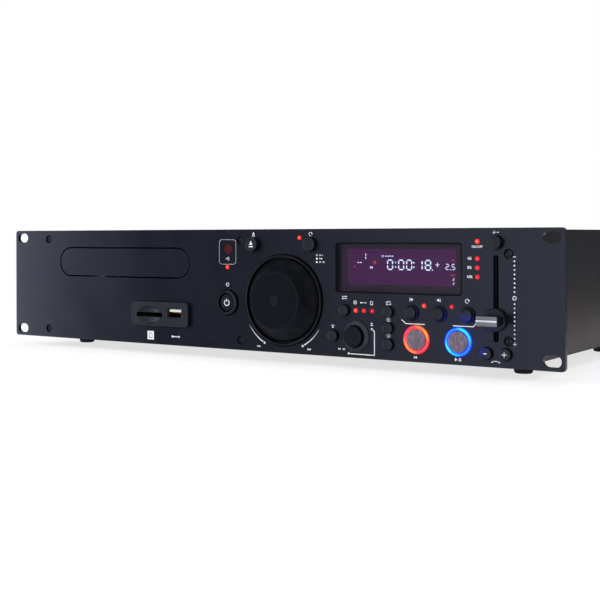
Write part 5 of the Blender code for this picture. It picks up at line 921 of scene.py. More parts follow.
def shifted(outlines: Sequence[Outline], u: float, v: float) -> list[Outline]:
    """Moves outlines."""
    return [[(a + u, b + v) for a, b in outline] for outline in outlines]


def rounded_box(left: float, right: float, low: float, high: float, radius: float) -> Outline:
    """Outline of a box with round corners."""
    return (
        arc(right - radius, high - radius, radius, 90, 0, 5)
        + arc(right - radius, low + radius, radius, 0, -90, 5)
        + arc(left + radius, low + radius, radius, -90, -180, 5)
        + arc(left + radius, high - radius, radius, 180, 90, 5)
    )


class Sign(Enum):
    """Generic signs that stand where a control has its label."""

    EJECT = "eject"
    POWER = "power"
    JOG = "jog"
    DISC = "disc"
    PLUG = "plug"
    CARD = "card"
    SOURCE = "source"
    TAP = "tap"
    REPEAT = "repeat"
    CLOCK = "clock"
    SINGLE = "single"
    LOOP_IN = "loop in"
    LOOP_OUT = "loop out"
    CUE = "cue"
    PLAY_PAUSE = "play and pause"
    SKIP = "skip"
    BACKWARDS = "backwards"
    FORWARDS = "forwards"
    PRESS = "press"
    PLUS_MINUS = "plus and minus"
    MINUS = "minus"
    PLUS = "plus"
    BEND = "bend"
    BEAM = "beam"


def sign(kind: Sign) -> list[Outline]:
    """Draws a sign round its own middle, about two millimetres high.

    Args:
        kind: Which sign.

    Returns:
        Its outlines.
    """
    shapes = {
        Sign.EJECT: lambda: wedge(0, 0.35, 1.05, 90) + bar(-1, -0.95, 1, -0.95, 0.42),
        Sign.POWER: lambda: [stroke(arc(0, 0, 1, 125, 415), 0.26)] + bar(0, 0.3, 0, 1.3, 0.26),
        Sign.JOG: lambda: [stroke(arc(0, 0, 1, 30, 300), 0.3)] + wedge(1.0, 0.2, 0.55, 300),
        Sign.DISC: lambda: loop(0, 0, 0.9, 0.28) + spot(0, 0, 0.3),
        Sign.PLUG: lambda: bar(-1.1, 0, 1.1, 0, 0.28) + wedge(1.5, 0, 0.5, 0) + spot(-1.4, 0, 0.42),
        Sign.CARD: lambda: [
            stroke([(-0.7, 0.9), (-0.7, -0.9), (0.7, -0.9), (0.7, 0.5), (0.3, 0.9), (-0.56, 0.9)], 0.26)
        ],
        Sign.SOURCE: lambda: bar(-1.6, 0.5, 0.6, 0.5, 0.28)
        + wedge(1.1, 0.5, 0.6, 0)
        + bar(-0.6, -0.6, 1.6, -0.6, 0.28)
        + wedge(-1.1, -0.6, 0.6, 180),
        Sign.TAP: lambda: spot(0, -0.5, 0.5) + [stroke(arc(0, -0.5, 1.25, 40, 140), 0.28)],
        Sign.REPEAT: lambda: [
            stroke([(-1.3, -0.2), (-1.3, 0.7), (0.9, 0.7)], 0.28),
            stroke([(1.3, 0.2), (1.3, -0.7), (-0.9, -0.7)], 0.28),
        ]
        + wedge(1.0, 0.7, 0.6, 0)
        + wedge(-1.0, -0.7, 0.6, 180),
        Sign.CLOCK: lambda: loop(0, 0, 0.95, 0.26) + [stroke([(0, 0.6), (0, 0), (0.45, 0)], 0.24)],
        Sign.SINGLE: lambda: loop(0, 0, 1.0, 0.24) + bar(0, -0.55, 0, 0.55, 0.3),
        Sign.LOOP_IN: lambda: bar(-0.9, -0.9, -0.9, 0.9, 0.32) + wedge(0.2, 0, 0.9, 0),
        Sign.LOOP_OUT: lambda: bar(0.9, -0.9, 0.9, 0.9, 0.32) + wedge(-0.2, 0, 0.9, 180),
        Sign.CUE: lambda: bar(-1, -0.8, -1, 0.8, 0.35) + wedge(0.1, 0, 0.85, 180),
        Sign.PLAY_PAUSE: lambda: wedge(-1.2, 0, 0.95, 0)
        + bar(0.7, -0.8, 0.7, 0.8, 0.38)
        + bar(1.5, -0.8, 1.5, 0.8, 0.38),
        Sign.SKIP: lambda: bar(-1.9, -0.6, -1.9, 0.6, 0.26)
        + wedge(-1.1, 0, 0.65, 180)
        + wedge(1.1, 0, 0.65, 0)
        + bar(1.9, -0.6, 1.9, 0.6, 0.26),
        Sign.BACKWARDS: lambda: wedge(-0.6, 0, 0.75, 180) + wedge(0.7, 0, 0.75, 180),
        Sign.FORWARDS: lambda: wedge(-0.7, 0, 0.75, 0) + wedge(0.6, 0, 0.75, 0),
        Sign.PRESS: lambda: wedge(0, 0.1, 0.7, 270) + bar(-0.9, -0.9, 0.9, -0.9, 0.26),
        Sign.PLUS_MINUS: lambda: shifted(plus(1.7, 0.24), -0.9, 0) + bar(0.5, 0, 1.6, 0, 0.3),
        Sign.MINUS: lambda: bar(-0.9, 0, 0.9, 0, 0.42),
        Sign.PLUS: lambda: plus(2.4, 0.28),
        Sign.BEND: lambda: [stroke(arc(0, -2.6, 3, 60, 120), 0.3)]
        + wedge(-1.9, -0.15, 0.6, 200)
        + wedge(1.9, -0.15, 0.6, 340),
        Sign.BEAM: lambda: spot(-1.0, 0, 0.35)
        + [stroke(arc(-1.0, 0, 1.1, -38, 38), 0.26), stroke(arc(-1.0, 0, 1.9, -38, 38), 0.26)],
    }
    return shapes[kind]()


def plus(size: float, width: float) -> list[Outline]:
    """Plus sign as one twelve-cornered outline."""
    a, b = size / 2, width / 2
    return [
        [(b, b), (b, a), (-b, a), (-b, b), (-a, b), (-a, -b)]
        + [(-b, -b), (-b, -a), (b, -a), (b, -b), (a, -b), (a, b)]
    ]


def inked(
    name: str, outlines: Sequence[Outline], place: Vector, thickness: float = INK_THICKNESS
) -> Piece:
    """Turns outlines into one thin printed mesh that faces the front.

    Args:
        name: Name of the print.
        outlines: Closed outlines in millimetres; an outline inside another is a hole.
        place: Where their zero lies.
        thickness: Thickness of the print.

    Returns:
        The print.
    """
    deselect()
    bpy.ops.curve.primitive_bezier_circle_add(radius=MM)
    flat = named(name)
    flat.data.splines.clear()
    flat.data.dimensions = "2D"
    flat.data.fill_mode = "BOTH"
    flat.data.extrude = thickness / 2
    for outline in outlines:
        spline = flat.data.splines.new("POLY")
        spline.points.add(len(outline) - 1)
        for point, (u, v) in zip(spline.points, outline):
            point.co = (u * MM, v * MM, 0, 1)
        spline.use_cyclic_u = True
    return stand_up(flat, place, thickness)


def stand_up(flat: Piece, place: Vector, thickness: float) -> Piece:
    """Makes a flat curve or text a mesh and stands it up to face the front.

    Args:
        flat: Curve or text in its own plane.
        place: Where its zero goes.
        thickness: Its thickness; its back lies at the place.

    Returns:
        The mesh.
    """
    activate(flat)
    bpy.ops.object.convert(target="MESH")
    piece = bpy.context.object
    piece.rotation_euler = (math.pi / 2, 0, 0)
    piece.location = place + FRONT * thickness / 2
    settle(piece)
    bpy.ops.object.mode_set(mode="EDIT")
    bpy.ops.mesh.select_all(action="SELECT")
    bpy.ops.mesh.remove_doubles(threshold=WELD)
    bpy.ops.object.mode_set(mode="OBJECT")
    return piece


def lettered(name: str, text: str, height: float, place: Vector) -> Piece:
    """Turns a short text into a thin printed mesh that faces the front.

    Args:
        name: Name of the print.
        text: What it says.
        height: Height of the letters.
        place: Their middle.

    Returns:
        The print.
    """
    deselect()
    bpy.ops.object.text_add()
    flat = named(name)
    flat.data.body = text
    flat.data.size = height / CAPITALS_SHARE
    flat.data.align_x = "CENTER"
    flat.data.align_y = "CENTER"
    flat.data.extrude = INK_THICKNESS / 2
    flat.data.offset = height * STROKE_SWELL_SHARE
    return stand_up(flat, place, INK_THICKNESS)


# Sub-assemblies


@dataclass
class CrossHeadScrew:
    """Pan-head screw with a cross recess, modelled once and copied."""

    head_radius: float = 2.6 * MM
    head_height: float = 1.5 * MM
    recess_width: float = 0.85 * MM
    recess_reach: float = 1.65 * MM
    recess_depth: float = 1.1 * MM
    cutter_rise: float = 1 * MM
    turn_per_letter: float = 17.0
    turn_per_metre: float = 9000.0
    finish: Finish = BLACK_ZINC
    pattern: Piece | None = field(default=None, repr=False)

    def model(self) -> Piece:
        """Makes the screw at the world's origin, its seat at zero and its head towards the front."""
        r, h = self.head_radius, self.head_height
        profile = [(0, h), (r * 0.45, h * 0.97), (r * 0.8, h * 0.78), (r, h * 0.4), (r, 0), (0, 0)]
        head = turned("screw_pattern", profile, Vector(), steps=SMALL_ROUND_STEPS, rounding=0.1 * MM)
        for across in (Vector((1, 0, 0)), Vector((0, 0, 1))):
            other = Vector((across.z, 0, across.x))
            half = across * self.recess_reach + other * self.recess_width / 2
            low = -half + FRONT * (h + self.cutter_rise)
            cutter = block("recess", low, half + FRONT * (h - self.recess_depth), rounding=0)
            modify(head, "BOOLEAN", object=cutter, operation="DIFFERENCE", solver="EXACT")
            bpy.data.objects.remove(cutter)
        soften(head, 0)
        return head

    def place(self, name: str, seat: Vector, facing: Vector) -> None:
        """Copies the screw to a seat, its cross turned as if driven by hand.

        Args:
            name: Name of the copy.
            seat: Middle of the face under the head.
            facing: Way that the head looks.
        """
        if self.pattern is None:
            self.pattern = self.model()
        turn = FRONT.rotation_difference(facing).to_matrix().to_4x4()
        degrees = len(name) * self.turn_per_letter + seat.x * self.turn_per_metre
        twist = Matrix.Rotation(math.radians(degrees), 4, "Y")
        twin = moved_copy(self.pattern, name, Matrix.Translation(seat) @ turn @ twist)
        finish_piece(twin, self.finish)

    def put_away(self) -> None:
        """Deletes the pattern that the copies were taken from."""
        if self.pattern is not None:
            bpy.data.objects.remove(self.pattern)
            self.pattern = None


@dataclass
class FrontPanel:
    """Anodised plate with its screws and its printed signs."""

    face: PanelFace
    screw: CrossHeadScrew
    edge: float = 0.3 * MM
    screw_seat: float = 1.75 * MM
    left_screw_x: float = -201.9 * MM
    middle_screw_x: float = -3.6 * MM
    fader_screw_x: float = 204.4 * MM
    jog: Point = (34.5, 37.8)
    arrow_radius: float = 35.6
    scale_x: float = 208.3
    mode_list_x: float = 62.4
    sign_scale: float = 1.25
    range_x: float = 177.9 * MM
    range_height: float = 1.7 * MM
    switch_height: float = 1.45 * MM

    def build(self) -> None:
        """Builds the panel, its screws and its print."""
        dressed_copy("front_panel", "panel_plate", self.edge, ANODISED)
        self.build_screws()
        prints = [inked("signs", self.sign_outlines(), self.face.at(0, 0))]
        prints += self.numbers()
        finish_piece(joined(prints, "panel_print"), WHITE_INK)

    def build_screws(self) -> None:
        """Sets six black screws in their wells."""
        places = {
            "left_upper": (self.left_screw_x, 81.3 * MM),
            "left_lower": (self.left_screw_x, 7.2 * MM),
            "middle_upper": (self.middle_screw_x, 80.2 * MM),
            "middle_lower": (self.middle_screw_x, 7.2 * MM),
            "fader_upper": (self.fader_screw_x, 72.2 * MM),
            "fader_lower": (self.fader_screw_x, 17.0 * MM),
        }
        for name, (x, height) in places.items():
            seat = self.face.at(x, height, proud=-self.screw_seat)
            self.screw.place(f"panel_screw_{name}", seat, FRONT)

    def sign_outlines(self) -> list[Outline]:
        """Returns every printed sign, line and dot of the panel, in millimetres."""
        labels = {
            Sign.EJECT: (8.0, 84.9),
            Sign.JOG: (57.2, 84.9),
            Sign.POWER: (-15.6, 47.9),
            Sign.SOURCE: (84.8, 41.2),
            Sign.DISC: (93.2, 38.0),
            Sign.PLUG: (99.6, 38.0),
            Sign.CARD: (106.1, 38.0),
            Sign.TAP: (75.4, 20.9),
            Sign.REPEAT: (119.0, 38.3),
            Sign.CLOCK: (119.0, 27.2),
            Sign.SINGLE: (119.0, 16.5),
            Sign.LOOP_IN: (136.3, 41.3),
            Sign.LOOP_OUT: (156.0, 41.4),
            Sign.CUE: (139.5, 3.2),
            Sign.PLAY_PAUSE: (169.7, 3.5),
            Sign.SKIP: (82.4, 5.6),
            Sign.BACKWARDS: (12.4, 3.8),
            Sign.FORWARDS: (55.8, 3.8),
            Sign.PRESS: (106.2, 23.9),
            Sign.PLUS_MINUS: (195.9, 85.6),
            Sign.BEND: (195.6, 3.6),
            Sign.BEAM: (-15.5, 66.9),
        }
        outlines = []
        for kind, place in labels.items():
            outlines += shifted(scaled(sign(kind), self.sign_scale), *place)
        outlines += shifted(scaled(sign(Sign.JOG), self.sign_scale), 176.2, 41.4)
        return outlines + self.line_outlines() + self.scale_outlines() + self.mode_list()

    def line_outlines(self) -> list[Outline]:
        """Returns the tapered lines round the jog wheel and the lines between groups of controls."""
        u, v = self.jog
        outlines = []
        for start, end in ((211.8, 241.5), (-34, -63.5)):
            line = arc(u, v, self.arrow_radius, start, end, 12)
            outlines.append(stroke(line[:-1], 0.12, 0.85))
            outlines += spot(*line[-1], 0.85)
        outlines += [
            stroke([(106.3, 20.3), (108.2, 18.8), (108.2, 2.7), (89.3, 2.7)], 0.55),
            stroke([(128.9, 27.8), (132.0, 25.2), (146.0, 25.2)], 0.5),
            stroke([(166.0, 25.2), (180.4, 25.2), (182.9, 28.2)], 0.5),
        ]
        outlines += spot(106.3, 20.3, 0.75) + spot(88.0, 2.9, 0.75)
        corners = rounded_box(-23.2, -7.9, 62.8, 81.0, 2.5)
        return outlines + [stroke(corners + [corners[0]], 0.15)]

    def scale_outlines(self) -> list[Outline]:
        """Returns the dots and signs beside the pitch fader."""
        u = self.scale_x
        outlines = shifted(sign(Sign.MINUS), u, 70.15) + shifted(sign(Sign.PLUS), u, 15.5)
        outlines += loop(u, 44.3, 1.15, 0.42)
        for first, step, count in ((67.45, 2.75, 8), (40.6, 2.7, 9)):
            for i in range(count):
                outlines += spot(u, first - i * step, 0.5)
        return outlines

    def mode_list(self) -> list[Outline]:
        """Returns the three lines that tell the jog wheel's modes apart."""
        u = self.mode_list_x
        outlines = loop(u, 70.1, 0.55, 0.26) + spot(u, 67.7, 0.7) + spot(u, 65.3, 0.7)
        outlines += shifted(sign(Sign.PLUS_MINUS), u + 3.6, 70.1)
        outlines += shifted(sign(Sign.FORWARDS), u + 3.3, 67.7)
        outlines += shifted(sign(Sign.SKIP), u + 4.2, 65.3)
        return outlines

    def numbers(self) -> list[Piece]:
        """Returns the plain numbers and the switch's label beside the pitch lights."""
        rows = {"4%": 68.8, "8%": 62.95, "16%": 57.1}
        texts = [
            lettered("range", text, self.range_height, self.face.at(self.range_x, height * MM))
            for text, height in rows.items()
        ]
        switch = self.face.at(183.2 * MM, 76.4 * MM)
        return texts + [lettered("switch", "ON/OFF", self.switch_height, switch)]


@dataclass
class Casing:
    """Folded steel case, its screws and its feet."""

    screw: CrossHeadScrew
    fold: float = 0.35 * MM
    foot_radius: float = 6.6 * MM
    foot_base_radius: float = 5.4 * MM
    screw_inset: float = 7 * MM
    side_screw_height: float = 9 * MM
    side_screw_shares: tuple[float, ...] = (0.09, 0.62, 0.93)
    rear_screw_shares: tuple[float, ...] = (0.02, 0.34, 0.66, 0.98)

    def build(self) -> None:
        """Builds the case and what is fastened to it."""
        for node, name in {"top_cover": "cover", "rear_panel": "rear", "chassis_base": "base"}.items():
            dressed_copy(node, f"case_{name}", self.fold, POWDER_COAT)
        self.build_screws()
        self.build_feet()

    def build_screws(self) -> None:
        """Sets the screws of the cover's sides and of the rear panel."""
        low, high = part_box("top_cover")
        for side, x, facing in (("left", low.x, -SIDEWAYS), ("right", high.x, SIDEWAYS)):
            for i, share in enumerate(self.side_screw_shares):
                y = low.y + share * (high.y - low.y)
                seat = Vector((x, y, low.z + self.side_screw_height))
                self.screw.place(f"cover_screw_{side}_{i}", seat, facing)
        low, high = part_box("rear_panel")
        for i, share in enumerate(self.rear_screw_shares):
            x = low.x + share * (high.x - low.x)
            for end, z in (("low", low.z + self.screw_inset), ("high", high.z - self.screw_inset)):
                seat = Vector((x, high.y, z))
                self.screw.place(f"rear_screw_{end}_{i}", seat, BACK)

    def foot_seat(self, node: str) -> Vector:
        """Returns the middle of a foot's upper face."""
        middle = box_middle(node)
        return Vector((middle.x, middle.y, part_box(node)[1].z))

    def build_feet(self) -> None:
        """Turns one foot and copies it to the other three places."""
        nodes = ("foot_front_left", "foot_front_right", "foot_rear_left", "foot_rear_right")
        low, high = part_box(nodes[0])
        first = self.foot_seat(nodes[0])
        height = high.z - low.z
        r, base = self.foot_radius, self.foot_base_radius
        profile = [
            (0, 0), (r, 0), (r, height * 0.55), (r * 0.93, height * 0.9), (base, height),
            (base * 0.62, height), (base * 0.56, height * 0.72), (0, height * 0.72),
        ]
        pattern = turned("foot_pattern", profile, first, DOWN, rounding=0.35 * MM)
        for node in nodes:
            move = Matrix.Translation(self.foot_seat(node) - first)
            foot = moved_copy(pattern, node.replace("foot", "rubber_foot"), move)
            finish_piece(foot, FOOT_RUBBER, replaces=[node])
        bpy.data.objects.remove(pattern)


@dataclass
class DiscTray:
    """Door and tray that slide out together."""

    door_edge: float = 0.45 * MM
    tray_edge: float = 0.3 * MM

    def build(self) -> None:
        """Builds the door and the tray."""
        dressed_copy("tray_door", "tray_front", self.door_edge, ANODISED, "tray", 3)
        dressed_copy("disc_tray", "tray_body", self.tray_edge, MOULDED_ABS, "tray")


@dataclass
class MediaBay:
    """Raised moulding with the card slot and the memory-stick port."""

    face: PanelFace
    edge: float = 0.35 * MM
    tongue_thickness: float = 1.9 * MM
    tongue_margin: float = 0.06 * MM
    shell: float = 0.35 * MM
    side_gap: float = 0.9 * MM
    top_gap: float = 0.5 * MM
    setback: float = 0.9 * MM
    back_wall: float = 1.0 * MM
    contacts: int = 4
    spring_drop: float = 0.8 * MM
    spring_setback: float = 1.2 * MM
    spring_rear: float = 2 * MM
    spring_lap: float = 0.02 * MM
    sign_height: float = 6.7

    def build(self) -> None:
        """Builds the moulding, the port's tongue and contacts, and the signs below."""
        dressed_copy("media_bay", "media_bay_moulding", self.edge, MOULDED_ABS)
        self.build_tongue()
        square = [(-93.6, 10.0), (-93.6, 3.4), (-87.2, 3.4), (-87.2, 10.0)]
        card = shifted(scaled(sign(Sign.CARD), 2.0), -90.4, self.sign_height)
        plug = shifted(scaled(sign(Sign.PLUG), 2.2), -65.3, self.sign_height)
        print_piece = inked("media_print", [square, *card, *plug], self.face.at(0, 0))
        finish_piece(print_piece, WHITE_INK)

    def build_tongue(self) -> None:
        """Lays a pale tongue and its gilt contacts over the port's solid."""
        low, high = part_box("usb_socket")
        side = self.shell + self.side_gap - self.tongue_margin
        top = high.z - self.shell - self.top_gap
        foot = top - self.tongue_thickness - self.tongue_margin
        front = Vector((low.x + side, low.y + self.setback - self.tongue_margin, foot))
        rear = Vector((high.x - side, high.y - self.back_wall, top + self.tongue_margin))
        finish_piece(block("usb_tongue", front, rear, 0.12 * MM), WHITE_PLASTIC)
        width = (rear.x - front.x) / (2 * self.contacts + 1)
        strips = []
        for i in range(self.contacts):
            x = front.x + (2 * i + 1) * width
            corner = Vector((x, front.y + self.spring_setback, front.z - self.spring_drop))
            far = Vector((x + width, rear.y - self.spring_rear, front.z + self.spring_lap))
            strips.append(block("contact", corner, far, 0.02 * MM))
        finish_piece(joined(strips, "usb_contacts"), GILT)


@dataclass
class JogWheel:
    """Wheel with a foil face and finger dimples round its flank, in a raised ring."""

    face: PanelFace
    face_radius: float = 20.6 * MM
    base_reach: float = 1.0 * MM
    hub_radius: float = 3.8 * MM
    hub_rise: float = 0.3 * MM
    foil_inset: float = 1.0 * MM
    foil_depth: float = 0.2 * MM
    foil_bevel: float = 0.15 * MM
    edge_inset: float = 0.2 * MM
    edge_drop: float = 0.3 * MM
    flank_margin: float = 0.1 * MM
    shaft_radius: float = 3.0 * MM
    back_depth: float = 2.2 * MM
    dimples: int = 12
    dimple_radius: float = 6.2 * MM
    dimple_depth: float = 0.9 * MM
    flank_steps: int = 14
    ring_wall: float = 1.3 * MM
    ring_lip_setback: float = 0.7 * MM
    ring_chamfer: float = 1.1 * MM
    ring_outer: float = 32.4 * MM
    ring_reach: float = 2.3 * MM
    floor_depth: float = 3.0 * MM
    bearing_radius: float = 9.0 * MM

    def build(self) -> None:
        """Builds the ring and the wheel."""
        self.build_ring()
        self.build_wheel()

    def build_ring(self) -> None:
        """Turns the raised ring round the wheel, with its floor and flange."""
        flange_back = self.face.tail("jog_bezel")
        flange_radius = half_width("jog_bezel")
        inner, outer = self.ring_outer - self.ring_wall, self.ring_outer
        profile = [
            (inner, self.ring_reach), (outer - self.ring_lip_setback, self.ring_reach),
            (outer, self.ring_reach - self.ring_chamfer), (outer, -PANEL_BACK),
            (flange_radius, -PANEL_BACK), (flange_radius, -flange_back),
            (self.bearing_radius, -flange_back), (self.bearing_radius, -self.floor_depth),
            (inner, -self.floor_depth), (inner, self.ring_reach),
        ]
        centre = self.face.centre("jog_bezel")
        ring = turned("jog_ring", profile, centre, steps=128, rounding=0.25 * MM)
        finish_piece(ring, MOULDED_ABS, replaces=["jog_bezel"])

    def build_wheel(self) -> None:
        """Turns the wheel, presses its dimples and gives its face the foil."""
        centre = self.face.centre("jog_wheel")
        outer = half_width("jog_wheel")
        top = self.face.reach("jog_wheel") - self.hub_rise
        tail = self.face.tail("jog_wheel")
        foil_radius = self.face_radius - self.foil_inset
        profile = [
            (0, top), (self.hub_radius - self.foil_bevel, top), (self.hub_radius, top - self.foil_depth),
            (foil_radius, top - self.foil_depth), (foil_radius + self.foil_bevel, top),
            (self.face_radius - self.edge_inset, top),
        ]
        start = Vector((self.face_radius, top - self.edge_drop))
        end = Vector((outer, self.base_reach))
        for i in range(self.flank_steps + 1):
            profile.append(tuple(start.lerp(end, i / self.flank_steps)))
        profile += [
            (outer, -self.back_depth), (self.shaft_radius, -self.back_depth), (self.shaft_radius, -tail),
            (0, -tail),
        ]
        wheel = turned("jog_wheel_body", profile, centre, steps=144, rounding=0)
        self.press_dimples(wheel, centre, start, end)
        soften(wheel, 0.2 * MM)
        finish_piece(wheel, SOFT_TOUCH, "jog_wheel", ["jog_wheel"])
        wheel.data.materials.append(FACE_FOIL.material())
        face_floor = top - 2 * self.foil_depth
        for polygon in wheel.data.polygons:
            middle = polygon.center - centre
            if middle.xz.length < foil_radius and -middle.y > face_floor:
                polygon.material_index = 1 if middle.xz.length > self.hub_radius else 0

    def press_dimples(self, wheel: Piece, centre: Vector, start: Vector, end: Vector) -> None:
        """Sinks soft round dimples into the flank with a weighted displacement.

        Args:
            wheel: The turned wheel.
            centre: Middle of the wheel on the panel's face.
            start: Radius and reach of the flank's upper edge.
            end: Radius and reach of the flank's lower edge.
        """
        middle = (start + end) / 2
        slope = (end - start).normalized()
        group = wheel.vertex_groups.new(name="finger_dimples")
        for vertex in wheel.data.vertices:
            offset = vertex.co - centre
            radius = offset.xz.length
            if radius < start.x or -offset.y < end.y - self.flank_margin:
                continue
            along = (Vector((radius, -offset.y)) - middle).dot(slope)
            turn = math.atan2(offset.z, offset.x) * self.dimples / (2 * math.pi)
            round_it = (turn - round(turn)) * 2 * math.pi / self.dimples * radius
            share = (along**2 + round_it**2) / self.dimple_radius**2
            if share < 1:
                group.add([vertex.index], (1 - share) ** 2, "REPLACE")
        modify(
            wheel, "DISPLACE", strength=-self.dimple_depth, mid_level=0.0, direction="NORMAL",
            vertex_group=group.name,
        )
        wheel.vertex_groups.clear()


@dataclass
class Display:
    """Dark rim round the smoked lens, painted shade of the gap there, and the haze and lit segments between
    the lens and the tube.
    """

    face: PanelFace
    haze_depth: float = 0.06 * MM
    segment_depth: float = 0.06 * MM
    gap: float = 0.03 * MM
    left: float = 86.0
    right: float = 166.8
    low: float = 50.3
    high: float = 74.6
    digit_height: float = 6.3
    digit_width: float = 3.75
    segment: float = 0.85
    nick_share: float = 0.62
    opening: tuple[float, float, float, float] = (77.55, 172.65, 44.45, 79.05)
    opening_radius: float = 1.9
    shade_rim_width: float = 1.1
    lens_recess: float = 1.0 * MM
    shade_rim_thickness: float = 0.5 * MM

    def build(self) -> None:
        """Builds the dark rim, the haze and the segments."""
        left, right, low, high = self.opening
        width, radius = self.shade_rim_width, self.opening_radius
        rims = [
            rounded_box(left, right, low, high, radius),
            rounded_box(left + width, right - width, low + width, high - width, radius - width),
        ]
        # Dark matt rim in the lens recess: painted shade of the gap round the lens
        seat = self.face.at(0, 0, proud=-self.lens_recess)
        finish_piece(inked("display_gasket", rims, seat, self.shade_rim_thickness), FACE_FOIL)
        haze_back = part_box("display_module")[0].y - self.gap
        foot = self.face.foot
        haze_low = Vector((self.left * MM, haze_back - self.haze_depth, foot + self.low * MM))
        haze_high = Vector((self.right * MM, haze_back, foot + self.high * MM))
        finish_piece(block("display_haze", haze_low, haze_high, 0), TUBE_HAZE)
        place = Vector((0, haze_low.y - self.gap, foot))
        finish_piece(inked("display_segments", self.segments(), place, self.segment_depth), DIGIT_LIGHT)
        finish_piece(inked("display_red_segments", self.red_marks(), place, self.segment_depth), RED_SEGMENT)

    def digit(self, number: int, u: float, v: float, scale: float = 1.0) -> list[Outline]:
        """Draws a seven-segment digit.

        Args:
            number: Digit from nought to nine.
            u: Left edge, in millimetres.
            v: Lower edge, in millimetres.
            scale: Share of the full height.

        Returns:
            The lit segments' outlines.
        """
        lit = SEGMENTS_OF_DIGIT[number]
        w, h, t = self.digit_width * scale, self.digit_height * scale, self.segment * scale
        middle, nick = h / 2, t * self.nick_share
        ends = {
            "a": ((nick, h), (w - nick, h)), "b": ((w, middle + nick), (w, h - nick)),
            "c": ((w, nick), (w, middle - nick)), "d": ((nick, 0), (w - nick, 0)),
            "e": ((0, nick), (0, middle - nick)), "f": ((0, middle + nick), (0, h - nick)),
            "g": ((nick, middle), (w - nick, middle)),
        }
        return shifted([stroke(list(ends[key]), t) for key in lit], u, v)

    def segments(self) -> list[Outline]:
        """Returns the pale segments: track, time, speed and small marks."""
        base, small = 60.9, 0.55
        outlines = []
        for number, u in ((0, 116.5), (0, 124.9), (0, 130.9), (1, 138.6), (8, 144.8)):
            outlines += self.digit(number, u, base)
        for u in (122.5, 136.3):
            outlines += spot(u, base + 1.7, 0.5) + spot(u, base + 4.7, 0.5)
        outlines += spot(150.0, base, 0.42) + shifted(plus(2.9, 0.42), 153.5, base + 3.5)
        outlines += self.digit(2, 159.5, base + 0.5, small) + self.digit(5, 163.9, base + 0.5, small)
        outlines += spot(162.8, base + 0.5, 0.35)
        outlines += bar(99.6, 67.9, 99.6, 69.3, 0.62) + bar(99.6, 70.0, 99.6, 71.4, 0.62)
        outlines += shifted(scaled(sign(Sign.CUE), 1.1), 104.3, 62.0)
        outlines += bar(93.0, 65.3, 94.3, 65.3, 0.6) + bar(95.1, 65.3, 96.4, 65.3, 0.6)
        outlines += shifted(scaled(sign(Sign.CLOCK), 0.75), 112.8, 69.8)
        for i in range(4):
            outlines += bar(114.6 + i * 1.7, 69.8, 115.7 + i * 1.7, 69.8, 0.6)
        return outlines + bar(164.7, 54.1, 165.3, 55.7, 0.5) + bar(164.8, 51.6, 165.4, 53.0, 0.5)

    def red_marks(self) -> list[Outline]:
        """Returns the red segments: pause bars, arrow and edge marks."""
        outlines = bar(105.9, 64.2, 105.9, 66.4, 0.75) + bar(107.2, 64.2, 107.2, 66.4, 0.75)
        outlines += wedge(90.6, 62.4, 0.7, 180) + bar(90.9, 62.4, 91.8, 62.4, 0.5)
        return outlines + bar(163.6, 67.4, 165.8, 67.4, 0.6) + bar(162.9, 57.7, 165.8, 57.7, 0.7)


@dataclass
class PushButton:
    """Round cap with a retaining flange and a stem; its face is domed or dished."""

    face: PanelFace
    node: str
    name: str
    cap_radius: float
    dished: bool = False
    seat: float = PANEL_BACK
    finish: Finish = MOULDED_ABS
    stem_radius: float = 1.8 * MM
    rim: float = 0.9 * MM
    dish: float = 0.45 * MM
    dome: float = 0.5 * MM
    sign_sink: float = 0.08
    rounding: float = 0.3 * MM
    mark: Sign | None = None
    mark_scale: float = 1.0

    def front_profile(self, reach: float) -> Profile:
        """Returns the cap's face, dished or domed, from its middle to its edge.

        Args:
            reach: How far the cap stands out.

        Returns:
            Radius and reach of each corner.
        """
        r = self.cap_radius
        if self.dished:
            low = reach - self.dish
            return [(0, low), (r - self.rim - self.dish, low), (r - self.rim, reach), (r, reach)]
        drop = self.dome
        return [(0, reach), (r * 0.45, reach - drop * 0.1), (r * 0.8, reach - drop * 0.4), (r, reach - drop)]

    def build(self) -> None:
        """Builds the button and the sign on it."""
        centre = self.face.centre(self.node)
        reach, tail, flange = self.face.reach(self.node), self.face.tail(self.node), half_width(self.node)
        r = self.cap_radius
        back = self.seat + FLANGE_THICKNESS
        profile = self.front_profile(reach) + [
            (r, -self.seat), (flange, -self.seat), (flange, -back), (self.stem_radius, -back),
            (self.stem_radius, -tail), (0, -tail),
        ]
        cap = turned(self.name, profile, centre, rounding=self.rounding)
        finish_piece(cap, self.finish, self.node, [self.node])
        if self.mark:
            outlines = scaled(sign(self.mark), self.mark_scale)
            place = centre + FRONT * (reach - (self.dish if self.dished else self.dome * self.sign_sink))
            finish_piece(inked(f"{self.name}_sign", outlines, place), WHITE_INK, self.node)


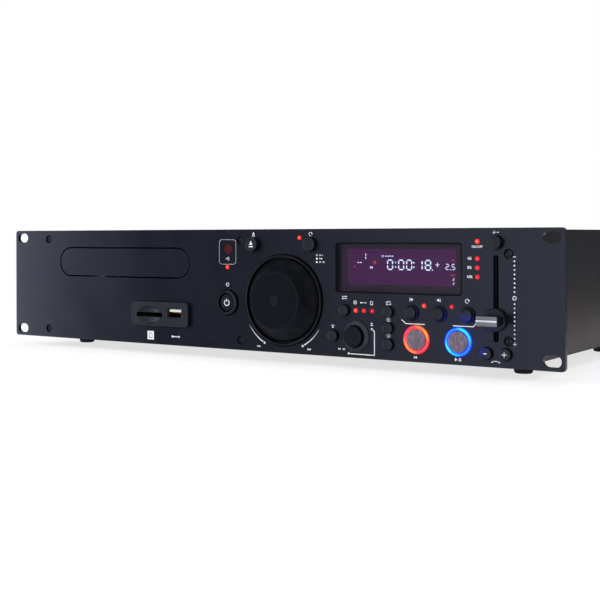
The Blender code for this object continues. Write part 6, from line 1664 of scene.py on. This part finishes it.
@dataclass
class LoopCollars:
    """Three collars that stand proud round the loop buttons."""

    face: PanelFace
    outer: float = 5.05 * MM
    wall: float = 0.65 * MM
    flange: float = 6.3 * MM
    tie_half_height: float = 2.0 * MM
    tie_lap: float = 1 * MM
    tie_inset: float = 0.25 * MM

    def build(self) -> None:
        """Turns one collar, copies it and ties the three with bars."""
        reach = self.face.reach("loop_bezel")
        lip = [(self.outer - self.wall, reach), (self.outer, reach)]
        profile = flanged_ring(lip, self.flange, FLANGE_BACK)
        centres = [self.face.centre(n) for n in ("loop_in_button", "loop_out_button", "reloop_button")]
        pieces = [turned("collar", profile, centres[0], rounding=0.2 * MM)]
        for centre in centres[1:]:
            pieces.append(moved_copy(pieces[0], "collar", Matrix.Translation(centre - centres[0])))
        side = self.flange - self.tie_lap
        for left, right in zip(centres, centres[1:]):
            front, back = left.y + PANEL_BACK + self.tie_inset, left.y + FLANGE_BACK - self.tie_inset
            low = Vector((left.x + side, front, left.z - self.tie_half_height))
            high = Vector((right.x - side, back, left.z + self.tie_half_height))
            pieces.append(block("tie", low, high, 0.1 * MM))
        finish_piece(joined(pieces, "loop_collars"), MOULDED_ABS, replaces=["loop_bezel"])


@dataclass
class LitButton:
    """Brushed cap in a glowing ring."""

    face: PanelFace
    node: str
    ring_node: str
    glow: str
    hot: str
    strength: float
    lens: str
    outer: float = 9.4 * MM
    width: float = 2.15 * MM
    cap_radius: float = 6.92 * MM
    inner_slope: float = 0.5 * MM
    outer_slope: float = 0.6 * MM

    def build(self) -> None:
        """Builds the ring and the cap."""
        centre = self.face.centre(self.ring_node)
        reach, flange = self.face.reach(self.ring_node), half_width(self.ring_node)
        inner, outer = self.outer - self.width, self.outer
        lip = [
            (inner, reach - self.inner_slope), (inner + self.inner_slope, reach),
            (outer - self.outer_slope, reach), (outer, reach - self.outer_slope),
        ]
        light = Glow(
            f"{self.ring_node}_diffuser", "cue_light" if "cue" in self.node else "play_light",
            self.glow, self.lens, 0.35, hot=self.hot, strength=self.strength,
            centre=tuple(centre), radius=outer, band=(inner, outer),
        )
        profile = flanged_ring(lip, flange, FLANGE_BACK)
        ring = turned(f"{self.ring_node}_lens", profile, centre, steps=RING_STEPS, rounding=0.25 * MM)
        finish_piece(ring, light, replaces=[self.ring_node])
        PushButton(
            self.face, self.node, f"{self.node}_cap", self.cap_radius, seat=SECOND_SEAT,
            finish=BRUSHED, dome=0.05 * MM, rounding=0.35 * MM,
        ).build()


@dataclass
class TrackKnob:
    """Rotary knob that is also a button, in a sloped collar."""

    face: PanelFace
    collar_outer: float = 10.7 * MM
    collar_top: float = 8.3 * MM
    collar_inner: float = 7.75 * MM
    collar_barrel: float = 8.9 * MM
    collar_rim: float = 0.6 * MM
    collar_lap: float = 0.05 * MM
    knob_radius: float = 7.05 * MM
    knob_back: float = 1.5 * MM
    face_depth: float = 0.35 * MM
    face_slope: float = 0.05 * MM
    rim_foot: float = 1.4 * MM
    rim_width: float = 0.9 * MM
    rim_slope: float = 0.1 * MM
    shaft_radius: float = 1.9 * MM

    def build(self) -> None:
        """Builds the collar and the knob."""
        centre = self.face.centre("track_knob_collar")
        reach, back = self.face.reach("track_knob_collar"), self.face.tail("track_knob_collar")
        profile = [
            (self.collar_inner, reach), (self.collar_top, reach), (self.collar_outer, self.collar_rim),
            (self.collar_outer, self.collar_lap), (self.collar_barrel, self.collar_lap),
            (self.collar_barrel, -back), (self.collar_inner, -back), (self.collar_inner, reach),
        ]
        collar = turned("track_collar", profile, centre, steps=RING_STEPS, rounding=0.3 * MM)
        # The collar's paler plastic is painted light on its slope
        finish_piece(collar, COLLAR_ABS_PAINTED_PALER, replaces=["track_knob_collar"])
        reach, tail = self.face.reach("track_knob"), self.face.tail("track_knob")
        r, face = self.knob_radius, reach - self.face_depth
        profile = [
            (0, face), (r - self.rim_foot, face + self.face_slope), (r - self.rim_width, reach),
            (r, reach - self.rim_slope), (r, -self.knob_back), (self.shaft_radius, -self.knob_back),
            (self.shaft_radius, -tail), (0, -tail),
        ]
        knob = turned("track_dial", profile, centre, steps=RING_STEPS, rounding=0.35 * MM)
        finish_piece(knob, SOFT_TOUCH, "track_knob", ["track_knob"])


@dataclass
class PitchFader:
    """Fader cap: black skirt and neck, and a metal grip of two flat bars with a ridge between, painted near
    white as a highlight.
    """

    face: PanelFace
    skirt_radius: float = 7.65 * MM
    skirt_reach: float = 3.6 * MM
    neck_width: float = 12.2 * MM
    neck_height: float = 5.4 * MM
    grip_width: float = 14 * MM
    grip_height: float = 6.3 * MM
    grip_back: float = 9 * MM
    inlay: float = 1.6 * MM
    lower_bar_share: float = 0.4
    ridge_share: float = 0.23
    ridge_rise: float = 0.35 * MM
    bar_rounding: float = 0.3 * MM
    ridge_rounding: float = 0.25 * MM
    skirt_chamfer: float = 0.9 * MM
    neck_front_lap: float = 0.3 * MM
    neck_foot_lap: float = 0.4 * MM
    inlay_lap: float = 0.1 * MM
    stem_width: float = 1.2 * MM
    stem_height: float = 9.0 * MM
    stem_reach: float = 0.6 * MM

    def build(self) -> None:
        """Builds the skirt and the grip."""
        centre = self.face.centre("pitch_fader_cap")
        reach = self.face.reach("pitch_fader_cap")
        r, top, slope = self.skirt_radius, self.skirt_reach, self.skirt_chamfer
        profile = [(0, top), (r - slope, top), (r, top - slope), (r, TOUCH_GAP), (0, TOUCH_GAP)]
        skirt = turned("skirt", profile, centre, rounding=0.25 * MM)
        half = Vector((self.neck_width / 2, 0, self.neck_height / 2))
        neck_low = centre - half + FRONT * (self.grip_back + self.neck_front_lap)
        neck = block("neck", neck_low, centre + half + FRONT * (top - self.neck_foot_lap), 0.4 * MM)
        half = Vector((self.grip_width / 2, 0, self.grip_height / 2))
        bar_low = centre - half + FRONT * (reach - self.inlay + self.inlay_lap)
        handle = block("handle", bar_low, centre + half + FRONT * self.grip_back, 0.3 * MM)
        half = Vector((self.stem_width / 2, 0, self.stem_height / 2))
        stem_high = centre + half + BACK * self.face.tail("pitch_fader_cap")
        stem = block("stem", centre - half + FRONT * self.stem_reach, stem_high, 0.1 * MM)
        base = joined([skirt, neck, handle, stem], "fader_skirt")
        finish_piece(base, MOULDED_ABS, "pitch_fader", ["pitch_fader_cap"])
        self.build_grip(centre, reach)

    def build_grip(self, centre: Vector, reach: float) -> None:
        """Lays two flat bars over the grip's front with a ridge between them, painted near white as a
        highlight.

        Args:
            centre: Point of the panel's face behind the cap's middle.
            reach: How far the grip stands out.
        """
        foot = centre - Vector((self.grip_width / 2, 0, self.grip_height / 2)) + FRONT * reach
        ridge_low = self.grip_height * self.lower_bar_share
        ridge_high = ridge_low + self.grip_height * self.ridge_share
        spans = {
            "lower_bar": (0.0, ridge_low, self.ridge_rise, self.bar_rounding),
            "ridge": (ridge_low, ridge_high, 0.0, self.ridge_rounding),
            "upper_bar": (ridge_high, self.grip_height, self.ridge_rise, self.bar_rounding),
        }
        rows = {}
        for name, (low, high, setback, rounding) in spans.items():
            corner = foot + UP * low + BACK * setback
            far = foot + Vector((self.grip_width, self.inlay, high))
            rows[name] = block(name, corner, far, rounding)
        grip = joined([rows["lower_bar"], rows["upper_bar"]], "fader_grip")
        finish_piece(grip, POLISHED, "pitch_fader")
        rows["ridge"].name = rows["ridge"].data.name = "fader_ridge"
        # The ridge's near-white metal is a painted highlight
        finish_piece(rows["ridge"], RIDGE_PAINTED_HIGHLIGHT, "pitch_fader")


@dataclass
class PowerSwitch:
    """Power button in its raised ring."""

    face: PanelFace
    outer: float = 8.9 * MM
    lip_setback: float = 1.2 * MM
    wall: float = 1.7 * MM
    chamfer: float = 0.8 * MM
    cap_radius: float = 6.4 * MM

    def build(self) -> None:
        """Builds the ring and the button."""
        centre = self.face.centre("power_bezel")
        reach, flange = self.face.reach("power_bezel"), half_width("power_bezel")
        lip = [
            (self.outer - self.wall, reach), (self.outer - self.lip_setback, reach),
            (self.outer, reach - self.chamfer),
        ]
        profile = flanged_ring(lip, flange, FLANGE_BACK)
        ring = turned("power_ring", profile, centre, steps=RING_STEPS, rounding=0.2 * MM)
        finish_piece(ring, MOULDED_ABS, replaces=["power_bezel"])
        PushButton(
            self.face, "power_button", "power_cap", self.cap_radius, seat=SECOND_SEAT,
            finish=SOFT_TOUCH, rounding=0.4 * MM, mark=Sign.POWER, mark_scale=2.2,
        ).build()


@dataclass
class SmallLights:
    """Domed lights in the panel's small holes, lit or barely lit."""

    face: PanelFace
    radius: float = 1.5 * MM
    root: float = 1.2 * MM
    proud: float = 0.7 * MM
    sink: float = 0.1 * MM
    lit_from: float = 1.8
    places: dict[str, tuple[float, float, float]] = field(
        default_factory=lambda: {
            "standby": (-15.7, 60.7, 2.2),
            "jog_mode": (47.8, 82.3, 2.0),
            "source_disc": (93.6, 32.5, 2.6),
            "source_stick": (100.05, 32.5, 1.3),
            "source_card": (106.5, 32.5, 1.0),
            "loop_in": (145.4, 37.4, 2.0),
            "loop_out": (165.3, 37.4, 0.9),
            "pitch_on": (183.2, 79.8, 2.6),
            "range_4": (183.2, 68.8, 1.5),
            "range_8": (183.2, 62.95, 1.3),
            "range_16": (183.2, 57.1, 1.1),
        }
    )

    def build(self) -> None:
        """Turns one dome and copies it to every hole."""
        r, p = self.radius, self.proud
        profile = [(0, p), (r * 0.5, p * 0.86), (r * 0.82, p * 0.45), (r, -self.sink)]
        profile += [(r, -self.root), (0, -self.root)]
        pattern = turned("dome_pattern", profile, Vector(), steps=32, rounding=0.08 * MM)
        for name, (x, height, level) in self.places.items():
            place = self.face.at(x * MM, height * MM)
            light = Glow(
                f"red_light_{name}", "cue_light", "#d0101c", "#5a0508", 0.25,
                hot="#ff6430" if level > self.lit_from else "#ff3048", strength=level,
                centre=(place.x, place.y, place.z), radius=r, hot_core=True,
            )
            dome = moved_copy(pattern, f"light_{name}", Matrix.Translation(place))
            finish_piece(dome, light)
        bpy.data.objects.remove(pattern)


@dataclass
class RearSockets:
    """Phono jacks and the mains inlet on the rear panel."""

    jack_radius: float = 4.25 * MM
    sleeve_wall: float = 0.75 * MM
    washer_lap: float = 0.35 * MM
    washer_width: float = 1.6 * MM
    washer_thickness: float = 0.9 * MM
    washer_dome: float = 1.1 * MM
    insert_outer: float = 3.5 * MM
    insert_inner: float = 1.65 * MM
    insert_depth: float = 1 * MM
    insert_rise: float = 0.05 * MM
    seat_gap: float = 0.02 * MM
    sleeve_floor: float = 0.5 * MM
    height: float = 36 * MM
    first_x: float = -66 * MM
    pitch: float = 20 * MM
    colours: tuple[str, ...] = ("#b3121a", "#e9e6df", "#c2541a")

    def build(self) -> None:
        """Builds the jacks' sleeves and inserts and the inlet's shell."""
        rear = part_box("rear_panel")[1].y
        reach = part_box("output_jacks")[1].y - rear
        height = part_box("front_panel")[0].z + self.height
        for i, colour in enumerate(self.colours):
            self.build_jack(i, Vector((self.first_x + i * self.pitch, rear, height)), reach, colour)
        dressed_copy("mains_inlet", "inlet_shell", 0.4 * MM, MOULDED_ABS)

    def build_jack(self, number: int, centre: Vector, reach: float, colour: str) -> None:
        """Turns one jack: a washer and sleeve of metal with a coloured insert.

        Args:
            number: Place in the row.
            centre: Middle of its root on the rear panel.
            reach: How far it stands out.
            colour: Colour of its insert.
        """
        r, gap = self.jack_radius, self.seat_gap
        edge, bore = r + self.washer_width, r - self.sleeve_wall
        washer = [
            (r - self.washer_lap, gap), (edge, gap), (edge, self.washer_thickness), (r, self.washer_dome),
            (r, reach), (bore, reach + gap), (bore, self.sleeve_floor), (r - self.washer_lap, gap),
        ]
        sleeve = turned(f"jack_sleeve_{number}", washer, centre, BACK, rounding=0.12 * MM)
        finish_piece(sleeve, NICKEL)
        insert = Finish(f"coloured_insert_{number}", "white_plastic", colour, colour, 0.4, grain=0.4 * MM)
        inner, outer = self.insert_inner, self.insert_outer
        front, back = reach + self.insert_rise, reach - self.insert_depth
        ring = [(inner, front), (outer, front), (outer, back), (inner, back), (inner, front)]
        collar = turned(f"jack_insert_{number}", ring, centre, BACK, steps=48, rounding=0.08 * MM)
        finish_piece(collar, insert)


# Studio


@dataclass(frozen=True)
class Card:
    """Lit card that only gloss sees: its light follows one or more ramps from left to right."""

    name: str
    material: str
    place: tuple[float, float, float]
    size: tuple[float, float]
    ramps: tuple[tuple[float, float, float, float], ...]
    turn: tuple[float, float, float] = (0.0, 0.0, 0.0)
    tint: tuple[float, float, float, float] = COOL_TINT

    def build(self) -> None:
        """Sets the card in the studio."""
        deselect()
        bpy.ops.mesh.primitive_plane_add(size=1, location=self.place, rotation=self.turn)
        card = named(self.name)
        card.scale = (*self.size, 1)
        settle(card)
        card.visible_camera = False
        card.visible_diffuse = False
        card.visible_shadow = False
        card.visible_transmission = False
        card.data.materials.append(self.light())

    def light(self) -> bpy.types.Material:
        """Makes the card's light, the sum of its ramps.

        Returns:
            The material.
        """
        material = bpy.data.materials.new(self.material)
        tree = empty_tree(material)
        place = add_node(tree, "TexCoord").outputs["Object"]
        along = add_node(tree, "SeparateXYZ", links={"Vector": place}).outputs["X"]
        levels = []
        for start, end, first, last in self.ramps:
            span = {"From Min": start, "From Max": end, "To Min": first, "To Max": last}
            levels.append(add_node(tree, "MapRange", span, {"Value": along}))
        level = levels[0]
        for other in levels[1:]:
            level = add_node(tree, "Math", {"operation": "ADD"}, {0: level, 1: other})
        glow = add_node(tree, "Emission", {"Color": self.tint}, {"Strength": level})
        add_node(tree, "OutputMaterial", links={"Surface": glow})
        return material


@dataclass
class Studio:
    """Pale floor, surround, lamps and cards, and the camera at the photograph's viewpoint."""

    camera_place: tuple[float, float, float] = (0.47177, -0.77195, 0.09156)
    yaw: float = 34.12
    roll: float = -0.163
    focal_pixels: float = 1097.5
    picture: float = 600.0
    shift: tuple[float, float] = (0.0337, -0.1078)
    sensor: float = 36.0
    floor_size: float = 14.0
    shadow_reach: float = 0.3
    white_reach: float = 0.8
    least_white: float = 0.72
    aim: tuple[float, float, float] = (0, 0, 0.05)
    spill_side: float = 4 * MM
    spill_rise: float = 2 * MM
    spill_radius: float = 3 * MM

    def build(self) -> None:
        """Builds the floor, the world, the lamps, the cards and the camera."""
        self.build_floor()
        self.build_world()
        self.build_lamps()
        self.build_spill()
        self.build_cards()
        self.build_camera()
        bpy.context.scene.view_settings.view_transform = "Standard"

    def build_floor(self) -> None:
        """Lays a pale floor that turns pure white away from the object and keeps its shadow near it."""
        deselect()
        bpy.ops.mesh.primitive_plane_add(size=self.floor_size, location=(0, 0, 0))
        floor = named("studio_floor")
        material = bpy.data.materials.new("pale_floor")
        tree = empty_tree(material)
        place = add_node(tree, "TexCoord").outputs["Object"]
        distance = add_node(tree, "VectorMath", {"operation": "LENGTH"}, {0: place})
        fade = {"From Min": self.shadow_reach, "From Max": self.white_reach, "To Min": self.least_white}
        fade["interpolation_type"] = "SMOOTHSTEP"
        far = add_node(tree, "MapRange", fade, {"Value": distance})
        share = add_node(tree, "Math", {"operation": "MULTIPLY"}, {0: far, 1: seen_directly(tree)})
        mottle = add_node(tree, "TexNoise", {"Scale": 3.0}, {"Vector": place})
        tones = {"Color1": linear("#f4f4f4"), "Color2": linear("#f0f0f0")}
        tone = add_node(tree, "MixRGB", tones, {"Fac": mottle})
        pale = add_node(tree, "BsdfDiffuse", links={"Color": tone})
        white = add_node(tree, "Emission", {"Color": (1, 1, 1, 1), "Strength": 1.0})
        both = add_node(tree, "MixShader", links={0: share, 1: pale, 2: white})
        add_node(tree, "OutputMaterial", links={"Surface": both})
        floor.data.materials.append(material)
        floor.visible_glossy = False

    def build_world(self) -> None:
        """Gives the object a soft grey light, gloss a dim room, and the camera and glass a white surround."""
        world = bpy.data.worlds.new("studio_surround")
        bpy.context.scene.world = world
        tree = empty_tree(world)
        dim = add_node(tree, "Background", {"Color": (0.98, 0.99, 1, 1), "Strength": 0.62})
        heading = add_node(tree, "TexCoord").outputs["Generated"]
        axes = add_node(tree, "SeparateXYZ", links={"Vector": heading})
        fall = {"From Min": -0.6, "From Max": -0.05, "To Min": 0.5, "To Max": 0.14}
        low = add_node(tree, "MapRange", fall, {"Value": axes.outputs["Z"]})
        mirrored = add_node(tree, "Background", {"Color": COOL_TINT}, {"Strength": low})
        glossy = add_node(tree, "LightPath").outputs["Is Glossy Ray"]
        soft = add_node(tree, "MixShader", links={0: glossy, 1: dim, 2: mirrored})
        white = add_node(tree, "Background", {"Color": (1, 1, 1, 1), "Strength": 1.0})
        both = add_node(tree, "MixShader", links={0: seen_directly(tree), 1: soft, 2: white})
        add_node(tree, "OutputWorld", links={"Surface": both})

    def build_lamps(self) -> None:
        """Hangs three soft boxes that look at the object and that gloss doesn't mirror."""
        boxes = {
            "key_box": ((-1.3, -1.5, 1.2), (1.2, 0.9), 26),
            "top_box": ((0.1, 0.1, 1.5), (1.6, 0.8), 14),
            "fill_box": ((1.7, -0.7, 0.7), (0.8, 0.8), 4),
        }
        for name, (place, size, power) in boxes.items():
            deselect()
            bpy.ops.object.light_add(type="AREA", location=place)
            lamp = bpy.context.object
            lamp.name = name
            lamp.data.shape = "RECTANGLE"
            lamp.data.size, lamp.data.size_y = size
            lamp.data.energy = power
            lamp.visible_glossy = False
            look = Vector(self.aim) - Vector(place)
            lamp.rotation_euler = look.to_track_quat("-Z", "Y").to_euler()

    def build_spill(self) -> None:
        """Hangs small lamps before the two lit rings for the colour that they throw on what is near."""
        blue, red = (0.0, 0.02, 1.0), (1.0, 0.03, 0.02)
        keys = ("bend_minus_cap", "bend_plus_cap", "reloop_cap")
        raised = ("fader_skirt", "pitch_fader", "loop_collars", *keys)
        spills = (
            ("play_raised", "play_ring", blue, 0.9, 5 * MM, raised),
            ("play_flat", "play_ring", blue, 0.022, 3 * MM, ("panel_plate",)),
            ("cue_flat", "cue_ring", red, 0.008, 3 * MM, ("panel_plate", "loop_collars")),
        )
        for name, node, colour, power, proud, receivers in spills:
            middle = box_middle(node)
            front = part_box(node)[0].y - proud
            place = Vector((middle.x + self.spill_side, front, middle.z + self.spill_rise))
            deselect()
            bpy.ops.object.light_add(type="POINT", radius=self.spill_radius, location=place)
            lamp = bpy.context.object
            lamp.name = f"{name}_spill"
            lamp.data.energy = power
            lamp.data.color = colour
            lamp.visible_camera = False
            lamp.visible_glossy = False
            lit = bpy.data.collections.new(f"{name}_receivers")
            for receiver in receivers:
                lit.objects.link(bpy.data.objects[receiver])
            lamp.light_linking.receiver_collection = lit

    def build_cards(self) -> None:
        """Sets the cards that gloss sees: before the panel, beside the case and high in front."""
        upright = (math.pi / 2, 0, 0)
        front_ramps = ((-3.15, -2.45, 4.4, 0.03), (-1.85, -0.6, 0.0, 1.15))
        side_ramps, upper_ramps = ((0.24, 0.37, 1.3, 0.08),), ((-1.6, 0.2, 1.6, 1.2),)
        warm = (0.92, 0.85, 0.84, 1)
        cards = (
            Card("front_card", "graded_grey_card", (-1.2, -2.4, 0.2), (6.4, 4.0), front_ramps, upright),
            Card("side_card", "white_side_card", (0.34, 0.2, 0.001), (0.2, 0.9), side_ramps, tint=warm),
            Card("upper_card", "upper_grey_card", (-0.7, -1.3, 1.7), (1.8, 0.8), upper_ramps),
        )
        for card in cards:
            card.build()

    def build_camera(self) -> None:
        """Sets the camera where the photograph was taken."""
        deselect()
        bpy.ops.object.camera_add(location=self.camera_place)
        camera = bpy.context.object
        camera.name = "photograph_camera"
        level = Matrix.Rotation(math.radians(self.yaw), 4, "Z") @ Matrix.Rotation(math.pi / 2, 4, "X")
        turn = level @ Matrix.Rotation(math.radians(self.roll), 4, "Z")
        camera.rotation_euler = turn.to_euler()
        camera.data.sensor_fit = "HORIZONTAL"
        camera.data.sensor_width = self.sensor
        camera.data.lens = self.sensor * self.focal_pixels / self.picture
        camera.data.shift_x, camera.data.shift_y = self.shift
        bpy.context.scene.camera = camera


def dress_solids(frame: dict) -> None:
    """Gives every CAD node the finish of its record slot, and two nodes a finish of their own.
    """
    finishes = [
        ANODISED, POWDER_COAT, MOULDED_ABS, SOFT_TOUCH, FOOT_RUBBER, GREY_PLASTIC, WHITE_PLASTIC, BRUSHED,
        NICKEL, IRON, BOARD, SMOKED_ACRYLIC, RED_ACRYLIC, TUBE_GLASS,
    ]
    by_slot = {finish.slot: finish for finish in finishes}
    # The fader frame's near-black steel is painted shade in its slot
    special = {"usb_socket": PORT_SHELL_PAINTED_SHADE, "pitch_fader": SLOT_SHADE_STEEL}
    for part in frame["record"]["subparts"]:
        node = frame["nodes"][part["node"]]
        finish = special.get(part["node"]) or by_slot.get(part["material_slot"], MOULDED_ABS)
        for material_slot in node.material_slots:
            material_slot.material = finish.material()
        LOG.info("%s: %s", node.name, finish.name)


def push_buttons(face: PanelFace) -> list[PushButton]:
    """Lists the plain buttons and their sizes.

    Args:
        face: The panel's face.

    Returns:
        The buttons, ready to be built.
    """
    small, loop_cap = 3.95 * MM, 3.9 * MM
    buttons = [
        PushButton(
            face, "open_close_button", "open_close_cap", 5.2 * MM, True, mark=Sign.EJECT, mark_scale=1.8
        ),
        PushButton(face, "jog_mode_button", "jog_mode_cap", 4.9 * MM, True),
        PushButton(face, "pitch_button", "pitch_cap", 4.4 * MM, True),
        PushButton(face, "bend_minus_button", "bend_minus_cap", small, mark=Sign.MINUS, mark_scale=1.3),
        PushButton(face, "bend_plus_button", "bend_plus_cap", small, mark=Sign.PLUS, mark_scale=1.4),
    ]
    for stem in ("source", "tap", "repeat", "time", "single"):
        buttons.append(PushButton(face, f"{stem}_button", f"{stem}_cap", small))
    for stem in ("loop_in", "loop_out", "reloop"):
        buttons.append(PushButton(face, f"{stem}_button", f"{stem}_cap", loop_cap, seat=SECOND_SEAT))
    return buttons


def main() -> None:
    """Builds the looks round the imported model."""
    logging.basicConfig(level=logging.INFO, format="%(message)s")
    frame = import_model()
    deselect()
    face = PanelFace.from_frame()
    screw = CrossHeadScrew()
    dress_solids(frame)
    assemblies = [
        FrontPanel(face, screw), Casing(screw), DiscTray(), MediaBay(face), JogWheel(face), Display(face),
        *push_buttons(face), LoopCollars(face),
        LitButton(face, "cue_button", "cue_ring", "#ff2030", "#ff6010", 4.5, "#7a1010"),
        LitButton(face, "play_button", "play_ring", "#0430ff", "#0868ff", 8.5, "#0a2a60"), TrackKnob(face),
        PitchFader(face), PowerSwitch(face), SmallLights(face), RearSockets(),
    ]
    for assembly in assemblies:
        assembly.build()
    screw.put_away()
    Studio().build()
    deselect()


if __name__ == "__main__":
    main()
